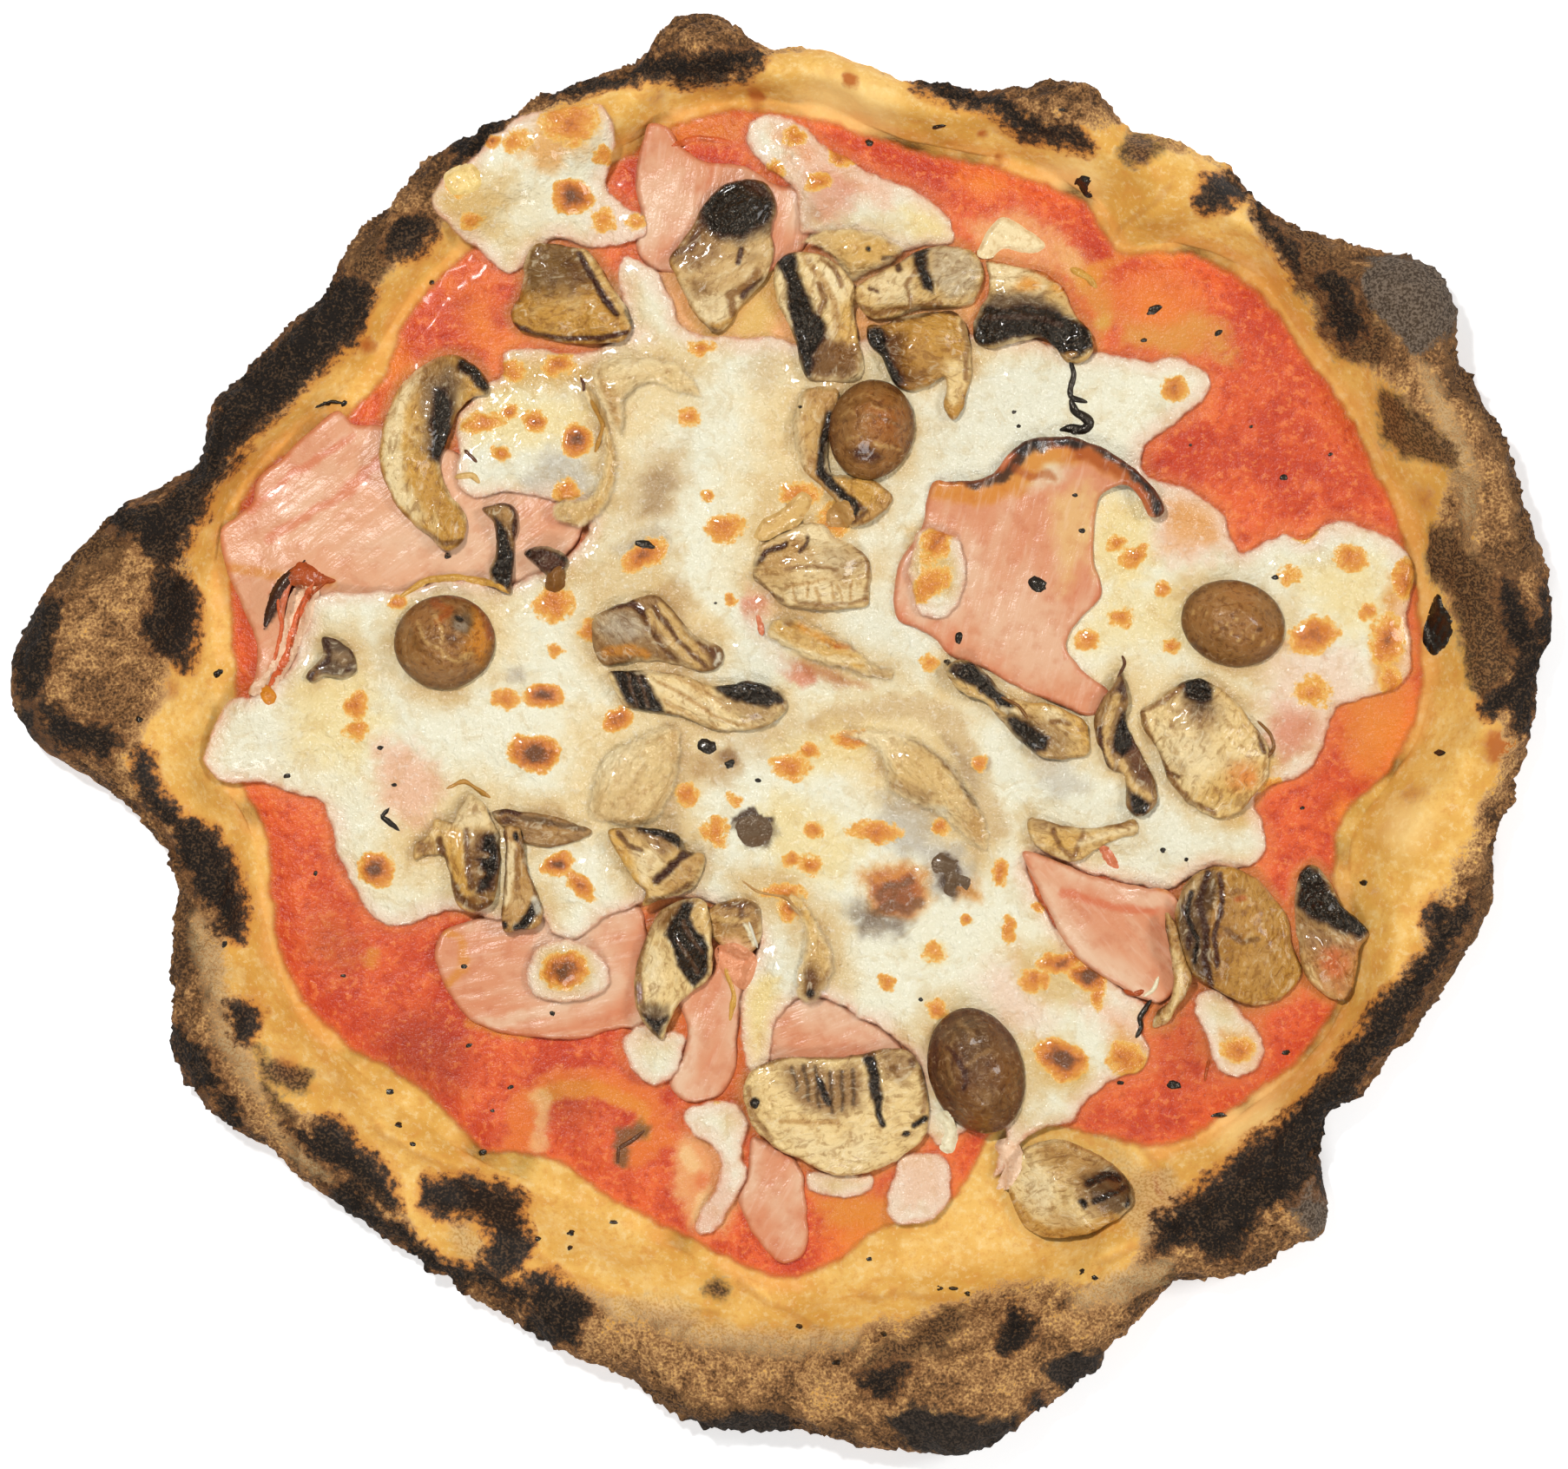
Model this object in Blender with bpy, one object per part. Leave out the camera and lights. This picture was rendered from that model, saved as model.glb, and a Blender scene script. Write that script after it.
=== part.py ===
# A regina pizza, 330 mm across: one baked dough base with a puffed, charred rim, a layer of
# tomato sauce, melted mozzarella, slices of cooked ham, slices of mushroom and whole olives.
# Sizes are in millimetres until a mesh is made. The origin is at the middle of the base,
# +X is the widest way across and +Z is up.

import math

import bmesh
import bpy
import numpy as np
from mathutils import Vector, noise
from mathutils.geometry import delaunay_2d_cdt

MM = 0.001
GAP = 0.3                  # room left between two pieces that touch

# Dough base
FLOOR = 4.2                # thickness of the dough under the sauce
SPOKES = 160               # stations round the rim
FLOOR_RING = 0.55          # a ring of points on the floor, as a share of the sauce's radius
CREST_AT = 0.60            # the crest's place between the sauce's edge and the outer edge
WIDEST_AT = 0.42           # height of the widest point, as a share of the crest's height
UNDERCUT = 0.62            # how far the rim curls in under its widest point, per mm of crest height
INNER_STEPS = 5
OUTER_STEPS = 4
UNDER_STEPS = 2
LUMP_SIZE = 15.0           # spacing of the rim's uneven lumps
LUMP_HEIGHT = 1.5

# Radius of the outer edge, by angle from +X
OUTER_EDGE = (
    (0, 160.2), (5, 163.5), (9, 167), (14, 166), (20, 167), (26, 166.5), (30, 166), (33, 171.5),
    (36, 171), (39, 163.5), (42, 158.5), (48, 153.7), (52, 154.6), (56, 152.5), (60, 149.7),
    (64.5, 153.6), (68, 150.5), (72, 145.4), (78, 142.8), (87, 147.4), (91, 147.5), (97.5, 156.0),
    (102, 147.5), (108, 146.6), (114, 144.1), (120, 144.9), (126, 141.1), (135, 136.8), (144, 137.2),
    (149.5, 140.8), (156, 138.5), (160, 147.5), (166, 156), (172, 163.5), (175, 165.6), (178, 163.5),
    (181, 157.5), (185, 143), (190, 135.2), (196, 134), (202, 140), (209, 147.2), (214.5, 145),
    (222, 139.3), (230, 137.6), (240, 135.9), (248, 138.6), (256, 141), (264, 148.8), (272, 148.6),
    (278, 153.5), (285, 158.8), (292, 154), (300, 147.5), (306, 145.1), (311, 152.3), (315, 154),
    (317.5, 157.5), (320, 152), (322.5, 145.2), (330, 146.7), (338, 150.8), (346, 156), (352, 154.5),
    (357, 157.5))

# Radius at which the inner side of the rim starts to rise
RIM_FOOT = (
    (0, 137), (12, 142), (25, 142), (36, 141), (46, 141), (51, 136), (55, 128), (59, 133), (66, 133),
    (78, 131), (88, 135), (97, 136), (105, 131), (115, 128), (125, 125), (132, 122), (140, 118),
    (150, 124), (158, 128), (166, 125), (175, 121), (184, 120), (192, 115), (198, 117), (210, 119),
    (218, 116), (225, 113), (235, 112), (240, 110), (250, 110), (262, 114), (272, 119), (281, 118),
    (291, 121), (299, 123), (306, 119), (312, 122), (322, 129), (335, 134), (344, 127), (350, 125))

# Radius of the sauce's edge
SAUCE_EDGE = (
    (0, 137), (12, 142), (25, 142), (36, 141), (46, 141), (51, 136), (55, 128), (59, 133), (66, 133),
    (78, 131), (88, 135), (97, 136), (105, 131), (115, 128), (125, 125), (132, 122), (140, 116),
    (150, 124), (158, 128), (166, 124), (175, 119), (184, 119), (192, 114), (198, 117), (210, 119),
    (218, 115), (225, 110), (235, 111), (240, 106), (250, 108), (262, 113), (272, 118.5), (281, 110),
    (292, 107), (299, 99), (305, 104), (312, 121), (322, 129), (335, 134), (344, 126), (350, 123))

# Height of the rim's crest
CREST = (
    (0, 17), (12, 20), (34, 21), (50, 15), (66, 16), (80, 12.5), (97, 15), (112, 10.5), (128, 12),
    (145, 14), (160, 17), (174, 20), (187, 15), (200, 15), (214, 17), (234, 14), (250, 16), (270, 18),
    (286, 21), (300, 18), (317, 16), (335, 15), (350, 16))

# Blisters on the rim and hollows in it: x, y, reach, height
BLISTERS = (
    (-146, 18, 22, 3), (-138, 45, 8, 3), (136, 96, 12, 3), (62, 133, 10, 2.5), (-17, 146, 9, 3),
    (93, 116, 8, 2), (-63, -107, 10, 3), (-47, -122, 9, 2), (151, 0, 7, 3), (36, -145, 13, 2.5),
    (66, -131, 9, 2), (-124, -69, 9, 2.5), (135, 67, 10, 2), (-119, 68, 9, 2), (117, -96, 7, 2),
    (157, 20, 8, -5), (156, 11, 7, -4), (113, -90, 6, -4), (146, 50, 9, -2), (-121, -48, 9, -3),
    (-106, -84, 9, -2.5), (0, -128, 12, -2.5), (-24, -122, 10, -2), (74, 116, 8, -3))

# Thickness in the middle and at the edge, width of the rounded edge, spacing of points round
# the edge and inside it, and how stiffly a piece bridges the bumps under it
KINDS = {
    "sauce": (1.3, 1.0, 3.0, 6.5, 12.0, 0.0),
    "ham": (1.6, 1.0, 2.0, 4.6, 8.0, 0.35),
    "cheese": (2.2, 0.8, 4.0, 5.0, 8.2, 0.15),
    "mushroom": (2.8, 1.3, 2.0, 3.8, 5.6, 0.5),
    "olive": (8.6, 1.2, 9.5, 3.6, 3.8, 0.9),
}

FINISHES = {
    "dough": ((0.62, 0.36, 0.13), 0.8),
    "sauce": ((0.62, 0.09, 0.03), 0.35),
    "ham": ((0.78, 0.36, 0.28), 0.4),
    "cheese": ((0.83, 0.78, 0.58), 0.4),
    "mushroom": ((0.50, 0.38, 0.20), 0.5),
    "olive": ((0.24, 0.15, 0.08), 0.35),
}

# Outlines seen from above, in the order in which the pieces are laid on one another.
# What comes before the first underscore is the kind.
TOPPINGS = {
    "ham_top": ((-28, 131), (-25, 131), (-22, 127), (-17, 123.5), (-8, 122.5), (0, 118), (6, 116), (6, 106),
                (-2, 100), (-14, 99), (-24, 99.5), (-29, 101), (-31, 106), (-30, 113), (-31, 118), (-30, 125)),
    "ham_left": ((-95, 69.5), (-91, 66.5), (-84, 66), (-70, 61), (-58, 55), (-45, 52), (-43, 43), (-50, 35),
                 (-62, 31), (-76, 29), (-86, 26), (-97, 26), (-101, 31), (-104, 33), (-106, 27), (-107, 20),
                 (-109, 14), (-110, 7), (-114, 8), (-112.5, 14), (-113, 21), (-116, 28), (-119, 36),
                 (-120, 44), (-114, 49), (-112, 55), (-105, 61), (-100, 66)),
    "ham_lower_left": ((-73, -42.5), (-70, -41), (-60, -38), (-44, -36), (-33, -34), (-29, -40), (-28, -52),
                       (-29, -62), (-36, -63), (-44, -65.3), (-52, -65), (-58, -64), (-64, -62.5), (-69, -58.5),
                       (-73, -52), (-74.5, -47)),
    "ham_lower_middle": ((-22, -56), (-15, -51), (-14, -46), (-9, -44), (-5, -49), (-8, -55), (-9, -64),
                         (-10, -72), (-13, -77), (-19, -79), (-24, -75), (-21, -68), (-20, -62)),
    "ham_bottom_middle": ((-3, -64), (0, -57), (6, -56), (12, -57), (20, -62), (25, -66), (26, -71), (15, -75),
                          (2, -74), (-3, -70)),
    "ham_bottom": ((-6, -86), (0, -89), (4, -92), (5, -98), (6, -106), (5, -111), (1, -113.5), (-4, -110),
                   (-7, -105), (-9, -100), (-7, -94)),
    "cheese_upper_left": ((-75, 115), (-72, 119.5), (-66, 123), (-62, 129), (-55, 132.5), (-46, 135),
                          (-38, 135), (-35, 131), (-36, 124), (-37, 117), (-33, 114), (-28, 111), (-29, 107),
                          (-35, 104.5), (-41, 104), (-47, 106), (-52, 104), (-56, 98.5), (-60, 99), (-64, 103),
                          (-70, 107), (-74, 111)),
    "cheese_top": ((-8, 131), (-2, 134.5), (4, 132), (9, 128), (15, 124), (21, 121), (27, 118.5), (33, 115),
                   (37, 110), (38, 106.5), (32, 104.5), (24, 104), (16, 107), (9, 107), (3, 108), (4, 115),
                   (-1, 120.5), (-7, 125)),
    "cheese_middle": ((-60, 82), (-52, 84), (-45, 82), (-38, 84), (-34, 90), (-36, 97), (-34, 103.5),
                      (-28, 101), (-24, 97), (-20, 88), (-12, 86), (-2, 86), (8, 83), (20, 86), (32, 86),
                      (42, 86), (52, 86), (61, 83), (70, 82.5), (80, 81), (88, 80.5), (92.5, 77), (92, 72.5),
                      (87, 68.5), (80, 63), (78, 58), (81, 55.5), (87, 53.5), (92, 50), (97, 46), (97, 41),
                      (99, 39.5), (103, 42), (108, 44), (113, 43), (117, 46.5), (123, 46), (129, 44),
                      (134, 40.5), (136.5, 34), (135, 27), (136, 18), (133, 10), (127, 7.5), (120, 6), (118, 1),
                      (116, -5), (112, -9), (106, -10.5), (102, -14), (104, -20), (104, -27), (97, -29),
                      (91, -28.5), (84, -33.5), (74, -32), (64, -29), (55, -26), (53, -29), (57, -37), (61, -43),
                      (67, -48), (74, -54), (79, -58), (78, -63), (80, -67), (78, -72), (70, -75.5), (66, -79),
                      (62, -84), (55, -86), (50, -90), (46.5, -97), (44.5, -93.5), (48, -87), (46, -82),
                      (38, -86), (35, -89), (31, -86), (30, -74), (26, -67), (17, -61), (10, -57), (3, -58),
                      (-1, -62), (-2, -70), (-5, -73.5), (-8, -70), (-9, -58), (-7, -51), (-5, -44), (-12, -38),
                      (-20, -35), (-30, -37), (-38, -40), (-43, -44), (-49, -43), (-53, -38), (-59, -40),
                      (-66, -38.5), (-72, -38), (-78, -40.5), (-84, -41), (-88, -39), (-92, -33), (-96, -26),
                      (-97, -18), (-100, -13.5), (-106, -13), (-112, -10.5), (-120, -10), (-124, -5), (-122, 2),
                      (-118, 8), (-112, 9), (-107, 13), (-103, 22), (-100, 30), (-92, 31.5), (-82, 31.5),
                      (-70, 34), (-60, 33), (-51, 35.5), (-44, 41), (-42, 47), (-50, 50.5), (-60, 51.5),
                      (-67, 51), (-70, 56), (-70, 64), (-69, 70), (-64, 76), (-60, 78)),
    "cheese_lower_right": ((89, -55), (94, -54), (99, -58), (102, -63), (104, -68), (102, -73), (97, -74),
                           (93, -70), (91, -64), (89, -60)),
    "cheese_bottom_left": ((-22, -82), (-17, -78), (-10, -78), (-7, -82), (-8, -88), (-7, -94), (-9, -99),
                           (-13, -106), (-18, -107), (-17, -101), (-13, -95), (-14, -89), (-19, -86)),
    "cheese_bottom": ((5.5, -94), (12, -93.5), (19, -94.5), (21, -96), (17, -99), (11, -99.5), (6.5, -98.5)),
    "cheese_bottom_right": ((26, -90), (31, -88.5), (35, -90), (37, -94), (37, -99), (35, -103), (30, -105),
                            (25, -105), (22.5, -101), (24, -96)),
    "cheese_ring_drop": ((-55, -50.5), (-52, -56), (-46, -58), (-39, -56), (-36, -51), (-39, -46), (-46, -43.5),
                         (-52, -45)),
    "cheese_white_drop": ((-33, -64), (-29, -62), (-26, -64), (-23, -62), (-20.5, -64), (-21, -69), (-23, -74),
                          (-26, -75.5), (-30, -74), (-33.5, -70)),
    "ham_right": ((33, 54.5), (40, 54.5), (45, 55.5), (49, 60.5), (54, 63.5), (62, 64), (69, 61.5), (76, 57),
                  (80.5, 52), (82, 48), (79.5, 46), (78, 50), (74, 53.5), (69, 51.5), (67.5, 45), (67, 38),
                  (69, 31), (65, 25.5), (61, 20), (66, 13), (71, 8), (67, 4), (58, 7.5), (50, 10.5), (42, 15),
                  (36, 17), (32, 22), (26, 24), (24.5, 30), (26, 38), (30, 44), (31, 50)),
    "ham_lower_right": ((52, -25), (60, -27.5), (68, -30.5), (77, -32.5), (85, -34), (86, -42), (86, -50),
                        (84, -56), (79, -57), (73, -54), (67, -50.5), (62, -46), (58.5, -40), (55.5, -33)),
    "cheese_island": ((30, 44), (36, 44), (39.5, 41), (40, 35), (39, 29), (35, 25), (30, 26), (28, 31), (27, 37)),
    "mushroom_left_disc": ((-41, -12), (-39, -6), (-35, -2), (-30, 0), (-24, 2.5), (-21, 1), (-21, -6),
                           (-23, -13), (-26, -18), (-30, -20), (-36, -19.5), (-41, -18)),
    "mushroom_arc": ((12, 1), (20, 1.5), (28, 0), (34, -3.5), (39, -8.5), (43, -15), (45.2, -20), (45, -25),
                     (41, -24), (37, -20), (33, -17), (28, -15), (23, -12), (22, -8), (20, -3), (14, -1)),
    "mushroom_ring": ((-45, 78.5), (-39, 73), (-36, 66), (-34.5, 60), (-35, 54), (-38, 48), (-43, 44), (-47, 45),
                      (-50, 48), (-47, 51), (-42, 51), (-39.5, 55), (-38.5, 61), (-39.5, 67), (-43, 73)),
    "mushroom_veil": ((-40, 80), (-34, 82), (-26, 81), (-20, 79), (-18, 75), (-15, 72), (-22, 73), (-28, 75),
                      (-33, 72), (-33, 66), (-35, 63.5), (-37.5, 68), (-40, 74)),
    "mushroom_crescent": ((-2, 25), (3, 26), (8, 23.5), (14, 20.5), (17, 18.5), (20, 15.5), (25, 14), (25, 11.5),
                          (20, 11.5), (14, 13.5), (8, 15), (2, 18), (-3, 21)),
    "mushroom_lower_arc": ((2, -33), (6, -36), (9, -41), (11.5, -46), (11.5, -52), (9, -56), (6, -58), (3, -56),
                           (3, -51), (5, -45), (4, -40), (1, -36)),
    "mushroom_grey_flap": ((-62, -16.5), (-57, -16), (-50, -17), (-44, -19), (-40, -21), (-45, -23), (-50, -24),
                           (-55, -23), (-59, -20)),
    "mushroom_tan_fold": ((-15, -37), (-10, -35), (-5, -36), (-4, -40), (-5, -46), (-8, -47), (-13, -45),
                          (-16, -41)),
    "mushroom_right_fold": ((53.5, -18), (58, -18.5), (64, -20), (70, -19.5), (76, -18), (77, -20.5), (73, -22),
                            (68, -24), (64, -27), (60, -26.5), (55, -24), (53.5, -22)),
    "mushroom_upper_disc": ((3, 105), (8, 108.5), (15, 109.5), (22, 107.5), (27, 104.5), (24, 101), (19, 99),
                            (15, 97), (11, 102), (7, 104.5)),
    "mushroom_brown_cap": ((-55, 98), (-56, 94), (-58, 90), (-55, 86.5), (-48, 84.5), (-40, 84), (-33, 85),
                           (-32, 88), (-33, 92), (-36, 96), (-38, 99), (-40, 103), (-44, 104.5), (-48, 105.5),
                           (-53, 105), (-55, 101)),
    "mushroom_black_cap": ((-24, 102), (-21, 106), (-18, 111), (-16, 114.5), (-14, 117), (-9, 119), (-5, 119),
                           (-2, 117), (-1, 113), (-2, 108), (-1.5, 103), (-4, 97), (-8, 93), (-11, 88),
                           (-14, 86.5), (-18, 90), (-22, 97)),
    "mushroom_black_stripe": ((-1, 101), (2, 103.5), (8, 103), (13, 100), (16, 96), (16, 90), (17, 84), (18, 79),
                              (16, 76), (10, 76), (5, 77), (4, 82), (2, 88), (-1, 94)),
    "mushroom_split_cap": ((16, 95), (19, 98), (24, 100.5), (28, 103), (31, 104.5), (36, 105), (41, 104),
                           (43.5, 101), (43, 96), (41, 92.5), (36, 91.5), (30, 91.5), (24, 89.5), (18, 90)),
    "mushroom_stalked_cap": ((18.5, 88), (22, 88), (27, 90), (33, 90.7), (38, 91), (40, 87), (41, 82), (41, 78),
                             (40, 73), (38, 68), (36, 68.5), (35, 72), (36, 77), (30, 74), (26, 74), (23, 78),
                             (21, 82), (18.5, 85)),
    "mushroom_gill_band": ((44, 102), (50, 101), (57, 99), (61, 96), (63, 91), (66, 87), (67.5, 84), (66, 80.5),
                           (62, 79.5), (60, 82), (56, 85), (50, 84), (44, 83), (41.8, 84.5), (41.8, 90),
                           (44, 93), (45, 98)),
    "mushroom_comma": ((-98, 21), (-95, 20.5), (-92, 18), (-91, 15), (-92, 12.5), (-96, 12.5), (-99, 13),
                       (-101, 10.5), (-102, 12), (-100, 15), (-97.5, 16), (-98.5, 19)),
    "mushroom_big_crescent": ((-73, 81.5), (-80, 77), (-84, 70), (-86, 62), (-85, 55), (-81, 47.5), (-75, 42.5),
                              (-71, 39.5), (-67.5, 43), (-68, 48), (-71, 52), (-73, 58), (-71, 64), (-69, 70),
                              (-65, 73), (-62.5, 74), (-64, 78), (-68, 81)),
    "mushroom_dark_curl": ((-64, 48.5), (-61, 49.5), (-58, 49.5), (-56.5, 47), (-57, 42), (-57, 38), (-57.5, 34),
                           (-58, 30), (-60, 31), (-62.5, 34), (-61.5, 38), (-61, 42), (-61.5, 46)),
    "mushroom_black_leaf": ((-55, 39), (-52, 40.5), (-48.5, 40), (-45.5, 37.5), (-47, 34), (-49, 31), (-50, 34),
                            (-52, 36.5)),
    "mushroom_striped": ((-40, 25), (-34, 28), (-27, 30), (-23, 27), (-19, 22), (-13, 19), (-12, 16), (-15, 13.5),
                         (-20, 14.5), (-26, 16), (-32, 15.5), (-38, 15), (-40, 18)),
    "mushroom_long": ((-37, 13.5), (-30, 14), (-24, 13.5), (-18, 12), (-14, 10.5), (-8, 11.5), (-2, 10.5),
                      (1.5, 8), (1, 5), (-2, 2.5), (-8, 1), (-14, 1), (-18, 3), (-23, 4.5), (-27, 5), (-33, 6),
                      (-35, 9)),
    "mushroom_collar": ((5, 74), (8, 75), (13, 73), (11, 66), (10, 60), (11, 56), (16, 56), (22, 53.5), (24, 51),
                        (21, 47), (16, 44.5), (14, 46), (12, 50), (8, 54), (5, 57), (3, 62), (3, 68)),
    "mushroom_pale_loaf": ((-6, 37), (-4, 41), (2, 44), (8, 46), (12, 42), (17, 40), (19.5, 36), (19, 31),
                           (19, 28), (14, 27), (6, 27), (0, 28), (-3, 31), (-6, 34)),
    "mushroom_black_strip": ((35.5, 14), (37, 16), (40, 16), (44, 13.5), (48, 9), (52, 7.5), (58, 6.5), (63, 4.5),
                             (66, 2), (66, -4), (61, -5), (56, -4.5), (52, -2), (48, 2), (45, 6), (41, 8), (37, 11)),
    "mushroom_pointed": ((73, 13), (74.5, 8), (74, 3), (76, -1), (78, -5), (80, -10), (80.5, -14), (79, -17),
                         (75, -17), (74, -14), (74, -9), (71, -8), (69, -4), (67, 1), (68, 6), (70, 9)),
    "mushroom_cream_cap": ((77, 5), (80, 7), (84, 10), (88, 12.5), (92, 11.5), (95, 9), (98, 7), (101, 3),
                           (104, -1), (105, -6), (103, -11), (99, -16), (95, -18), (91, -17), (86, -13),
                           (83, -9), (81, -3), (78, 1)),
    "mushroom_folded": ((-74, -18), (-70, -18.5), (-67, -13), (-64, -14), (-62, -18), (-60.5, -20), (-60, -24),
                        (-60.5, -30), (-61, -35), (-63, -37), (-67, -38), (-70, -35), (-71, -29), (-73, -25),
                        (-78, -27), (-79, -24), (-75, -21)),
    "mushroom_foot": ((-59, -20), (-56, -19.5), (-55, -24), (-54, -29), (-51.5, -35), (-51, -40), (-55, -41.5),
                      (-58, -42.5), (-60, -41), (-59.6, -35), (-58.8, -28)),
    "mushroom_triangle": ((-37, -20.5), (-32, -20), (-26, -20), (-21, -22), (-19.5, -25), (-16, -26),
                          (-17, -30), (-20, -33.5), (-26, -35.5), (-30, -36.5), (-29, -33), (-32, -30),
                          (-35, -25)),
    "mushroom_gilled": ((-20, -35), (-16, -36), (-15, -41), (-14.5, -47), (-15, -52), (-19, -55), (-22, -58),
                        (-24, -62), (-26, -65.5), (-29, -62), (-31, -58), (-31, -50), (-29, -44), (-26, -38)),
    "mushroom_large": ((-8, -75), (-5, -71), (0, -69.5), (6, -69), (12, -69), (19, -68), (26, -67), (29.5, -70),
                       (31, -75), (32, -80), (31, -86), (25, -91), (18, -94), (11, -94), (4, -91), (-3, -87),
                       (-7, -82)),
    "mushroom_bottom_cap": ((50, -91), (54, -88), (60, -87), (66, -89), (71, -92), (75, -96), (75, -101),
                            (71, -104), (65, -107), (58, -108), (53, -106), (50, -101), (49, -96)),
    "mushroom_wrinkled": ((85, -36), (87, -32), (91, -28.5), (97, -28.5), (103, -31), (106, -35), (109, -40),
                          (110, -46), (112, -50), (110, -54), (106, -57.5), (101, -58), (96, -56), (91, -53),
                          (87, -50), (85, -44)),
    "mushroom_black_edge": ((110.5, -33), (112, -29), (115, -28), (118, -32), (121, -37), (125, -40.5),
                            (126, -43), (124, -46), (123.5, -52), (121, -57), (116, -55), (112.5, -51),
                            (111.2, -45), (110.5, -39)),
    "mushroom_thin_strip": ((82.6, -38), (84.2, -40), (86, -46), (88, -52), (86, -57), (83, -62), (80, -63),
                            (81, -59), (84, -56), (83.6, -48), (82.6, -42)),
}

# Olives: centre, half length, half width and turn of the long axis in degrees
OLIVES = {
    "olive_left": ((-72, 20), 10.9, 10.0, 10),
    "olive_top": ((19.5, 65.5), 10.8, 9.2, 78),
    "olive_right": ((97, 24), 11.3, 9.2, -15),
    "olive_bottom": ((42, -72), 13.8, 10.2, 107),
}

# Places where a piece curls up (or is pressed in): x, y, reach, lift
CURLS = {
    "ham_left": ((-106, 30, 9, 5), (-111, 9, 8, 3), (-98, 67, 10, 1.5), (-80, 48, 20, 1.2)),
    "ham_right": ((62, 63, 9, 3.5), (73, 58, 9, 3.5), (80, 49, 8, 3), (50, 60, 8, 2.5), (40, 55, 8, 2)),
    "ham_lower_left": ((-72, -48, 8, 1.5), (-50, -66, 9, 1.2)),
    "ham_lower_right": ((80, -33, 9, 1.5),),
    "ham_top": ((-27, 128, 8, 1.5),),
    "mushroom_brown_cap": ((-34, 86, 8, 2), (-47, 95, 9, 1.5)),
    "mushroom_black_cap": ((-9, 113, 9, 2.5), (-22, 101, 6, 1.5)),
    "mushroom_black_stripe": ((3, 96, 8, 2.5), (14, 92, 8, 1.5)),
    "mushroom_split_cap": ((30, 99, 6, 2), (38, 98, 9, 1.5)),
    "mushroom_stalked_cap": ((30, 83, 11, 2), (37, 70, 5, 1)),
    "mushroom_gill_band": ((50, 87, 9, 2.5), (64, 84, 6, 3)),
    "mushroom_big_crescent": ((-84, 60, 10, 3), (-72, 41, 8, 2), (-66, 76, 7, 2)),
    "mushroom_dark_curl": ((-59, 47, 6, 3), (-60, 34, 5, 2)),
    "mushroom_black_leaf": ((-50, 38, 6, 2.5),),
    "mushroom_long": ((-33, 10, 8, 2), (-4, 7, 9, 2), (-18, 8, 9, 1.5)),
    "mushroom_striped": ((-34, 22, 9, 2), (-17, 18, 7, 1.5)),
    "mushroom_collar": ((4, 66, 7, 2), (18, 48, 7, 2)),
    "mushroom_pale_loaf": ((8, 33, 12, 2),),
    "mushroom_black_strip": ((40, 14, 7, 2), (54, 2, 8, 2)),
    "mushroom_pointed": ((72, 9, 6, 2.5), (77, -14, 6, 2.5)),
    "mushroom_cream_cap": ((91, 0, 14, 2.5),),
    "mushroom_folded": ((-64, -34, 7, 2.5), (-66, -16, 6, 2)),
    "mushroom_foot": ((-56, -39, 6, 2), (-57, -23, 5, 2)),
    "mushroom_triangle": ((-22, -23, 7, 2.5), (-28, -35, 6, 1.5)),
    "mushroom_gilled": ((-20, -45, 9, 3.5), (-27, -58, 8, 1.5)),
    "mushroom_large": ((12, -81, 19, 2.5),),
    "mushroom_bottom_cap": ((62, -97, 14, 4), (72, -98, 6, 2)),
    "mushroom_wrinkled": ((98, -43, 16, 3), (87, -42, 7, 1.5)),
    "mushroom_black_edge": ((117, -36, 8, 3),),
    "cheese_middle": ((-54, -4, 8, 1), (24, -35, 9, 2), (36, -30, 7, 1.2), (-30, -2, 10, 0.5), (5, 50, 9, 1)),
    "cheese_ring_drop": ((-46, -50.5, 6, 0.8),),
    "cheese_white_drop": ((-27, -68, 7, 1),),
}

# The pit's opening in an olive: x, y, reach, depth
PITS = {
    "olive_left": (-68, 24, 3.2, 2.5),
    "olive_top": (18, 60.5, 3.6, 2.5),
    "olive_bottom": (43, -66, 4.5, 1.5),
}

CELL = 0.5                 # grid of the height map on which the pieces are laid
HALF_MAP = 172.0
FINE = 10                  # points looked at along each side of a triangle when it is laid
SETTLE_ROUNDS = 12


def through(pairs):
    """A smooth closed curve through (degree, millimetre) pairs, as a function of the angle."""
    angle = np.array([pair[0] for pair in pairs], float)
    value = np.array([pair[1] for pair in pairs], float)
    angle = np.concatenate((angle[-2:] - 360, angle, angle[:2] + 360))
    value = np.concatenate((value[-2:], value, value[:2]))
    slope = np.gradient(value, angle)

    def curve(degrees):
        at = np.mod(degrees, 360)
        k = np.clip(np.searchsorted(angle, at, side="right") - 1, 0, len(angle) - 2)
        span = angle[k + 1] - angle[k]
        t = (at - angle[k]) / span
        start = value[k] * (1 + 2 * t) + slope[k] * span * t
        end = value[k + 1] * (3 - 2 * t) + slope[k + 1] * span * (t - 1)
        return start * (1 - t) ** 2 + end * t ** 2

    return curve


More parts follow.
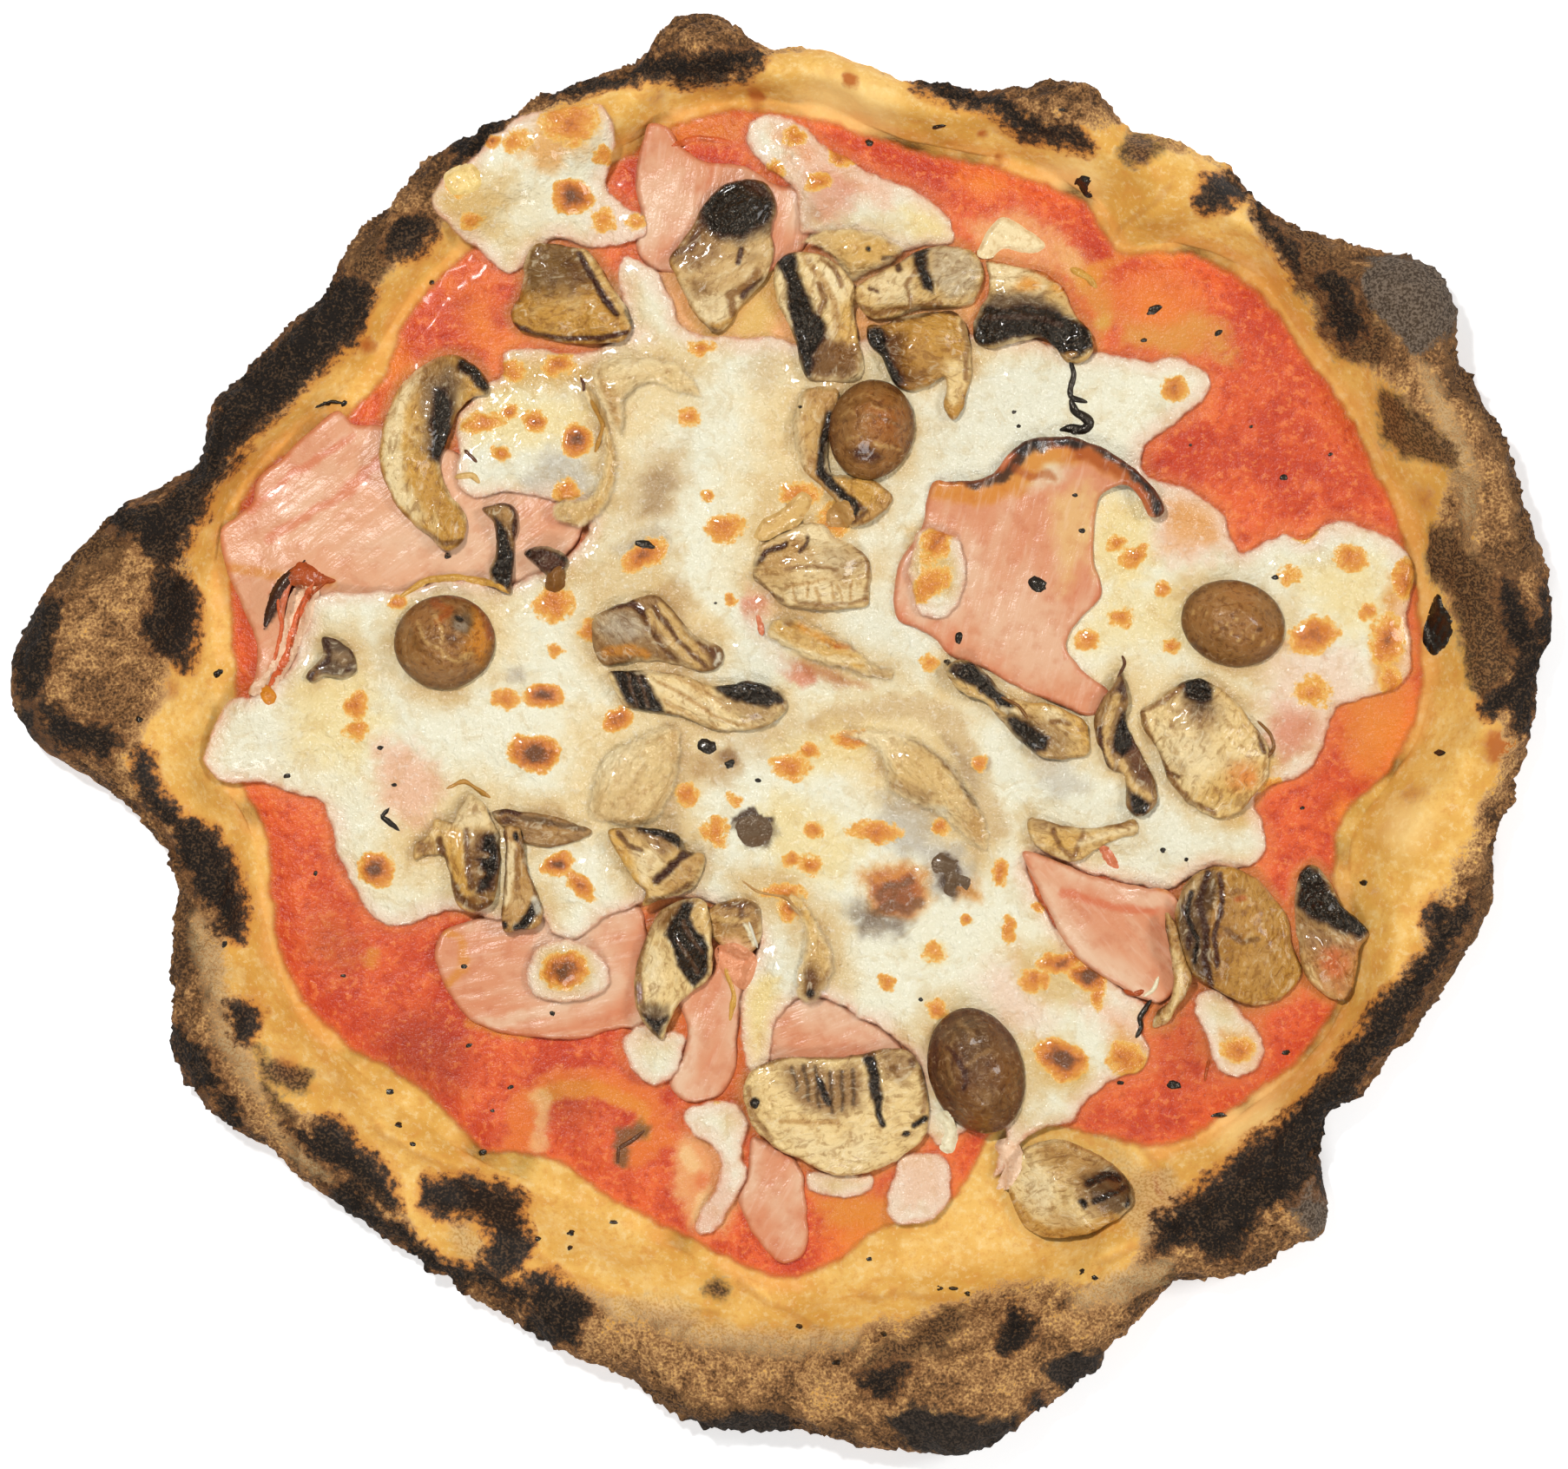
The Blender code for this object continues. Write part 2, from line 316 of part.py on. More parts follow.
def rim_profile(degrees):
    """Radius and height of the skin at each angle, from the sauce's edge over the crest to the base."""
    outer = through(OUTER_EDGE)(degrees)[:, None]
    inner = through(RIM_FOOT)(degrees)[:, None]
    crest = through(CREST)(degrees)[:, None]
    crest_radius = inner + CREST_AT * (outer - inner)
    widest = WIDEST_AT * crest
    base_radius = outer - UNDERCUT * crest

    rise = np.linspace(0, 1, INNER_STEPS + 1)[None, :]
    fall = np.linspace(0, math.pi / 2, OUTER_STEPS + 1)[None, 1:]
    tuck = np.linspace(0, math.pi / 2, UNDER_STEPS + 1)[None, 1:]
    radius = np.hstack((inner + (crest_radius - inner) * rise,
                        crest_radius + (outer - crest_radius) * np.sin(fall),
                        base_radius + (outer - base_radius) * np.cos(tuck)))
    height = np.hstack((FLOOR + (crest - FLOOR) * np.sin(rise * math.pi / 2) ** 1.2,
                        widest + (crest - widest) * np.cos(fall),
                        widest * (1 - np.sin(tuck))))
    return radius, height


def uneven_rim(degrees, radius, height):
    """Lumps, blisters and hollows, moved along the section so that every point keeps its angle."""
    turn = np.radians(degrees)[:, None]
    x = radius * np.cos(turn)
    y = radius * np.sin(turn)
    count = radius.shape[1]
    share = np.zeros(count)
    share[1:-1] = 1.0
    share[INNER_STEPS + OUTER_STEPS] = 0.3           # the widest point keeps the outline
    lump = np.zeros_like(radius)
    for index in np.ndindex(radius.shape):
        place = Vector((x[index], y[index], height[index])) / LUMP_SIZE
        lump[index] = noise.noise(place) + 0.5 * noise.noise(place * 2.1)
    middle = radius[:, INNER_STEPS:INNER_STEPS + 1]
    away = np.hypot(radius - middle, height - height.max(axis=1, keepdims=True) / 2)
    lump = LUMP_HEIGHT * lump * share
    new_radius = radius + lump * (radius - middle) / away
    new_height = height + lump * (height - height.max(axis=1, keepdims=True) / 2) / away
    on_top = np.zeros(count)
    on_top[1:INNER_STEPS + OUTER_STEPS] = 1.0
    on_top[INNER_STEPS + OUTER_STEPS - 1] = 0.6
    for bx, by, reach, lift in BLISTERS:
        near = np.clip(1 - ((x - bx) ** 2 + (y - by) ** 2) / reach ** 2, 0, 1)
        new_height += lift * near ** 2 * on_top
    new_height[:, 1:INNER_STEPS + OUTER_STEPS] = np.maximum(new_height[:, 1:INNER_STEPS + OUTER_STEPS],
                                                            FLOOR + 0.2)
    return new_radius, new_height


def dough_points():
    """The dough's vertices, ring by ring, and its triangles."""
    degrees = np.arange(SPOKES) * 360.0 / SPOKES
    radius, height = rim_profile(degrees)
    radius, height = uneven_rim(degrees, radius, height)
    radius = np.hstack((radius[:, :1] * FLOOR_RING, radius))
    height = np.hstack((np.full((SPOKES, 1), FLOOR), height))
    height[:, -1] = 0.0
    turn = np.radians(degrees)[:, None]
    rings = np.stack((radius * np.cos(turn), radius * np.sin(turn), height), axis=2)
    count = rings.shape[1]
    points = np.vstack((rings.reshape(-1, 3), (0, 0, FLOOR), (0, 0, 0)))
    top_pole = SPOKES * count
    base_pole = top_pole + 1
    faces = []
    for i in range(SPOKES):
        j = (i + 1) % SPOKES
        faces.append((top_pole, i * count, j * count))
        for k in range(count - 1):
            a, b = i * count + k, i * count + k + 1
            c, d = j * count + k + 1, j * count + k
            faces.append((a, b, c))
            faces.append((a, c, d))
        faces.append((base_pole, j * count + count - 1, i * count + count - 1))
    return points, np.array(faces)


class HeightMap:
    """How high the pieces laid so far reach, on a square grid."""

    def __init__(self):
        side = int(2 * HALF_MAP / CELL) + 1
        self.height = np.zeros((side, side))
        self.spread = self.height

    def add(self, points, triangles):
        corners = points[triangles]
        grid = (corners[:, :, :2] + HALF_MAP) / CELL
        low = np.floor(grid.min(axis=1)).astype(int)
        high = np.ceil(grid.max(axis=1)).astype(int)
        for (ax, ay), (bx, by), (cx, cy), z, (x0, y0), (x1, y1) in zip(
                grid[:, 0], grid[:, 1], grid[:, 2], corners[:, :, 2], low, high):
            area = (bx - ax) * (cy - ay) - (by - ay) * (cx - ax)
            if area < 1e-9:
                continue
            gx, gy = np.meshgrid(np.arange(x0, x1 + 1), np.arange(y0, y1 + 1))
            u = ((bx - gx) * (cy - gy) - (by - gy) * (cx - gx)) / area
            v = ((cx - gx) * (ay - gy) - (cy - gy) * (ax - gx)) / area
            w = 1 - u - v
            inside = (u > -0.01) & (v > -0.01) & (w > -0.01)
            here = self.height[y0:y1 + 1, x0:x1 + 1]
            here[inside] = np.maximum(here[inside], (u * z[0] + v * z[1] + w * z[2])[inside])
        wide = self.height.copy()
        for dx in (-1, 0, 1):
            for dy in (-1, 0, 1):
                wide = np.maximum(wide, np.roll(self.height, (dy, dx), axis=(0, 1)))
        self.spread = wide

    def under(self, x, y):
        column = np.rint((x + HALF_MAP) / CELL).astype(int)
        row = np.rint((y + HALF_MAP) / CELL).astype(int)
        return self.spread[row, column]


def smooth_loop(outline, spacing):
    """Evenly spaced points on the closed smooth curve through an outline's points."""
    points = np.array(outline, float)
    before, after, beyond = (np.roll(points, shift, axis=0) for shift in (1, -1, -2))
    curve = []
    for t in np.arange(0, 1, 0.1):
        curve.append(0.5 * (2 * points + (after - before) * t
                            + (2 * before - 5 * points + 4 * after - beyond) * t ** 2
                            + (3 * points - before - 3 * after + beyond) * t ** 3))
    curve = np.stack(curve, axis=1).reshape(-1, 2)
    closed = np.vstack((curve, curve[:1]))
    along = np.concatenate(([0], np.cumsum(np.hypot(*np.diff(closed, axis=0).T))))
    count = max(8, round(along[-1] / spacing))
    at = np.arange(count) * along[-1] / count
    return np.stack((np.interp(at, along, closed[:, 0]), np.interp(at, along, closed[:, 1])), axis=1)


def edge_distance(points, loop):
    """Distance of each point from a closed outline, and whether it is inside."""
    start, end = loop, np.roll(loop, -1, axis=0)
    side = end - start
    offset = points[:, None, :] - start[None]
    t = np.clip((offset * side).sum(axis=2) / (side ** 2).sum(axis=1), 0, 1)
    distance = np.linalg.norm(offset - t[..., None] * side, axis=2).min(axis=1)
    crossing = ((start[None, :, 1] > points[:, None, 1]) != (end[None, :, 1] > points[:, None, 1]))
    rise = np.where(side[:, 1] == 0, 1e-12, side[:, 1])
    meets = start[:, 0] + (points[:, None, 1] - start[:, 1]) / rise * side[:, 0]
    inside = (crossing & (points[:, None, 0] < meets)).sum(axis=1) % 2 == 1
    return distance, inside


def triangulate(loop, spacing):
    """The outline filled with triangles, all the same way round."""
    low, high = loop.min(axis=0), loop.max(axis=0)
    rows = []
    for row, y in enumerate(np.arange(low[1], high[1], spacing * 0.866)):
        start = low[0] + (spacing / 2 if row % 2 else 0)
        rows += [(x, y) for x in np.arange(start, high[0], spacing)]
    inner = np.array(rows) if rows else np.zeros((0, 2))
    if len(inner):
        distance, inside = edge_distance(inner, loop)
        inner = inner[inside & (distance > 0.5 * spacing)]
    places = [Vector(point) for point in np.vstack((loop, inner))]
    result = delaunay_2d_cdt(places, [], [list(range(len(loop)))], 1, 1e-5)
    flat = np.array([tuple(point) for point in result[0]])
    triangles = []
    for face in result[2]:
        for k in range(1, len(face) - 1):
            a, b, c = face[0], face[k], face[k + 1]
            side, other = flat[b] - flat[a], flat[c] - flat[a]
            if side[0] * other[1] - side[1] * other[0] < 0:
                b, c = c, b
            triangles.append((a, b, c))
    return flat, np.array(triangles)


def settle(flat, triangles, stiffness, ground):
    """The lowest heights at which a sheet of triangles clears all that is under it."""
    share = np.array([(i, j, FINE - i - j) for i in range(FINE + 1) for j in range(FINE + 1 - i)]) / FINE
    samples = np.einsum("sk,tkc->tsc", share, flat[triangles])
    needed = ground.under(samples[..., 0], samples[..., 1]) + GAP
    edges = np.vstack((triangles[:, (0, 1)], triangles[:, (1, 2)], triangles[:, (2, 0)]))
    edges = np.vstack((edges, edges[:, ::-1]))
    ends = np.bincount(edges[:, 0], minlength=len(flat))
    height = ground.under(flat[:, 0], flat[:, 1]) + GAP
    for step in range(SETTLE_ROUNDS + 1):
        if step < SETTLE_ROUNDS:
            mean = np.bincount(edges[:, 0], height[edges[:, 1]], minlength=len(flat)) / ends
            height = height + stiffness * (mean - height)
        short = (needed - height[triangles] @ share.T).max(axis=1).clip(0)
        lift = np.zeros(len(flat))
        for corner in range(3):
            np.maximum.at(lift, triangles[:, corner], short)
        height = height + lift
        spare = (height[triangles] @ share.T - needed).min(axis=1)
        room = np.full(len(flat), np.inf)
        for corner in range(3):
            np.minimum.at(room, triangles[:, corner], spare)
        height = height - room * (1 - stiffness)
    return height


def lay_piece(name, loop, ground):
    """A slab of a topping laid on the height map: its vertices and triangles."""
    kind = name.split("_")[0]
    middle, edge, rounding, _, spacing, stiffness = KINDS[kind]
    flat, triangles = triangulate(loop, spacing)
    distance, _ = edge_distance(flat, loop)
    distance[distance < 1e-3] = 0.0
    low = settle(flat, triangles, stiffness, ground)
    near = np.clip(distance / rounding, 0, 1)
    thick = edge + (middle - edge) * np.sqrt(1 - (1 - near) ** 2)
    for x, y, reach, lift in CURLS.get(name, ()):
        bump = lift * np.clip(1 - ((flat[:, 0] - x) ** 2 + (flat[:, 1] - y) ** 2) / reach ** 2, 0, 1) ** 2
        if kind in ("ham", "cheese"):
            thick = thick + (bump if kind == "cheese" else 0)
            low = low + (bump if kind == "ham" else 0)
        else:
            low = low + 0.5 * bump
            thick = thick + 0.5 * bump
    if name in PITS:
        x, y, reach, depth = PITS[name]
        thick = thick - depth * np.clip(1 - np.hypot(flat[:, 0] - x, flat[:, 1] - y) / reach, 0, 1)
    high = low + thick
    count = len(flat)
    points = np.vstack((np.column_stack((flat, high)), np.column_stack((flat, low))))
    sides = {(a, b) for t in triangles.tolist() for a, b in ((t[0], t[1]), (t[1], t[2]), (t[2], t[0]))}
    walls = []
    for a, b in sorted(sides):
        if (b, a) not in sides:
            walls.append((a, a + count, b + count))
            walls.append((a, b + count, b))
    faces = np.vstack((triangles, triangles[:, ::-1] + count, walls))
    ground.add(points, triangles)
    return points, faces


def ellipse(centre, half_length, half_width, turn):
    """Outline of an olive seen from above."""
    c, s = math.cos(math.radians(turn)), math.sin(math.radians(turn))
    outline = []
    for angle in np.arange(0, 2 * math.pi, math.pi / 8):
        u, v = half_length * math.cos(angle), half_width * math.sin(angle)
        outline.append((centre[0] + u * c - v * s, centre[1] + u * s + v * c))
    return outline


def sauce_outline():
    """The sauce ends just short of the rim's foot."""
    degrees = np.arange(0, 360, 2.0)
    radius = through(SAUCE_EDGE)(degrees) - 1.0
    return np.column_stack((radius * np.cos(np.radians(degrees)), radius * np.sin(np.radians(degrees))))


def finish(name):
    """Plain material in the kind's own colour."""
    colour, roughness = FINISHES[name.split("_")[0]]
    material = bpy.data.materials.new(name)
    material.use_nodes = True
    shader = material.node_tree.nodes["Principled BSDF"]
    shader.inputs["Base Color"].default_value = (*colour, 1.0)
    shader.inputs["Roughness"].default_value = roughness
    shader.inputs["Metallic"].default_value = 0.0
    return material


def make_object(name, points, faces, origin):
    mesh = bpy.data.meshes.new(name)
    mesh.from_pydata(((points - origin) * MM).tolist(), [], faces.tolist())
    work = bmesh.new()
    work.from_mesh(mesh)
    bmesh.ops.recalc_face_normals(work, faces=work.faces)
    work.to_mesh(mesh)
    work.free()
    mesh.shade_smooth()
    mesh.set_sharp_from_angle(angle=math.radians(50))
    mesh.materials.append(finish(name))
    thing = bpy.data.objects.new(name, mesh)
    bpy.context.scene.collection.objects.link(thing)


def main():
    for thing in list(bpy.data.objects):
        bpy.data.objects.remove(thing)
    ground = HeightMap()
    points, faces = dough_points()
    origin = (points.min(axis=0) + points.max(axis=0)) / 2 * (1, 1, 0)
    make_object("dough", points, faces, origin)
    ground.add(points, faces)

    loop = smooth_loop(sauce_outline(), KINDS["sauce"][3])
    make_object("sauce", *lay_piece("sauce", loop, ground), origin)
    for name, outline in TOPPINGS.items():
        loop = smooth_loop(outline, KINDS[name.split("_")[0]][3])
        make_object(name, *lay_piece(name, loop, ground), origin)
    for name, size in OLIVES.items():
        loop = smooth_loop(ellipse(*size), KINDS["olive"][3])
        make_object(name, *lay_piece(name, loop, ground), origin)


main()
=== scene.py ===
# A baked regina pizza seen from straight above, on a pale floor.
# Lengths in this script are in millimetres until a mesh is made.
import math

import bpy
import numpy as np
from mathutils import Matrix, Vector, noise
from mathutils.geometry import delaunay_2d_cdt


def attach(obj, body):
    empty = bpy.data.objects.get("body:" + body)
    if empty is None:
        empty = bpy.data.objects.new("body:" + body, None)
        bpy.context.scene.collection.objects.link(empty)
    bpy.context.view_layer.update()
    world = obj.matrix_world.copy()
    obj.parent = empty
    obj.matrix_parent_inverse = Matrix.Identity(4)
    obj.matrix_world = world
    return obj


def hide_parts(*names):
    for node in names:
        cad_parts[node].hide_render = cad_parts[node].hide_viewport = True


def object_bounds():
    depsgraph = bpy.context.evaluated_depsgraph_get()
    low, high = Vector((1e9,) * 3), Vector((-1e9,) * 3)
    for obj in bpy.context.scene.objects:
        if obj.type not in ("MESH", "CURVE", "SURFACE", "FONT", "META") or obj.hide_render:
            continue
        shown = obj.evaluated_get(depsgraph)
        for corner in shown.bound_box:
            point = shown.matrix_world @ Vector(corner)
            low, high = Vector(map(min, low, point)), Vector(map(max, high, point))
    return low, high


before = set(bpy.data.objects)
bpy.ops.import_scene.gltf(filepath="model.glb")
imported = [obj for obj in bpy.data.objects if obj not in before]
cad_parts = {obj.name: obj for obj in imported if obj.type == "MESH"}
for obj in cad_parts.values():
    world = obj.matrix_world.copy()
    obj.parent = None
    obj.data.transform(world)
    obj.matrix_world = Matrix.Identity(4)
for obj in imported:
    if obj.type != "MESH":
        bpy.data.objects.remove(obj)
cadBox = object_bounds()
mm = 0.001


octaveFade = 0.55  # each finer layer of a pattern is this much weaker
octaveStep = 2.1  # and this many times smaller


# a number from 0 to 1 for each whole place on a grid
def lattice(i, j, seed):
    n = (i * 374761393 + j * 668265263 + seed * 1442695041) & 0xffffffff
    n = ((n ^ (n >> 13)) * 1274126177) & 0xffffffff
    return ((n ^ (n >> 16)) & 0xffff) / 65535.0


# smooth random pattern from -1 to 1; size is the width of its largest lumps
def cloud(x, y, size, seed=0, octaves=2):
    total, weight, amount = 0.0, 0.0, 1.0
    for octave in range(octaves):
        u, v = x / size, y / size
        i, j = np.floor(u).astype(np.int64), np.floor(v).astype(np.int64)
        s, t = u - i, v - j
        s, t = s * s * (3 - 2 * s), t * t * (3 - 2 * t)
        k = seed * 17 + octave
        low = lattice(i, j, k) * (1 - s) + lattice(i + 1, j, k) * s
        high = lattice(i, j + 1, k) * (1 - s) + lattice(i + 1, j + 1, k) * s
        total = total + amount * (low * (1 - t) + high * t)
        weight += amount
        amount *= octaveFade
        size = size / octaveStep
    return total / weight * 2 - 1


# a smooth step from 0 at low to 1 at high
def ramp(low, high, value):
    t = np.clip((value - low) / (high - low), 0, 1)
    return t * t * (3 - 2 * t)


# 1 in the middle of the nearest mark, 0 at its rim; a mark is x, y, half length, half width, turn, strength
def spots(x, y, marks):
    best = np.zeros_like(x)
    for cx, cy, a, b, turn, strength in marks:
        near = (np.abs(x - cx) < max(a, b)) & (np.abs(y - cy) < max(a, b))
        dx, dy = x[near] - cx, y[near] - cy
        c, s = math.cos(math.radians(turn)), math.sin(math.radians(turn))
        value = strength * (1 - np.hypot((dx * c + dy * s) / a, (dy * c - dx * s) / b))
        best[near] = np.maximum(best[near], value)
    return best


def segmentDistance(x, y, ax, ay, bx, by):
    dx, dy = bx - ax, by - ay
    t = np.clip(((x - ax) * dx + (y - ay) * dy) / (dx * dx + dy * dy + 1e-9), 0, 1)
    return np.hypot(x - ax - t * dx, y - ay - t * dy)


# 1 on a line through the points, 0 at the given distance from it
def ribbon(x, y, path, width):
    best = np.zeros_like(x)
    for (ax, ay), (bx, by) in zip(path, path[1:]):
        near = (x > min(ax, bx) - width) & (x < max(ax, bx) + width)
        near &= (y > min(ay, by) - width) & (y < max(ay, by) + width)
        value = 1 - segmentDistance(x[near], y[near], ax, ay, bx, by) / width
        best[near] = np.maximum(best[near], value)
    return best


# signed distance inside a closed outline over 2 * soft, plus 0.5: 0.5 on the outline, 1 well inside
def area(x, y, outline, soft):
    outline = np.array(outline, float)
    result = np.zeros_like(x)
    low, high = outline.min(axis=0) - soft, outline.max(axis=0) + soft
    near = (x > low[0]) & (x < high[0]) & (y > low[1]) & (y < high[1])
    px, py = x[near], y[near]
    distance = np.full_like(px, 1e9)
    inside = np.zeros(len(px), bool)
    for (ax, ay), (bx, by) in zip(outline, np.roll(outline, -1, axis=0)):
        distance = np.minimum(distance, segmentDistance(px, py, ax, ay, bx, by))
        if ay != by:
            inside ^= ((ay > py) != (by > py)) & (px < ax + (py - ay) / (by - ay) * (bx - ax))
    signed = np.where(inside, distance, -distance)
    result[near] = np.clip(0.5 + signed / (2 * soft), 0, 1)
    return result


# periodic smooth curve through (degree, value) pairs
def through(pairs, degrees):
    at = np.array([pair[0] for pair in pairs], float)
    value = np.array([pair[1] for pair in pairs], float)
    at = np.concatenate((at[-2:] - 360, at, at[:2] + 360))
    value = np.concatenate((value[-2:], value, value[:2]))
    slope = np.gradient(value, at)
    degrees = np.mod(degrees, 360)
    k = np.clip(np.searchsorted(at, degrees, side="right") - 1, 0, len(at) - 2)
    span = at[k + 1] - at[k]
    t = (degrees - at[k]) / span
    start = value[k] * (1 + 2 * t) + slope[k] * span * t
    end = value[k + 1] * (3 - 2 * t) + slope[k + 1] * span * (t - 1)
    return start * (1 - t) ** 2 + end * t ** 2


# a colour of 0 to 255 as the linear one that a socket takes
def srgb(red, green, blue):
    linear = []
    for part in (red, green, blue):
        part = part / 255
        linear.append(part / 12.92 if part <= 0.04045 else ((part + 0.055) / 1.055) ** 2.4)
    return (*linear, 1.0)


# one output in a material; arithmetic on it adds Math nodes
class Wire:
    def __init__(self, graph, socket):
        self.graph = graph
        self.socket = socket

    def math(self, operation, first, second):
        return self.graph.node("ShaderNodeMath", {"operation": operation}, {0: first, 1: second})

    def __add__(self, other):
        return self.math("ADD", self, other)

    def __radd__(self, other):
        return self.math("ADD", other, self)

    def __sub__(self, other):
        return self.math("SUBTRACT", self, other)

    def __rsub__(self, other):
        return self.math("SUBTRACT", other, self)

    def __mul__(self, other):
        return self.math("MULTIPLY", self, other)

    def __rmul__(self, other):
        return self.math("MULTIPLY", other, self)

    # a smooth step from 0 at low to 1 at high
    def above(self, low, high):
        settings = {"interpolation_type": "SMOOTHSTEP", "clamp": True}
        return self.graph.node("ShaderNodeMapRange", settings, {0: self, 1: low, 2: high, 3: 0.0, 4: 1.0})


# one material and its nodes
class Graph:
    def __init__(self, name):
        self.material = bpy.data.materials.new(name)
        self.material.use_nodes = True
        self.tree = self.material.node_tree
        self.shader = self.tree.nodes["Principled BSDF"]
        self.place = None

    def join(self, value, socket):
        if isinstance(value, Wire):
            self.tree.links.new(value.socket, socket)
        else:
            socket.default_value = value

    def node(self, kind, settings, inputs, output=0):
        made = self.tree.nodes.new(kind)
        for key, value in settings.items():
            if key == "stops":
                self.setStops(made.color_ramp.elements, value)
            else:
                setattr(made, key, value)
        for key, value in inputs.items():
            self.join(value, made.inputs[key])
        return Wire(self, made.outputs[output])

    # a colour ramp's stops, each a position and a colour
    def setStops(self, elements, stops):
        elements[0].position = stops[0][0]
        elements[1].position = stops[-1][0]
        for stop in stops[1:-1]:
            elements.new(stop[0])
        for element, stop in zip(elements, stops):
            element.color = srgb(*stop[1])

    def ramp(self, factor, *stops):
        return self.node("ShaderNodeValToRGB", {"stops": stops}, {"Fac": factor}, "Color")

    def colour(self, name):
        return self.node("ShaderNodeAttribute", {"attribute_name": name}, {}, "Color")

    def mask(self, name):
        return self.node("ShaderNodeAttribute", {"attribute_name": name}, {}, "Fac")

    # fine pattern round 0.5; size is in millimetres
    def noise(self, size, detail=2.0, rough=0.5, bend=0.0, place=None):
        if self.place is None:
            self.place = self.node("ShaderNodeTexCoord", {}, {}, "Object")
        inputs = {"Vector": place or self.place, "Scale": 1000 / size, "Detail": detail, "Roughness": rough,
                  "Distortion": bend}
        return self.node("ShaderNodeTexNoise", {}, inputs, "Fac")

    # a place that runs with a piece's grain, so that a pattern is longer along it
    def along(self, stretch):
        across = self.mask("grainAcross") * mm
        lengthwise = self.mask("grainAlong") * (mm / stretch)
        return self.node("ShaderNodeCombineXYZ", {}, {"X": lengthwise, "Y": across, "Z": 0.0}, "Vector")

    def mix(self, factor, first, second, blend="MIX"):
        settings = {"data_type": "RGBA", "blend_type": blend}
        return self.node("ShaderNodeMix", settings, {0: factor, 6: first, 7: second}, 2)

    def shade(self, factor, colour, amount):
        return self.mix(factor, colour, amount, "MULTIPLY")

    # sets the shader; heights are in millimetres
    def finish(self, colour, roughness, height=None, coat=0.0, coatRoughness=0.1, alpha=1.0, **constant):
        self.join(colour, self.shader.inputs["Base Color"])
        self.join(roughness, self.shader.inputs["Roughness"])
        self.join(coat, self.shader.inputs["Coat Weight"])
        self.join(alpha, self.shader.inputs["Alpha"])
        self.shader.inputs["Coat Roughness"].default_value = coatRoughness
        for name, value in constant.items():
            self.shader.inputs[name.replace("_", " ")].default_value = value
        if height is not None:
            bump = self.node("ShaderNodeBump", {}, {"Height": height, "Distance": mm, "Strength": 1.0})
            self.join(bump, self.shader.inputs["Normal"])
        return self.material


# a mesh of triangles with its masks and painted colours, on the part's one body
def addPiece(name, points, faces, masks, material):
    mesh = bpy.data.meshes.new(name)
    mesh.vertices.add(len(points))
    mesh.vertices.foreach_set("co", (np.asarray(points, float) * mm).ravel())
    triangles = np.asarray(faces, np.int32)
    mesh.loops.add(len(triangles) * triangles.shape[1])
    mesh.loops.foreach_set("vertex_index", triangles.ravel())
    mesh.polygons.add(len(triangles))
    mesh.polygons.foreach_set("loop_start", np.arange(len(triangles), dtype=np.int32) * triangles.shape[1])
    mesh.update(calc_edges=True)
    mesh.validate()
    mesh.shade_smooth()
    for key, values in masks.items():
        values = np.asarray(values, np.float32)
        kind, field = ("FLOAT", "value") if values.ndim == 1 else ("FLOAT_COLOR", "color")
        mesh.attributes.new(key, kind, "POINT").data.foreach_set(field, values.ravel())
    mesh.materials.append(material)
    thing = bpy.data.objects.new(name, mesh)
    bpy.context.scene.collection.objects.link(thing)
    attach(thing, "root")
    return thing


# the height between a grid's points; u counts its columns and v its rows
def readGrid(height, u, v):
    i, j = u.astype(int), v.astype(int)
    s, t = u - i, v - j
    low = height[j, i] * (1 - s) + height[j, i + 1] * s
    high = height[j + 1, i] * (1 - s) + height[j + 1, i + 1] * s
    return low * (1 - t) + high * t


# heights on a square grid, known only where triangles were drawn
class Relief:
    def __init__(self, low, high, cell=0.5, margin=6.0):
        self.cell = cell
        self.low = np.array(low, float) - margin
        size = np.ceil((np.array(high, float) + margin - self.low) / cell).astype(int) + 1
        self.height = np.zeros((size[1], size[0]))
        self.known = np.zeros((size[1], size[0]))

    def draw(self, corners):
        grid = (corners[:, :, :2] - self.low) / self.cell
        for (a, b, c), z in zip(grid, corners[:, :, 2]):
            turn = (b[0] - a[0]) * (c[1] - a[1]) - (b[1] - a[1]) * (c[0] - a[0])
            if abs(turn) < 1e-9:
                continue
            x0, y0 = np.floor(np.minimum(np.minimum(a, b), c)).astype(int)
            x1, y1 = np.ceil(np.maximum(np.maximum(a, b), c)).astype(int)
            gx, gy = np.meshgrid(np.arange(x0, x1 + 1), np.arange(y0, y1 + 1))
            u = ((b[0] - gx) * (c[1] - gy) - (b[1] - gy) * (c[0] - gx)) / turn
            v = ((c[0] - gx) * (a[1] - gy) - (c[1] - gy) * (a[0] - gx)) / turn
            w = 1 - u - v
            inside = (u > -0.02) & (v > -0.02) & (w > -0.02)
            rows, columns = gy[inside], gx[inside]
            self.height[rows, columns] = (u * z[0] + v * z[1] + w * z[2])[inside]
            self.known[rows, columns] = 1.0

    # blurs the heights and carries them a little past the drawn triangles
    def soften(self, radius):
        reach = int(3 * radius / self.cell) + 1
        offsets = np.arange(-reach, reach + 1)
        weights = np.exp(-0.5 * (offsets * self.cell / radius) ** 2)
        total, known = self.height * self.known, self.known
        for axis in (0, 1):
            total = sum(w * np.roll(total, k, axis) for k, w in zip(offsets, weights))
            known = sum(w * np.roll(known, k, axis) for k, w in zip(offsets, weights))
        self.height = total / np.maximum(known, 1e-12)

    def at(self, x, y):
        u, v = (x - self.low[0]) / self.cell, (y - self.low[1]) / self.cell
        u = np.clip(u, 0, self.height.shape[1] - 1.001)
        v = np.clip(v, 0, self.height.shape[0] - 1.001)
        return readGrid(self.height, u, v)


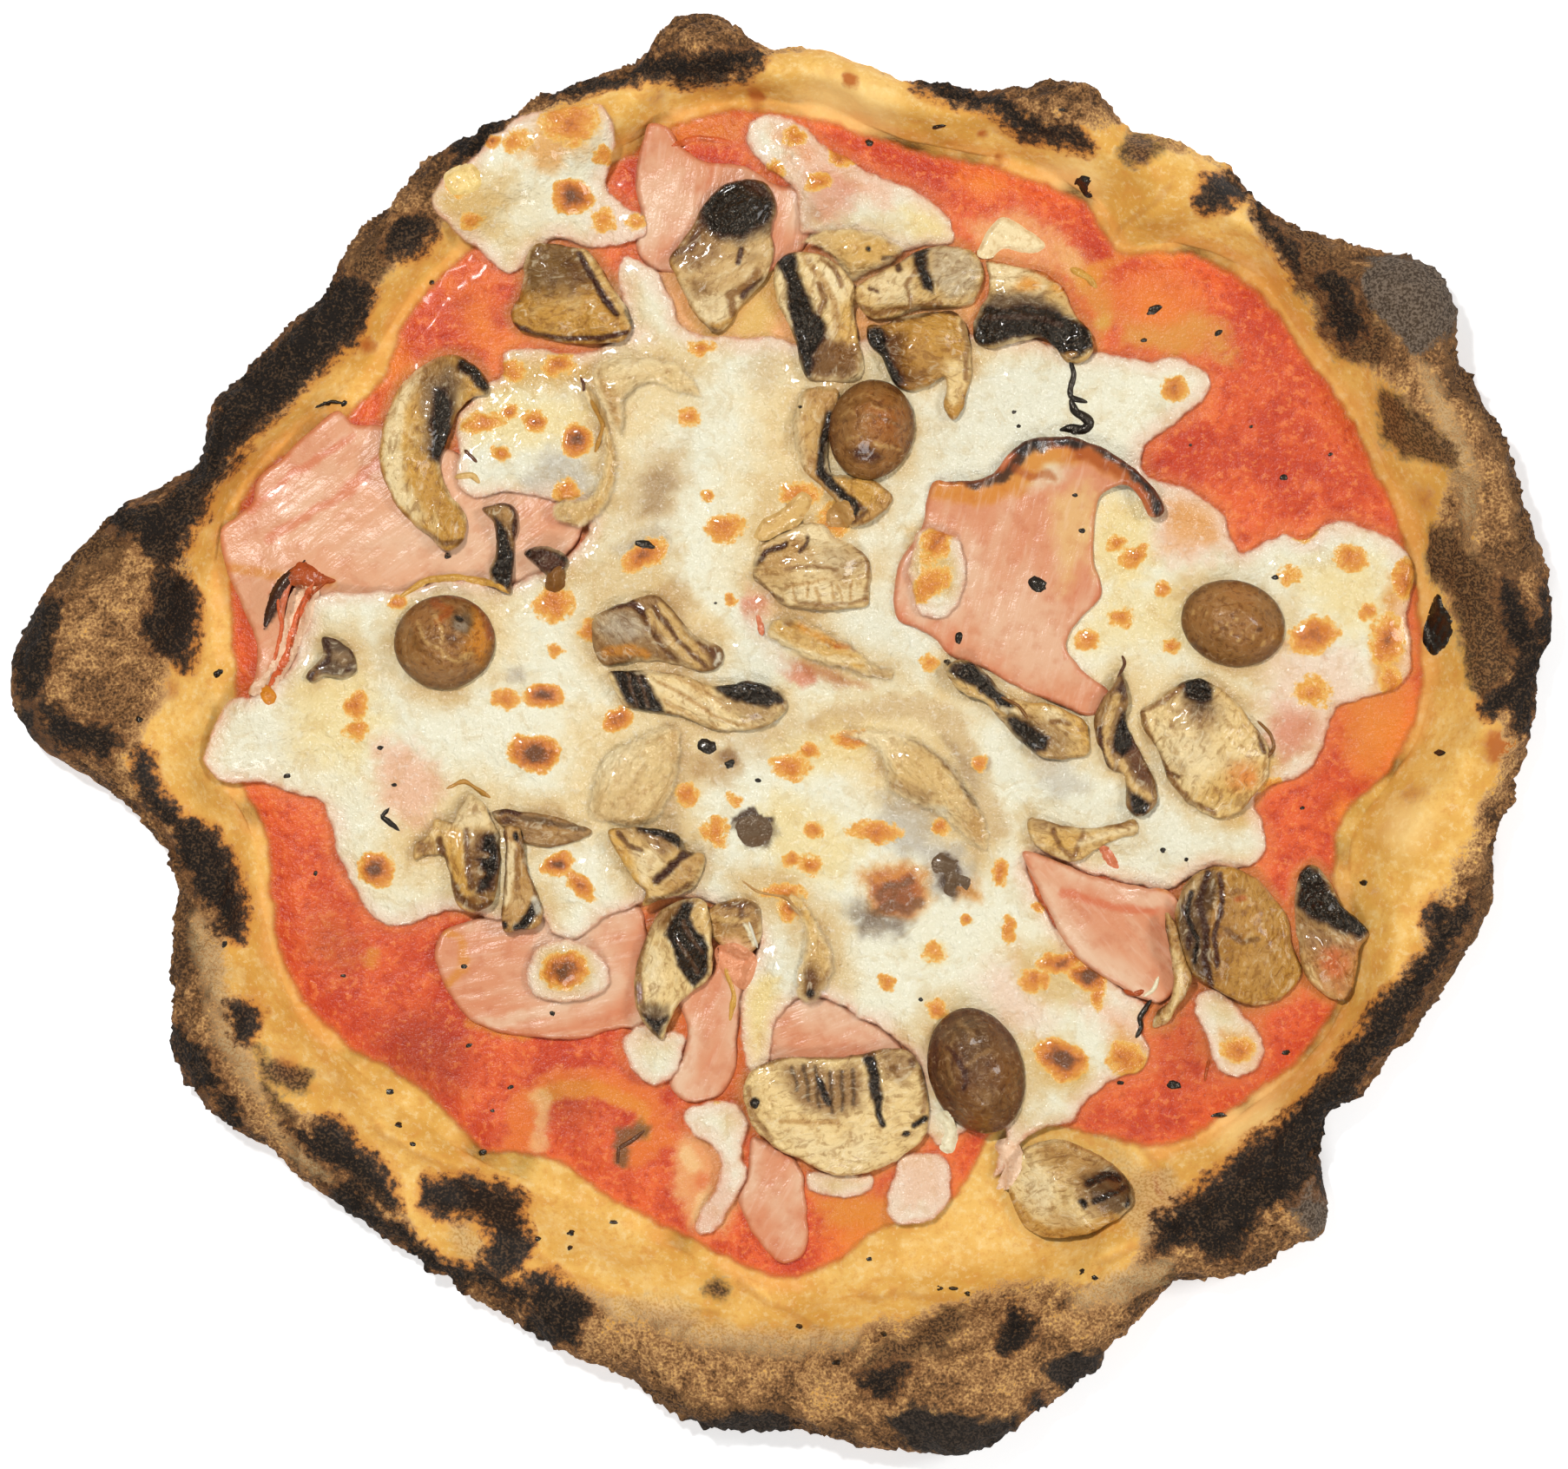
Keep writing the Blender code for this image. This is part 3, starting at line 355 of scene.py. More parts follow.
# how high the finished pieces reach, on a square grid
class Cover:
    def __init__(self, half=175.0, cell=0.5):
        self.half = half
        self.cell = cell
        side = int(2 * half / cell) + 1
        self.height = np.zeros((side, side))

    def add(self, x, y, z):
        column = np.rint((x + self.half) / self.cell).astype(int)
        row = np.rint((y + self.half) / self.cell).astype(int)
        fresh = np.zeros_like(self.height)
        np.maximum.at(fresh, (row, column), z)
        fresh = self.grown(fresh)
        self.height = np.maximum(self.height, fresh)
        for _ in range(3):
            fresh = self.grown(fresh)
        self.height = np.where(self.height > 0, self.height, fresh)

    # empty cells take the highest of their neighbours
    def grown(self, height):
        wide = height
        for dx, dy in ((1, 0), (-1, 0), (0, 1), (0, -1)):
            wide = np.maximum(wide, np.roll(height, (dy, dx), (0, 1)))
        return np.where(height > 0, height, wide)

    def at(self, x, y):
        return readGrid(self.height, (x + self.half) / self.cell, (y + self.half) / self.cell)


cover = Cover()


# a CAD slab's corners, with the triangles of its top and underside apart
def readSlab(node):
    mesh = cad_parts[node].data
    points = np.empty(len(mesh.vertices) * 3)
    mesh.vertices.foreach_get("co", points)
    points = np.round(points.reshape(-1, 3) / mm, 4)
    mesh.calc_loop_triangles()
    corners = np.empty(len(mesh.loop_triangles) * 3, np.int32)
    mesh.loop_triangles.foreach_get("vertices", corners)
    points, index = np.unique(points, axis=0, return_inverse=True)
    corners = index.ravel()[corners].reshape(-1, 3)
    a, b, c = (points[corners[:, k]] for k in range(3))
    normal = np.cross(b - a, c - a)
    rise = normal[:, 2] / np.maximum(np.linalg.norm(normal, axis=1), 1e-9)
    return points, corners[rise > 1e-3], corners[rise < -1e-3]


# the edges that only one triangle has
def borderOf(faces):
    edges = {(a, b) for t in faces.tolist() for a, b in ((t[0], t[1]), (t[1], t[2]), (t[2], t[0]))}
    return [(a, b) for a, b in edges if (b, a) not in edges]


# the places round a slab's top, in order
def outlineOf(points, top):
    after = dict(borderOf(top))
    start = max(after, key=lambda a: points[a][0])
    loop = [start]
    while after[loop[-1]] != start:
        loop.append(after[loop[-1]])
    return points[loop][:, :2]


# evenly spaced points on the smooth closed curve through a loop
def smoothLoop(loop, step):
    before, after, beyond = (np.roll(loop, shift, axis=0) for shift in (1, -1, -2))
    curve = [0.5 * (2 * loop + (after - before) * t + (2 * before - 5 * loop + 4 * after - beyond) * t ** 2
                    + (3 * loop - before - 3 * after + beyond) * t ** 3) for t in np.arange(0, 1, 0.1)]
    curve = np.stack(curve, axis=1).reshape(-1, 2)
    curve = np.vstack((curve, curve[:1]))
    along = np.concatenate(([0], np.cumsum(np.hypot(*np.diff(curve, axis=0).T))))
    at = np.linspace(0, along[-1], max(12, round(along[-1] / step)), endpoint=False)
    return np.stack((np.interp(at, along, curve[:, 0]), np.interp(at, along, curve[:, 1])), axis=1)


# how far each point is from the nearest point of a loop
def rimDistance(x, y, loop, batch=4000):
    result = np.empty(len(x))
    for k in range(0, len(x), batch):
        gap = (x[k:k + batch, None] - loop[:, 0]) ** 2 + (y[k:k + batch, None] - loop[:, 1]) ** 2
        result[k:k + batch] = np.sqrt(gap.min(axis=1))
    return result


# the outline's inside filled with small triangles: the loop's points come first
def fill(loop, step):
    rows = []
    ends = np.roll(loop, -1, axis=0)
    for row, y in enumerate(np.arange(loop[:, 1].min() + step / 2, loop[:, 1].max(), step * 0.866)):
        crosses = (loop[:, 1] > y) != (ends[:, 1] > y)
        a, b = loop[crosses], ends[crosses]
        meets = np.sort(a[:, 0] + (y - a[:, 1]) / (b[:, 1] - a[:, 1]) * (b[:, 0] - a[:, 0]))
        for x0, x1 in zip(meets[::2], meets[1::2]):
            first = math.ceil((x0 + step * 0.4) / step) * step + (step / 2 if row % 2 else 0)
            xs = np.arange(first, x1 - step * 0.4, step)
            rows.append(np.column_stack((xs, np.full(len(xs), y))))
    inner = np.vstack(rows) if rows else np.zeros((0, 2))
    inner = inner[rimDistance(inner[:, 0], inner[:, 1], loop) > 0.55 * step]
    places = [Vector(point) for point in np.vstack((loop, inner)).tolist()]
    flat, _, faces = delaunay_2d_cdt(places, [], [list(range(len(loop)))], 1, 1e-6)[:3]
    flat = np.array([tuple(point) for point in flat])
    faces = np.array([face for face in faces if len(face) == 3])
    a, b, c = (flat[faces[:, k]] for k in range(3))
    turn = (b[:, 0] - a[:, 0]) * (c[:, 1] - a[:, 1]) - (b[:, 1] - a[:, 1]) * (c[:, 0] - a[:, 0])
    faces[turn < 0] = faces[turn < 0][:, ::-1]
    return flat, faces


# points round the edges of every piece of one kind
def rimsOf(kind):
    loops = []
    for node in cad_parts:
        if node.startswith(kind):
            points, top, _ = readSlab(node)
            loops.append(smoothLoop(outlineOf(points, top), 1.2))
    return np.vstack(loops)


skirtDepth = 0.6  # how far a sheet's sides reach below its underside


# a finely meshed copy of a laid CAD piece, ready for relief and masks
class Sheet:
    def __init__(self, node, step, ragged, raggedSize, rounding, foot, soften):
        self.node = node
        points, top, under = readSlab(node)
        loop = smoothLoop(outlineOf(points, top), step)
        along = np.roll(loop, -1, axis=0) - np.roll(loop, 1, axis=0)
        outward = np.column_stack((along[:, 1], -along[:, 0])) / np.maximum(np.hypot(*along.T), 1e-6)[:, None]
        loop = loop + outward * (ragged * cloud(loop[:, 0], loop[:, 1], raggedSize, 3, 3))[:, None]
        flat, self.faces = fill(loop, step)
        self.x, self.y = flat[:, 0], flat[:, 1]
        self.rim = rimDistance(self.x, self.y, loop)
        self.rim[:len(loop)] = 0.0
        low, high = points.min(axis=0)[:2], points.max(axis=0)[:2]
        upper, lower = Relief(low, high), Relief(low, high)
        upper.draw(points[top])
        lower.draw(points[under])
        upper.soften(soften)
        lower.soften(soften)
        self.floor = lower.at(self.x, self.y)
        thick = upper.at(self.x, self.y) - self.floor
        near = np.clip(self.rim / rounding, 0, 1)
        self.z = self.floor + thick * (foot + (1 - foot) * np.sqrt(1 - (1 - near) ** 2))
        self.masks = {}

    # coordinates along and across the piece's grain
    def setGrain(self, degrees):
        c, s = math.cos(math.radians(degrees)), math.sin(math.radians(degrees))
        self.masks["grainAlong"] = self.x * c + self.y * s
        self.masks["grainAcross"] = self.y * c - self.x * s
        return self.masks["grainAlong"], self.masks["grainAcross"]

    def build(self, material):
        cover.add(self.x, self.y, self.z)
        border = borderOf(self.faces)
        ring = sorted({a for a, b in border})
        lowered = {a: len(self.x) + k for k, a in enumerate(ring)}
        walls = []
        for a, b in border:
            walls.append((a, lowered[a], lowered[b]))
            walls.append((a, lowered[b], b))
        points = np.column_stack((self.x, self.y, self.z))
        skirt = points[ring]
        skirt[:, 2] = self.floor[ring] - skirtDepth
        points = np.vstack((points, skirt))
        masks = {key: np.concatenate((value, value[ring])) for key, value in self.masks.items()}
        thing = addPiece(self.node + "_look", points, np.vstack((self.faces, walls)), masks, material)
        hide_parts(self.node)


# the food's own colours
palette = {
    "milk": (240, 236, 212), "whey": (233, 230, 208), "cream": (236, 210, 156), "pale": (226, 200, 150),
    "straw": (218, 184, 124),
    "beige": (208, 176, 126), "tan": (190, 150, 96), "honey": (212, 166, 88), "ochre": (190, 144, 76),
    "amber": (222, 146, 58), "rust": (176, 88, 38), "orange": (228, 120, 58),
    "fawn": (156, 124, 86), "hazel": (136, 98, 60), "umber": (102, 72, 46), "bark": (70, 48, 32),
    "soot": (38, 31, 26), "ash": (106, 92, 76), "slate": (100, 82, 62), "stone": (196, 178, 148),
    "mist": (184, 174, 160), "pearl": (222, 220, 208), "pink": (227, 160, 126), "rose": (216, 132, 100),
    "blush": (236, 184, 152), "shell": (240, 208, 184), "coral": (218, 112, 74), "red": (206, 78, 48),
    "olive": (160, 117, 74), "plum": (112, 82, 58), "ivory": (242, 226, 188), "butter": (240, 214, 146),
}


greyWeights = np.array((0.3, 0.59, 0.11))
reliefSpan = 150  # how much darker or paler than its base a mark is where its relief is full


# colours laid on a piece's points, one mark over another
class Paint:
    def __init__(self, x, y, base, wander=0.5):
        self.x = x + wander * cloud(x, y, 3.0, 61, 3)
        self.y = y + wander * cloud(x, y, 3.0, 62, 3)
        self.grain = cloud(x, y, 1.6, 63, 3)
        self.base = base
        self.colour = np.tile(np.array(palette[base], float), (len(x), 1))
        self.covered = np.zeros(len(x))

    def lay(self, colour, amount):
        amount = np.clip(amount, 0, 1)
        self.colour += (np.array(palette[colour], float) - self.colour) * amount[:, None]
        self.covered += (1 - self.covered) * amount

    # a mark is its kind, colour, size, strength and points; size is an area's softness or a line's half
    # width in mm, or the share of a dot that fades; a dot has x, y, half length, half width and turn
    def marks(self, marks):
        for kind, colour, size, strength, points in marks:
            if kind == "area":
                value = area(self.x, self.y, points, 2 * size)
                amount = ramp(0.2, 0.8, value + 0.3 * self.grain * np.sqrt(value * (1 - value)))
            elif kind == "line":
                value = ribbon(self.x, self.y, points, 1.7 * size)
                amount = ramp(0.0, 0.65, value * (1 + 0.5 * self.grain))
            else:
                value = spots(self.x, self.y, [(*points, 1.0)])
                amount = ramp(0.0, size, value * (1 + 0.6 * self.grain))
            self.lay(colour, strength * amount)

    def brightness(self):
        return self.colour @ greyWeights

    # how far dark marks sink below the base and pale ones stand over it, in mm
    def relief(self, depth):
        level = np.array(palette[self.base], float) @ greyWeights
        return np.clip(depth * (self.brightness() - level) / reliefSpan, -depth, 0.5 * depth)

    # linear values for a colour attribute, tinted, less what the wet surface's shine will add
    def result(self, tint=(1.0, 1.0, 1.0), shine=(0.0, 0.0, 0.0)):
        part = np.clip(self.colour, 0, 255) / 255
        linear = np.where(part <= 0.04045, part / 12.92, ((part + 0.055) / 1.055) ** 2.4)
        linear = linear * tint
        linear = np.clip(np.maximum(linear - np.array(shine), 0.4 * linear), 0.003, 1)
        return np.column_stack((linear, np.ones(len(linear))))


# the dough's sizes; outer, foot and crest go round the rim as (degree, mm) pairs
dough = {
    "floor": 4.2,
    "crestAt": 0.60,  # share of the rim's width
    "widestAt": 0.42,  # share of the crest's height
    "undercut": 0.62,
    "lumpSize": 15,
    "lumpHeight": 1.5,
    "waver": 2.6,  # how far the baked places wander
    "waverSize": 9,
    "inset": 0.05,  # clear of the CAD box all round
    "headroom": 0.1,
    "spokes": 1600,
    "steps": (22, 20, 10),  # up to the crest, down to the widest place, tucked under
    "outer": (
        (0, 160.2), (5, 163.5), (9, 167), (14, 166), (20, 167), (26, 166.5), (30, 166), (33, 171.5),
        (36, 171), (39, 163.5), (42, 158.5), (48, 153.7), (52, 154.6), (56, 152.5), (60, 149.7),
        (64.5, 153.6), (68, 150.5), (72, 145.4), (78, 142.8), (87, 147.4), (91, 147.5), (97.5, 156),
        (102, 147.5), (108, 146.6), (114, 144.1), (120, 144.9), (126, 141.1), (135, 136.8), (144, 137.2),
        (149.5, 140.8), (156, 138.5), (160, 147.5), (166, 156), (172, 163.5), (175, 165.6), (178, 163.5),
        (181, 157.5), (185, 143), (190, 135.2), (196, 134), (202, 140), (209, 147.2), (214.5, 145),
        (222, 139.3), (230, 137.6), (240, 135.9), (248, 138.6), (256, 141), (264, 148.8), (272, 148.6),
        (278, 153.5), (285, 158.8), (292, 154), (300, 147.5), (306, 145.1), (311, 152.3), (315, 154),
        (317.5, 157.5), (320, 152), (322.5, 145.2), (330, 146.7), (338, 150.8), (346, 156), (352, 154.5),
        (357, 157.5)),
    "foot": (
        (0, 137), (12, 142), (25, 142), (36, 141), (46, 141), (51, 136), (55, 128), (59, 133), (66, 133),
        (78, 131), (88, 135), (97, 136), (105, 131), (115, 128), (125, 125), (132, 122), (140, 118),
        (150, 124), (158, 128), (166, 125), (175, 121), (184, 120), (192, 115), (198, 117), (210, 119),
        (218, 116), (225, 113), (235, 112), (240, 110), (250, 110), (262, 114), (272, 119), (281, 118),
        (291, 121), (299, 123), (306, 119), (312, 122), (322, 129), (335, 134), (344, 127), (350, 125)),
    "crest": (
        (0, 17), (12, 20), (34, 21), (50, 15), (66, 16), (80, 12.5), (97, 15), (112, 10.5), (128, 12),
        (145, 14), (160, 17), (174, 20), (187, 15), (200, 15), (214, 17), (234, 14), (250, 16), (270, 18),
        (286, 21), (300, 18), (317, 16), (335, 15), (350, 16)),
    "blisters": (  # x, y, reach, height
        (-146, 18, 22, 3), (-138, 45, 8, 3), (136, 96, 12, 3), (62, 133, 10, 2.5), (-17, 146, 9, 3),
        (93, 116, 8, 2), (-63, -107, 10, 3), (-47, -122, 9, 2), (151, 0, 7, 3), (36, -145, 13, 2.5),
        (66, -131, 9, 2), (-124, -69, 9, 2.5), (135, 67, 10, 2), (-119, 68, 9, 2), (117, -96, 7, 2),
        (157, 20, 8, -5), (156, 11, 7, -4), (113, -90, 6, -4), (146, 50, 9, -2), (-121, -48, 9, -3),
        (-106, -84, 9, -2.5), (0, -128, 12, -2.5), (-24, -122, 10, -2), (74, 116, 8, -3)),
}

# how the rim is baked; places are outlines of (degree, radius) points
baking = {
    "softness": {"char": 3.4, "dark": 2.5, "grey": 2.5, "flour": 2.5, "stone": 2},
    "brown": 0.54,
    "brownerOutside": 0.24,
    "brownFrom": (  # radius from which the crust is speckled brown
        (0, 156), (3, 150), (8, 146.5), (15, 145), (18, 147), (20, 152), (24, 153), (29, 150), (33, 146),
        (36, 144.5), (41, 146), (46, 148), (50, 152), (53, 156), (57, 152), (60, 150), (63, 145), (66, 142),
        (70, 140.5), (75, 141), (79, 144), (84, 148), (89, 148), (92, 143), (96, 140), (99, 142), (103, 144),
        (108, 144), (112, 143.5), (117, 140), (122, 134), (126, 131), (130, 131), (134, 127.5), (139, 125.5),
        (146, 126.5), (150, 130), (155, 132), (159, 135), (162, 134), (165, 131), (170, 129), (174, 132),
        (178, 135), (182, 139), (186, 134), (189, 125), (193, 122), (198, 123), (202, 128), (206, 129),
        (211, 133), (216, 132), (220, 128), (226, 126.5), (230, 129), (234, 132), (238, 133), (243, 131),
        (249, 126), (255, 126), (262, 127), (270, 128.5), (276, 129), (281, 127), (288, 127), (293, 128),
        (297, 131), (303, 136), (307, 130), (310, 133), (317, 137), (325, 136.5), (331, 140), (338, 141.5),
        (344, 144), (350, 147), (355, 152)),
    "sauceEdge": (
        (0, 137), (12, 142), (25, 142), (36, 141), (46, 141), (51, 136), (55, 128), (59, 133), (66, 133),
        (78, 131), (88, 135), (97, 136), (105, 131), (115, 128), (125, 125), (132, 122), (140, 116),
        (150, 124), (158, 128), (166, 124), (175, 119), (184, 119), (192, 114), (198, 117), (210, 119),
        (218, 115), (225, 110), (235, 111), (240, 106), (250, 108), (262, 113), (272, 118.5), (281, 110),
        (292, 107), (299, 99), (305, 104), (312, 121), (322, 129), (335, 134), (344, 126), (350, 123)),
    "char": (
        ((0, 158), (0, 161), (3, 163), (6, 166), (8, 167.5), (11, 168), (10, 165), (7, 163), (9, 162),
            (12, 158),
         (11, 154.5), (8, 156), (7, 158), (5, 158), (3.5, 155), (2.5, 150), (1.5, 152), (2, 156)),
        ((35, 146), (37, 147), (39, 150), (41, 150), (41, 154), (39, 155), (37, 153), (35, 152)),
        ((42, 147), (45, 149), (49, 152), (49, 153.5), (46, 152), (43, 151)),
        ((50, 153), (51, 153.5), (52, 151), (51.5, 146), (50.5, 145), (50, 147), (49.5, 150)),
        ((62, 141), (64, 143), (67, 143), (70, 143.5), (73, 144), (76, 144), (78, 143), (76, 141.5),
            (73, 140.8),
         (70, 140), (67, 140), (64, 140)),
        ((91.5, 144.5), (94, 145.5), (97, 146.5), (99, 147), (101, 146), (104, 146.5), (108, 146.5),
            (110, 146),
         (108, 144.5), (104, 144), (101, 143), (99, 142.5), (97, 142), (95, 141.5), (93, 142.5)),
        ((113, 145), (116, 146), (118, 146), (120, 145), (120, 141), (118, 139), (116, 138), (115.5, 141),
         (114.5, 143)),
        ((124, 135), (126, 136), (128, 135.5), (129, 133), (128, 131), (126.5, 130), (125, 132)),
        ((133, 137), (137, 137.5), (140, 136), (143, 137), (146, 138), (149, 139), (152, 139.5), (156, 139),
         (159, 141), (160, 144), (161, 150), (163, 150), (163, 145), (164, 141), (164.5, 137), (162, 134),
         (159, 133.5), (156, 134), (153, 131), (150, 130), (147, 128), (143, 126), (139, 125), (136, 125.5),
         (134, 128), (132, 131), (132.5, 134)),
        ((165, 137), (167, 138), (168, 136), (169.5, 138), (171, 137), (172, 135), (173, 131), (173.5, 128),
         (172, 127), (170, 127.5), (168.5, 128), (167, 129), (165.5, 132)),
        ((169, 156), (170, 161), (172, 164), (174, 166), (176, 164), (177, 160), (176, 157), (174, 156),
         (172, 157)),
        ((177.5, 157), (179.5, 157.5), (181, 155), (181, 148), (182, 145), (181, 142), (179.5, 144),
            (179, 149),
         (178, 153)),
        ((181.5, 138), (184, 138), (186, 136), (188, 134), (189, 131), (190, 130), (190.5, 128), (189, 128),
         (187.5, 131), (186, 133), (184, 134.5), (182, 135.5)),
        ((189, 131), (191, 131.5), (193, 130), (195, 130), (197, 128), (199.5, 126.5), (201, 124),
            (199.5, 122),
         (197, 120.5), (194, 121), (192, 121.5), (190, 123), (189, 127)),
        ((206, 130), (207.5, 132.5), (209, 133), (209.5, 130), (208.5, 127.5), (207, 128)),
        ((205, 143), (207, 146), (209, 148), (211, 147), (212, 144), (211.5, 141), (210, 142), (208, 141),
         (206, 141.5)),
        ((213, 144), (214.5, 146), (216, 145), (216, 142.5), (214, 141.5), (213, 142)),
        ((219, 134), (221, 134.5), (223, 133), (225, 131), (228, 130), (231, 130), (229.5, 127), (227, 126),
         (224, 125), (221, 126), (220, 128), (221, 131)),
        ((225, 139), (227, 140), (230, 138), (233, 137), (236, 137), (240, 136), (240, 132), (237, 133),
            (234, 133),
         (231, 134), (228, 132), (226, 132), (225.5, 135)),
        ((231.5, 121.5), (234.4, 117), (238.3, 114), (241.5, 116), (243.5, 121), (243.5, 127), (242, 130),
         (240.5, 128), (240, 123), (238, 121), (235.5, 123), (232.5, 125)),
        ((240, 133), (243, 134), (246, 133), (246, 130), (243, 131), (240, 130)),
        ((247, 139), (250, 139), (251.5, 137), (251, 133), (251.5, 129), (249.5, 127), (247, 125),
            (245.5, 126),
         (246, 129), (247, 133)),
        ((277, 139), (278.5, 143), (279.5, 144), (280.5, 140), (282, 138), (281, 137), (279, 137)),
        ((289.5, 140), (291, 141), (292, 140), (293.5, 136), (293, 133), (292, 131), (291, 133), (290, 137)),
        ((306, 135), (308, 137), (309, 138), (310, 135), (309, 131.5), (307.5, 131), (306.5, 133)),
        ((309, 140), (310, 146), (312, 147), (315, 144), (317, 147), (320, 147), (322, 146), (325, 144),
         (328, 144.5), (331, 145.5), (334, 147), (338, 148), (342, 150), (345, 152), (347, 151), (345, 148),
         (341, 145), (338, 142), (335, 140), (331, 139), (328, 138), (325, 136), (320, 134), (315, 133.5),
         (311, 131.5), (309, 133)),
        ((343, 147), (345, 147.5), (346, 145), (345, 142.5), (344, 143)),
        ((320, 154), (321.5, 152), (322, 147), (323.5, 145), (322, 144.5), (320.5, 147), (319.5, 151)),
        ((290.2, 157), (291, 157), (291.2, 153), (290.5, 151.5), (289.8, 154)),
    ),
    "dark": (
        ((32, 148), (34, 144.5), (37, 145), (39, 147), (42, 146), (45, 149), (46, 153), (43, 157), (39, 158),
         (36, 156), (33, 154)),
        ((3, 150), (5, 147), (8, 146), (12, 146), (16, 145), (18, 147), (17, 151), (14, 154), (12, 158),
            (13, 160),
         (9, 160), (6, 157), (3, 153)),
        ((22, 155.5), (24, 156), (26, 154), (28, 151), (30, 148), (28, 146), (26, 145), (24, 147), (23, 150),
         (22, 153)),
        ((57, 151), (59, 150), (60, 148), (59.5, 143.5), (58.5, 143), (57.5, 145), (57, 148)),
        ((129, 138), (132, 137), (133, 132), (130, 131), (128, 134)),
        ((212, 132), (214, 132.5), (216, 130), (217, 126), (216, 124.5), (214.5, 126), (213, 129)),
        ((277, 138), (280, 137), (283, 135), (285, 136), (287, 133), (288, 130), (286, 129), (282, 131),
         (279, 133), (277, 136)),
        ((330, 147), (333, 149.5), (336, 150), (335, 147), (332, 146)),
        ((262, 121), (264, 120.5), (265, 118.5), (263, 118), (262.3, 119)),
        ((210, 131), (214, 134), (219, 134), (219, 131.5), (214, 132.5), (211, 130)),
        ((159, 140), (162, 141), (168, 156), (166, 157), (163, 151)),
        ((13, 166), (20, 167), (30, 166), (30, 163), (20, 164), (13, 163)),
        ((255, 141), (262, 146), (270, 149), (276, 152), (276, 148), (268, 145), (260, 142)),
        ((335, 149), (345, 155), (352, 154), (350, 152), (345, 153), (338, 149)),
    ),
    "grey": (
        ((134, 134), (135, 138), (139, 138), (140, 134), (137, 133)),
        ((176, 160), (177, 162), (180, 161), (180.5, 157), (177.5, 157.5)),
        ((160, 141), (161, 150), (163, 149), (163, 144), (162, 141)),
        ((279, 149), (281, 155), (284, 160), (288, 158), (289, 153), (286, 152), (284, 149), (281, 146)),
        ((293, 148), (294, 153), (296, 152), (298, 148.5), (296, 146), (294, 146)),
        ((206, 143), (208, 147), (210, 148), (212, 146), (210, 144)),
        ((262, 147), (265, 150), (271, 150), (270, 147), (265, 146)),
    ),
    "stone": (
        ((31, 158), (31, 167), (33.5, 174), (35.5, 174), (37.5, 169), (39, 162), (38, 157), (36, 156),
            (33, 156)),
        ((317, 147), (317, 156), (321, 157), (324, 152), (322, 147), (319, 145)),
    ),
    # painted light: pale places where the rim's slope lies in shade; these and the browned places are degree,
    # radius, half width along the rim and across it, strength
    "light": ((84, 135, 16, 11, 1), (62, 134, 10, 6, 0.7), (321, 129, 12, 9, 0.9), (352, 136, 10, 7, 0.7)),
    "flour": (
        ((62, 142), (66, 144), (68, 142), (66, 140.5), (63, 141)),
        ((197, 131), (199, 134), (203, 134), (206, 132), (208, 131), (206, 128), (202, 127.5), (198, 129)),
        ((205, 134), (209, 138), (213, 137), (216, 136), (213, 134), (208, 132)),
        ((14, 153), (20, 158), (28, 160), (31, 157), (27, 155.5), (20, 154)),
        ((250, 126), (258, 130), (266, 132), (277, 132), (277, 128), (268, 126), (258, 123)),
        ((297, 137), (302, 142), (306, 143), (307, 139), (303, 135), (298, 134)),
        ((217, 136), (222, 138), (225, 136), (222, 134)),
        ((235, 125), (238, 130), (241, 131), (239.5, 125), (237.5, 123)),
        ((305, 122), (309, 119), (312, 126), (310, 135), (305, 133)),
        ((41, 147), (46, 150), (49, 149), (45, 147)),
    ),
    # creases in the golden part: x, y points
    "folds": (
        ((64, 94), (70, 102), (76, 110), (82, 118)), ((-52, -112), (-40, -118), (-28, -122), (-14, -124)),
        ((-44, -121), (-30, -128), (-12, -131), (8, -131)), ((-9, -118), (-3, -122), (8, -126)),
        ((98, -106), (102, -113)), ((79, -91), (83, -97), (89, -101)), ((68, -112), (77, -109), (84, -103)),
        ((-66, -96), (-78, -89), (-86, -84)), ((16, -120), (40, -122), (58, -118)),
        ((-118, -56), (-122, -48), (-123, -38))),
    "blush": (
        (84, 141.5, 3.5, 3, 0.9), (92.5, 138.5, 2.5, 2.5, 0.9), (108, 138, 3, 4, 0.8), (359, 154, 5, 6, 1),
        (69, 132.5, 2, 1.6, 0.8), (71.5, 136, 1.6, 1.2, 0.7), (355, 137, 3, 4, 0.5), (175, 132, 4, 4, 0.5),
        (280, 133, 6, 4, 0.6), (58, 146, 4, 4, 0.6), (20, 147.5, 5, 5, 0.4),
        (214, 128, 6, 4, 0.7), (101, 139, 4, 3, 0.3), (345, 131, 3, 3, 0.3), (308, 131, 3, 3, 0.5),
        (136.5, 122, 3, 3, 0.7), (310, 127, 1.2, 5, 0.8), (299, 133, 1.6, 1.6, 0.5)),
}


mmPerDegree = 2.5


# outlines of (degree, radius) points, laid out flat
def polarAreas(degrees, radius, outlines, soft):
    result = np.zeros_like(radius)
    for outline in outlines:
        middle = np.mean([point[0] for point in outline])
        turn = (degrees - middle + 180) % 360 - 180
        flat = [((angle - middle) * mmPerDegree, r) for angle, r in outline]
        result = np.maximum(result, area(turn * mmPerDegree, radius, flat, soft))
    return result


# round spots: degree, radius, half width along and across, strength
def polarSpots(degrees, radius, marks):
    best = np.zeros_like(radius)
    for angle, middle, along, across, strength in marks:
        turn = (degrees - angle + 180) % 360 - 180
        u = np.radians(turn) * middle / along
        value = strength * (1 - np.hypot(u, (radius - middle) / across))
        best = np.maximum(best, value)
    return best


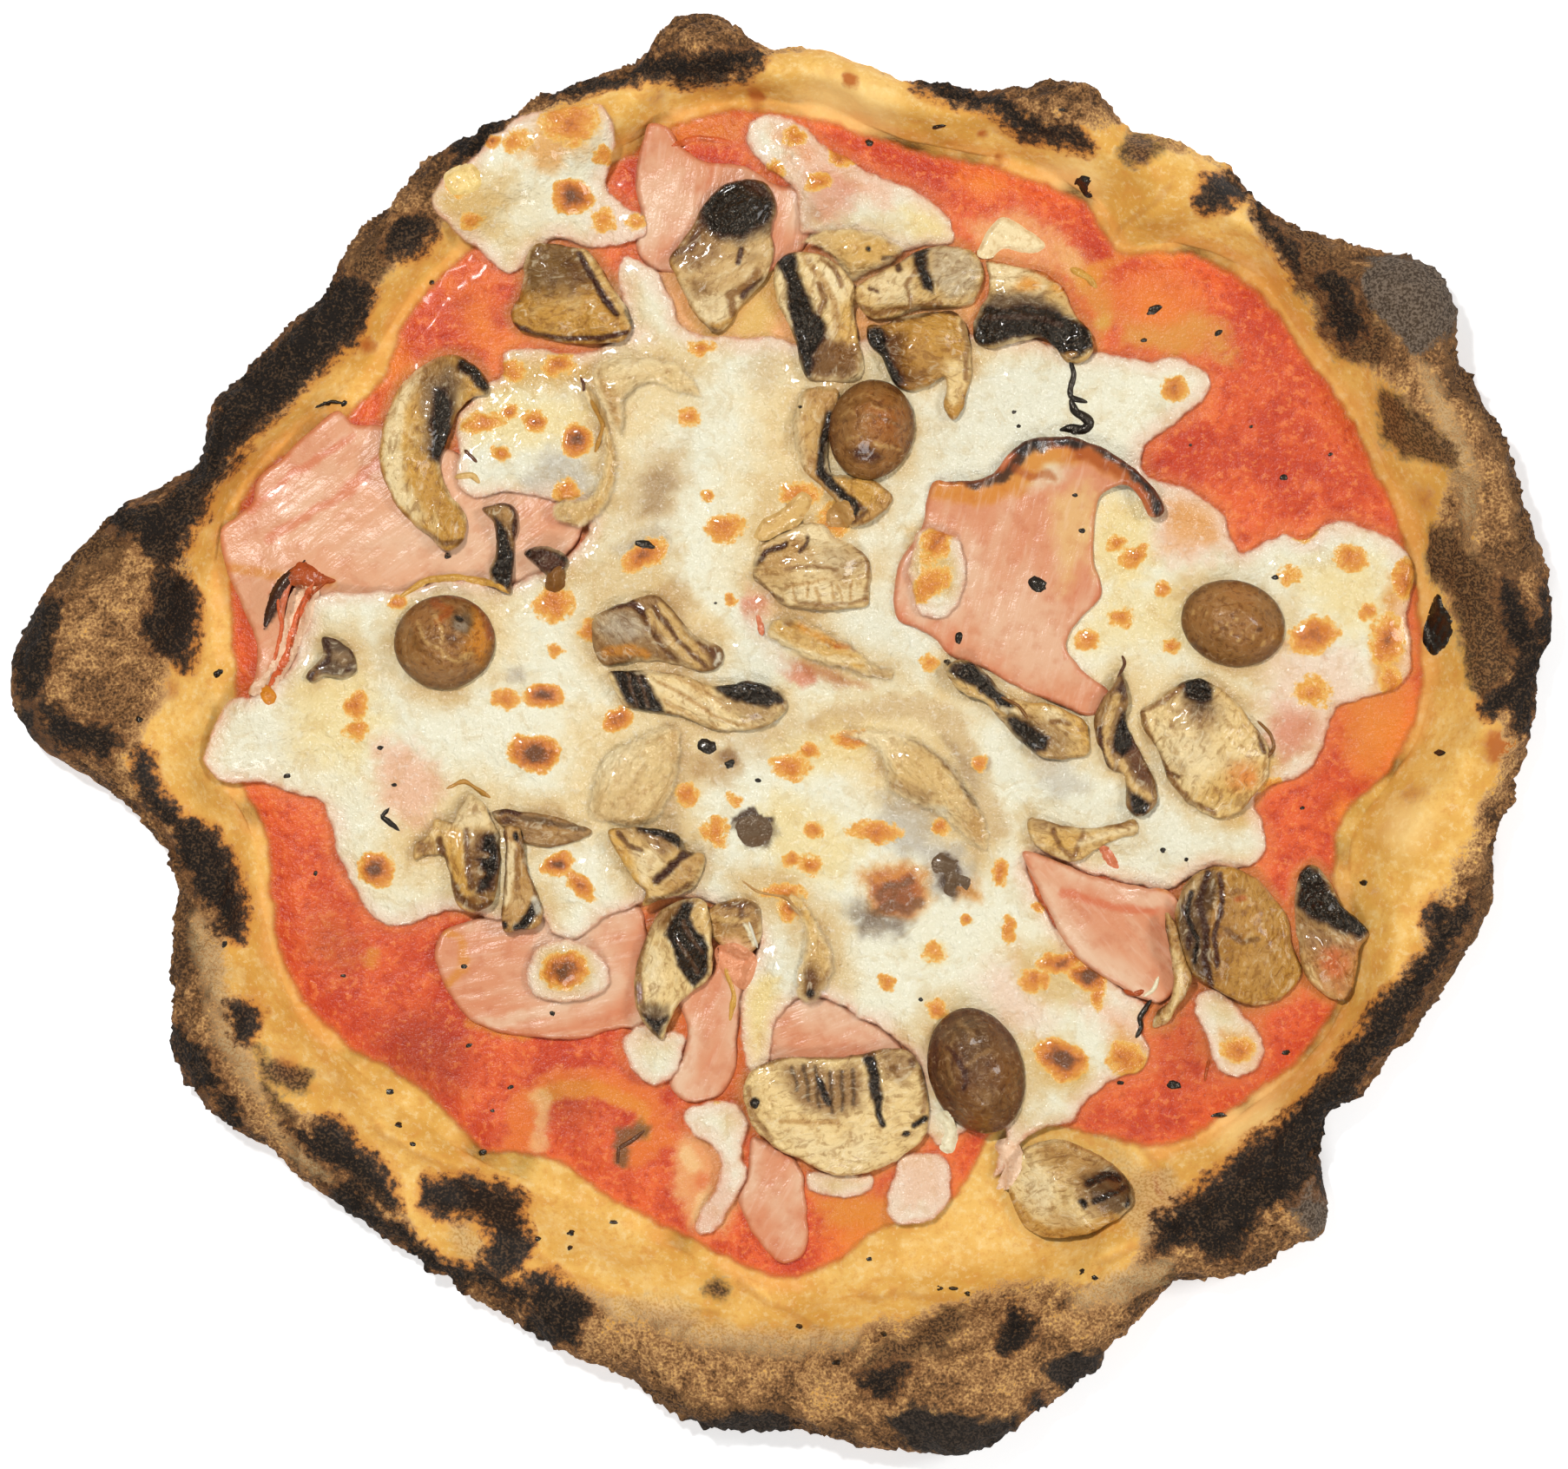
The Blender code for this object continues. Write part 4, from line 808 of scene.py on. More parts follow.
def makeDough():
    spokes = dough["spokes"]
    up, down, tuck = dough["steps"]
    degrees = np.arange(spokes) * 360.0 / spokes
    outer = through(dough["outer"], degrees)[:, None]
    inner = through(dough["foot"], degrees)[:, None]
    crest = through(dough["crest"], degrees)[:, None]
    floor = dough["floor"]
    top = inner + dough["crestAt"] * (outer - inner)
    widest = dough["widestAt"] * crest
    base = outer - dough["undercut"] * crest
    rise = np.linspace(0, 1, up + 1)[None, :]
    fall = np.linspace(0, math.pi / 2, down + 1)[None, 1:]
    under = np.linspace(0, math.pi / 2, tuck + 1)[None, 1:]
    radius = np.hstack((inner + (top - inner) * rise, top + (outer - top) * np.sin(fall),
                        base + (outer - base) * np.cos(under)))
    height = np.hstack((floor + (crest - floor) * np.sin(rise * math.pi / 2) ** 1.2,
                        widest + (crest - widest) * np.cos(fall), widest * (1 - np.sin(under))))
    turn = np.radians(degrees)[:, None]
    x, y = radius * np.cos(turn), radius * np.sin(turn)
    count = radius.shape[1]
    lump = np.empty_like(radius)
    for index in np.ndindex(radius.shape):
        place = Vector((x[index], y[index], height[index])) / dough["lumpSize"]
        lump[index] = noise.noise(place) + 0.5 * noise.noise(place * 2.1)
    share = np.ones(count)
    share[0] = share[-1] = 0.0
    position = np.arange(count)
    share = share * (1 - 0.7 * np.exp(-((position - up - down) / 3.0) ** 2))
    middle = radius[:, up:up + 1]
    half = crest / 2
    away = np.maximum(np.hypot(radius - middle, height - half), 1.0)
    lump = dough["lumpHeight"] * lump * share
    unitR, unitZ = (radius - middle) / away, (height - half) / away
    radius = radius + lump * unitR
    height = height + lump * unitZ
    onTop = ramp(0, 3, position) * ramp(up + down + 1, up + down - 6, position)
    for bx, by, reach, lift in dough["blisters"]:
        near = np.clip(1 - ((x - bx) ** 2 + (y - by) ** 2) / reach ** 2, 0, 1)
        height = height + lift * near ** 2 * onTop

    # baking
    x, y = radius * np.cos(turn), radius * np.sin(turn)
    middleX, middleY = (x.min() + x.max()) / 2, (y.min() + y.max()) / 2
    wander = dough["waver"] * cloud(x, y, dough["waverSize"], 1, 5)
    drift = dough["waver"] * cloud(x, y, dough["waverSize"], 2, 5)
    fold = np.zeros_like(x)
    for path in baking["folds"]:
        fold = np.maximum(fold, ribbon(x + drift, y + wander, path, 1.5))
    wideDegrees = degrees[:, None] + np.degrees(drift / radius)
    wideRadius = radius + wander
    start = through(baking["brownFrom"], degrees)[:, None]
    begun = np.clip((wideRadius - start + 4) / 8, 0, 1)
    outside = np.clip(1 - (outer - wideRadius) / 8, 0, 1)
    brown = begun * (baking["brown"] + baking["brownerOutside"] * outside)
    edge = through(baking["sauceEdge"], degrees)[:, None]
    masks = {
        "brown": brown,
        "seep": np.clip(1 - (wideRadius - edge) / 3.5, 0, 1),
        "fold": fold,
        "under": ramp(up + down + 2, up + down + 8, position)[None, :] * np.ones_like(radius),
    }
    for key, soft in baking["softness"].items():
        masks[key] = polarAreas(wideDegrees, wideRadius, baking[key], soft)
    for key in ("blush", "light"):
        masks[key] = polarSpots(wideDegrees, wideRadius, baking[key])

    # crags where it is brown, pits where it is black
    rough = ramp(0.1, 0.42, brown)
    crag = 1.4 * cloud(x + height, y - height, 6, 5, 4) + 0.9 * cloud(x + height, y + height, 2.2, 6, 3)
    # the crust's low places, where its tone is made darker: a painted shade in its hollows
    masks["pit"] = np.clip(0.5 - crag, 0, 1) * rough
    crag = crag + 2.4 * np.maximum(cloud(x + height, y + 2 * height, 3.2, 8, 3) - 0.12, 0)
    crag = crag * rough + 0.4 * cloud(x, y, 8, 7, 3) - 0.3 * ramp(0.4, 0.7, masks["char"])
    crag = crag * ramp(0, 3, position) * ramp(count - 1, count - 6, position)
    radius = radius + crag * unitR
    height = np.maximum(height + crag * unitZ - 0.9 * fold * ramp(0, 3, position), 0.02)
    height = np.minimum(height, cadBox[1][2] / mm - dough["headroom"])
    height[:, -1] = 0.0
    x, y = radius * np.cos(turn) - middleX, radius * np.sin(turn) - middleY
    x = np.clip(x, cadBox[0][0] / mm + dough["inset"], cadBox[1][0] / mm - dough["inset"])
    y = np.clip(y, cadBox[0][1] / mm + dough["inset"], cadBox[1][1] / mm - dough["inset"])

    # the cover takes the rim's top and the flat floor inside it
    cover.add(x[:, :up + down].ravel(), y[:, :up + down].ravel(), height[:, :up + down].ravel())
    side = np.arange(-cover.half + 1, cover.half, cover.cell)
    flatX, flatY = (part.ravel() for part in np.meshgrid(side, side))
    foot = through(dough["foot"], np.degrees(np.arctan2(flatY + middleY, flatX + middleX)) % 360)
    inside = np.hypot(flatX + middleX, flatY + middleY) < foot
    cover.add(flatX[inside], flatY[inside], np.full(inside.sum(), floor))

    points = np.stack((x, y, height), axis=2).reshape(-1, 3)
    points = np.vstack((points, (0, 0, floor), (0, 0, 0)))
    ring = np.arange(spokes)
    after = (ring + 1) % spokes
    faces = []
    for k in range(count - 1):
        a, b = ring * count + k, ring * count + k + 1
        c, d = after * count + k + 1, after * count + k
        faces.append(np.column_stack((a, b, c)))
        faces.append(np.column_stack((a, c, d)))
    topPole, basePole = spokes * count, spokes * count + 1
    faces.append(np.column_stack((np.full(spokes, topPole), ring * count, after * count)))
    last = count - 1
    faces.append(np.column_stack((np.full(spokes, basePole), after * count + last, ring * count + last)))
    flat = {key: np.concatenate((value.ravel(), (value.min(), value.min()))) for key, value in masks.items()}
    flat["under"][-1] = 1.0
    thing = addPiece("dough_look", points, np.vstack(faces), flat, doughMaterial())
    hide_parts("dough")


def doughMaterial():
    g = Graph("baked_dough")
    grain = g.noise(0.6, 1.0, 0.5)
    speck = g.noise(1.5, 3.0, 0.7)
    patch = g.noise(4.5, 4.0, 0.6)
    broad = g.noise(17.0, 3.0, 0.55)
    brown, seep = g.mask("brown"), g.mask("seep")
    uneven = (patch - 0.5) * 0.8 + (speck - 0.5) * 0.7

    # a mask with a ragged edge
    def ragged(name, reach=0.2):
        mask = g.mask(name)
        return mask + uneven * mask.above(0.0, reach)

    burnt = ragged("char")
    grit = brown.above(0.1, 0.45)

    gold = g.mix(broad.above(0.38, 0.62), srgb(220, 163, 72), srgb(237, 187, 98))
    gold = g.mix(patch.above(0.5, 0.7) * 0.45, gold, srgb(244, 210, 140))
    gold = g.mix(patch.above(0.47, 0.32) * 0.55, gold, srgb(218, 148, 66))
    gold = g.mix(speck.above(0.46, 0.34) * 0.4, gold, srgb(212, 148, 72))
    gold = g.mix(speck.above(0.52, 0.66) * 0.4, gold, srgb(246, 220, 162))
    # painted light: the gold is made paler where the rim's slope lies in shade
    gold = g.mix(g.mask("light").above(0.0, 0.6) * 0.65, gold, srgb(255, 216, 140))
    gold = g.mix((seep + (patch - 0.5) * 0.5).above(0.2, 1.0) * 0.35, gold, srgb(240, 148, 74))
    # darker brown along the creases, a painted shade in them
    gold = g.mix(g.mask("fold").above(0.2, 0.9) * 0.4, gold, srgb(190, 126, 58))
    gold = g.mix(ragged("blush").above(0.02, 0.7), gold, srgb(186, 106, 44))
    gold = g.mix(burnt.above(0.02, 0.35) * 0.8, gold, srgb(210, 128, 50))

    begun = brown.above(0.02, 0.2)
    # darker where the crust is low: a painted shade in its hollows
    tone = brown + ((patch - 0.5) * 0.3 + (broad - 0.5) * 0.25 + (g.mask("pit") - 0.4) * 0.3) * begun
    tone = tone + ((grain - 0.5) * 1.1 + (speck - 0.5) * 0.8) * grit
    baked = g.ramp(tone, (0.0, (228, 178, 98)), (0.2, (214, 166, 104)), (0.38, (186, 140, 88)),
                   (0.55, (154, 110, 67)), (0.75, (116, 81, 49)), (1.0, (68, 48, 32)))
    crust = g.mix(tone.above(0.08, 0.3), gold, baked)

    pale = g.mix(grain.above(0.36, 0.58), srgb(172, 132, 84), srgb(216, 182, 130))
    crust = g.mix(ragged("flour", 0.3).above(0.2, 0.9) * 0.6, crust, pale)
    deep = g.mix(grain.above(0.4, 0.64), srgb(60, 41, 27), srgb(132, 94, 57))
    crust = g.mix(ragged("dark").above(0.15, 0.7) * 0.95, crust, deep)
    ash = g.mix(grain.above(0.4, 0.7), srgb(38, 32, 27), srgb(72, 59, 48))
    crust = g.mix(ragged("grey").above(0.15, 0.55), crust, ash)
    stone = g.mix(grain.above(0.36, 0.66), srgb(64, 54, 45), srgb(124, 108, 92))
    crust = g.mix(ragged("stone").above(0.15, 0.6) * 0.95, crust, stone)

    crust = g.mix(burnt.above(0.12, 0.45) * 0.8, crust, srgb(134, 88, 50))
    crust = g.mix((burnt + (speck - 0.5) * 0.5).above(0.25, 0.5) * 0.9, crust, srgb(82, 57, 37))
    sooty = (grain + speck * 0.5 + (patch - 0.5) * 0.5).above(0.7, 1.05)
    soot = g.mix(sooty, srgb(32, 26, 21), srgb(88, 66, 46))
    crust = g.mix((burnt + (speck - 0.5) * 0.5 + (grain - 0.5) * 0.25).above(0.38, 0.6), crust, soot)

    base = g.mix(g.noise(4.0, 3.0, 0.6).above(0.42, 0.62), srgb(206, 158, 98), srgb(120, 78, 44))
    crust = g.mix(g.mask("under"), crust, base)
    height = (grain - 0.5) * 0.5 * grit + (speck - 0.5) * 0.5 * grit + (patch - 0.5) * 0.3
    return g.finish(crust, 0.6 + grit * 0.3, height, Specular_IOR_Level=0.2)


# how a sheet is made: the size of its triangles, how far and over what length its edge wanders, the
# width of its rounded edge, the share of its thickness at the edge, and how far the CAD's facets are blurred
sauce = {
    "sheet": {"step": 1.0, "ragged": 1.0, "raggedSize": 8, "rounding": 2.0, "foot": 0.2, "soften": 2.0},
    "lift": 0.05,
    "feather": 7,  # width over which the sauce thins out
    "oil": (  # greasy places: degree, radius, half width along and across, strength
        (0, 128, 20, 14, 0.8), (48, 122, 16, 14, 0.8), (52, 134, 8, 10, 0.9), (283, 108, 22, 12, 1),
        (236, 108, 10, 8, 0.4), (340, 124, 12, 8, 0.5), (137, 118, 12, 16, 0.9), (70, 126, 12, 6, 0.5),
        (270, 104, 12, 5, 0.4), (352, 122, 8, 8, 0.7), (327, 116, 12, 8, 0.5), (126, 110, 10, 20, 0.6)),
    "deep": (  # darker red places
        (222, 104, 16, 16, 1), (240, 92, 14, 10, 0.7), (326, 112, 22, 14, 1), (205, 106, 14, 10, 0.8),
        (300, 92, 14, 10, 0.6)),
}

# milky, oily and browned smears on the sauce
sauceMarks = (
    ("area", "blush", 2, 0.75, ((-23, -86), (-15, -84), (-8, -90), (-7, -100), (-12, -108), (-20, -107),
        (-24, -98))),
    ("line", "shell", 1.3, 0.6, ((-20, -90), (-16, -97), (-18, -104))),
    ("dot", "coral", 0.8, 0.8, (-17, -96, 3.4, 3, 30)),
    ("line", "orange", 3, 0.8, ((-56, -88), (-56, -80), (-48, -75), (-38, -75), (-29, -79), (-26, -86),
        (-32, -90))),
    ("line", "amber", 1.4, 0.6, ((-50, -77), (-40, -76), (-30, -80), (-29, -86))),
    ("area", "umber", 0.7, 0.75, ((-36, -85), (-31, -83), (-27, -84), (-29, -87), (-33, -88), (-33, -93),
        (-36, -93), (-37, -89))),
    ("line", "amber", 2, 0.7, ((-66, -62), (-56, -64), (-46, -62))),
    ("dot", "amber", 0.8, 0.7, (-88, -48, 4, 4.5, 20)),
    ("area", "amber", 4, 0.75, ((5, -98), (18, -97), (36, -102), (52, -108), (40, -112), (20, -110),
        (8, -106))),
    ("area", "orange", 3, 0.7, ((-30, -58), (-4, -56), (-2, -76), (-18, -80), (-30, -68))),
    ("area", "honey", 2.5, 0.7, ((60, 104), (68, 100), (74, 90), (68, 86), (62, 96))),
    ("area", "orange", 5, 0.45, ((66, 100), (88, 102), (94, 88), (84, 78), (68, 82))),
    ("area", "blush", 2.5, 0.7, ((38, 110), (52, 114), (66, 104), (64, 98), (44, 100))),
    ("area", "amber", 2, 0.6, ((-34, 132), (-20, 134), (-6, 134), (-8, 126), (-26, 126))),
    ("area", "amber", 3, 0.6, ((38, 128), (56, 130), (64, 122), (48, 120))),
    ("line", "shell", 1.8, 0.65, ((-52, -78), (-51, -83), (-52, -89))),
    ("dot", "honey", 0.9, 0.75, (69, 88, 3.2, 4.4, 0)), ("dot", "honey", 1, 0.6, (96, 80, 6, 4, -30)),
    ("area", "honey", 2, 0.6, ((73, 84), (75, 89), (82, 87.5), (90, 91), (97, 88), (98, 82), (90, 80),
        (82, 81))),
    ("line", "amber", 1.5, 0.6, ((66, 98), (74, 104), (84, 107), (94, 104))),
    ("area", "amber", 4, 0.6, ((118, 12), (130, 30), (138, 20), (136, 0), (128, -14), (120, -6))),
    ("area", "orange", 4, 0.6, ((104, -38), (124, -44), (122, -60), (106, -58))),
    ("area", "blush", 3, 0.85, ((-40, 96), (-20, 104), (20, 104), (44, 96), (40, 80), (0, 80), (-30, 84))),
    ("area", "straw", 2, 0.8, ((-20, 98), (0, 103), (2, 92), (-4, 84), (-18, 86))),
    ("area", "blush", 3, 0.7, ((-64, -46), (-40, -40), (-26, -34), (-30, -22), (-60, -30))),
    ("area", "cream", 3, 0.8, ((-40, 30), (10, 40), (50, 20), (60, -20), (40, -50), (0, -40), (-40, -30),
        (-50, 0))),
    ("line", "red", 1, 0.8, ((-121, 40), (-117, 32), (-114, 22), (-113, 14))),
    ("line", "red", 1, 0.7, ((-119, 47), (-110, 58), (-100, 70))),
)


def makeSauce():
    sheet = Sheet("sauce", **sauce["sheet"])
    sheet.z = sheet.floor + sauce["lift"] + (sheet.z - sheet.floor) * ramp(0, sauce["feather"], sheet.rim)
    x, y = sheet.x, sheet.y
    radius, degrees = np.hypot(x, y), np.degrees(np.arctan2(y, x))
    sheet.masks["oil"] = polarSpots(degrees, radius, sauce["oil"])
    sheet.masks["deep"] = polarSpots(degrees, radius, sauce["deep"])
    sheet.masks["edge"] = np.clip(1 - sheet.rim / 4, 0, 1)
    sheet.masks["sliceNear"] = np.clip(1 - rimDistance(x, y, rimsOf("mushroom")) / 4, 0, 1)
    paint = Paint(x, y, "coral", 1.2)
    paint.marks(sauceMarks)
    sheet.masks["paint"] = paint.result()
    sheet.masks["painted"] = paint.covered
    sheet.masks["cheeseNear"] = np.clip(1 - rimDistance(x, y, rimsOf("cheese")) / 5, 0, 1)
    sheet.z += 0.35 * cloud(x, y, 7, 11, 4) + 0.15 * cloud(x, y, 2.2, 12, 2)
    sheet.build(sauceMaterial())


def sauceMaterial():
    g = Graph("tomato_sauce")
    fine, pulp = g.noise(0.6, 2.0), g.noise(1.6, 3.0, 0.65)
    patch, broad = g.noise(5.0, 4.0, 0.6), g.noise(16.0, 3.0)
    oil, edge, near = g.mask("oil"), g.mask("edge"), g.mask("cheeseNear")
    red = g.mix(broad.above(0.36, 0.64), srgb(198, 66, 38), srgb(226, 98, 58))
    red = g.mix(patch.above(0.52, 0.68) * 0.65, red, srgb(236, 116, 72))
    red = g.mix(patch.above(0.47, 0.32) * 0.65, red, srgb(184, 54, 30))
    red = g.mix(pulp.above(0.54, 0.66) * 0.5, red, srgb(242, 140, 92))
    red = g.mix(pulp.above(0.45, 0.34) * 0.45, red, srgb(170, 46, 26))
    greasy = (oil + (broad - 0.5) * 0.8 + (patch - 0.5) * 0.5).above(0.1, 0.8)
    red = g.mix(greasy, red, srgb(236, 136, 60))
    red = g.mix((near + (patch - 0.5) * 0.6).above(0.3, 1.0) * 0.4, red, srgb(236, 140, 96))
    red = g.mix((edge + (patch - 0.5) * 0.5).above(0.3, 1.0) * 0.6, red, srgb(240, 140, 66))
    red = g.mix((g.mask("painted") + (pulp - 0.5) * 0.5).above(0.1, 0.9), red, g.colour("paint"))
    red = g.mix((g.mask("sliceNear") + (patch - 0.5) * 0.6).above(0.25, 0.9) * 0.5, red, srgb(200, 140, 88))
    red = g.shade((g.mask("deep") + (patch - 0.5) * 0.8).above(0.0, 0.8), red, srgb(222, 222, 216))
    red = g.shade(1.0, red, srgb(253, 245, 192))
    height = (pulp - 0.5) * 0.5 + (fine - 0.5) * 0.12 + (patch - 0.5) * 0.4
    seen = 1 - (edge + (patch - 0.5) * 0.6).above(0.5, 1.0)
    return g.finish(red, 0.33, height, coat=0.1 - edge * 0.1, coatRoughness=0.1, alpha=seen,
                    Specular_IOR_Level=0.35)


cheese = {
    "sheet": {"step": 0.6, "ragged": 1.1, "raggedSize": 6, "rounding": 2.2, "foot": 0.1, "soften": 1.6},
    "tint": (0.94, 0.92, 0.87),
}

# browned places: x, y, half length, half width, turn, strength
browned = (
    (-44.5, 115, 5, 4.5, 0, 1.5), (-45, 131, 8, 6, 10, 0.8), (-57, 127, 4, 3, 0, 0.7),
    (-38, 124, 3, 2.5, 0, 0.7),
    (-38, 110, 3.5, 3, 0, 0.6), (-31, 110, 3, 3, 0, 0.6), (-69, 117, 3, 2.5, 0, 0.7),
    (-62, 127, 2.5, 2, 0, 1),
    (-66, 110, 3, 2.5, 0, 0.6), (-44, 63, 4, 4, 0, 1.4), (-53, 67, 3.2, 3, 0, 0.9),
    (-60, 60, 2.5, 2.3, 0, 0.8),
    (-64, 67, 7, 2.6, 10, 0.7), (-58, 69, 2.5, 2.2, 0, 0.8), (-46, 52, 3.4, 3, 0, 0.8),
    (-48, 79, 4.5, 3.2, 10, 0.9),
    (-58, 78, 4.5, 3, -20, 0.8), (-49, 28, 5.5, 4.5, 20, 0.8), (-41, 22, 3.2, 3, 0, 0.7),
    (-48, 18, 2.5, 2, 0, 0.5),
    (-51, 8.5, 5.5, 3, 0, 1.4), (-59, 7, 4.4, 2.6, 0, 0.8), (-35, 3, 4.6, 3, 30, 1), (-91, 6, 4, 3, 60, 0.8),
    (-91, 1, 3.4, 3, 0, 0.8), (-82, 28, 2.5, 2.2, 0, 0.7), (-29, 38, 6, 3.2, 25, 0.8),
    (-12, 44, 5.4, 3.4, 0, 0.8),
    (-20, 68, 3, 2.6, 0, 0.7), (-16, 51, 1.8, 1.6, 0, 0.7), (-17, 83, 4.4, 2.4, 0, 0.7),
    (-11, 29, 1.6, 1.4, 0, 0.7),
    (-53, -4, 6.5, 4.5, -10, 1.7), (-87, -29, 4.6, 4.6, 0, 1.5), (-48, -28, 4, 3.4, 0, 1.4),
    (-43, -33, 5, 2.4, -45, 1.1),
    (-46.5, -51, 5.6, 4.8, 0, 1.5), (-30, 38, 6, 3, 40, 1.1),
    (-20, -13, 3.4, 3, 0, 0.8), (-10, -14, 2.4, 2, 0, 0.5), (2, -7, 5.4, 3.4, 0, 0.8),
    (6, -4, 2.4, 2.2, 0, 0.8),
    (15, -1, 5.4, 2.4, 0, 0.7), (20, -21, 7.4, 3, 0, 0.8), (7, -21, 2.4, 2.2, 0, 0.7),
    (2, -27, 2.4, 2.2, 0, 0.7),
    (6, -28, 3.4, 3, 0, 0.8), (34, -20, 2.4, 2.2, 0, 0.7), (43, -6, 2.4, 2.2, 0, 0.7),
    (47, -30, 2.4, 3.8, 0, 0.8),
    (49, -42, 2.4, 3.4, 0, 0.8), (40, -40, 1.6, 1.6, 0, 0.8), (55, -37, 1.6, 1.6, 0, 0.8),
    (23, -53, 2.6, 2.4, 0, 0.7),
    (33, -47, 3.4, 3, 0, 0.5), (54, -53, 4, 3.4, 0, 0.8), (60, -49, 6.4, 2.6, 10, 1.2),
    (66, -52, 4.6, 3.4, 0, 1.6),
    (68, -56, 2, 4.4, 0, 0.8), (60, -70, 6.8, 4.6, -20, 1.7), (74, -70, 5.4, 5, 0, 0.8),
    (33, -59, 3, 2.6, 0, 0.7),
    (0, -34, 6.4, 2.6, 0, 0.7), (2, -38, 4.4, 3, 0, 0.9), (-12, -74, 6.4, 3.4, 60, 0.8),
    (34, 42, 8, 3.6, 60, 0.8),
    (32, 38, 3, 3, 0, 0.5), (32, 32, 6.4, 3.6, 40, 0.8), (72, 41, 2.6, 2.4, 0, 0.7),
    (76, 38, 4.4, 2.6, 30, 0.8),
    (73, 25, 3.4, 3, 0, 0.7), (66, 20, 3.4, 3, 0, 0.7), (84, 19, 2.4, 2.2, 0, 0.7),
    (82, 31, 2.4, 2.2, 0, 0.7),
    (32, 15, 3, 2.6, 0, 0.5), (84, 74, 3.6, 3.2, 0, 0.8), (4, 51, 5.4, 3.4, 0, 0.8),
    (122, 38, 4.6, 3.4, 0, 0.8),
    (134, 33, 3.4, 5.4, 0, 0.8), (112, 43, 3.4, 2.4, 0, 0.7), (109, 34, 3, 2.6, 0, 0.5),
    (114, 21, 6.6, 4.6, 20, 1),
    (130, 20, 4.4, 7.4, 0, 1), (126, 26, 2.6, 2.4, 0, 0.7), (114, 9, 5.4, 4.4, 0, 0.6),
    (131, 10, 3.4, 5.4, 0, 0.8),
    (3, 128, 3, 2.4, 0, 0.8), (13, 124, 4, 2.6, -30, 0.9), (8, 118, 3.4, 2.4, 20, 0.7),
    (-1, 121, 2.4, 3, 0, 0.7),
    (98, -68, 4.6, 3.6, 0, 0.8), (105, -12, 4, 3, 0, 0.8), (-14, -21, 4, 4, 0, 0.7),
    (12, 46, 5.4, 4.4, 0, 0.8))

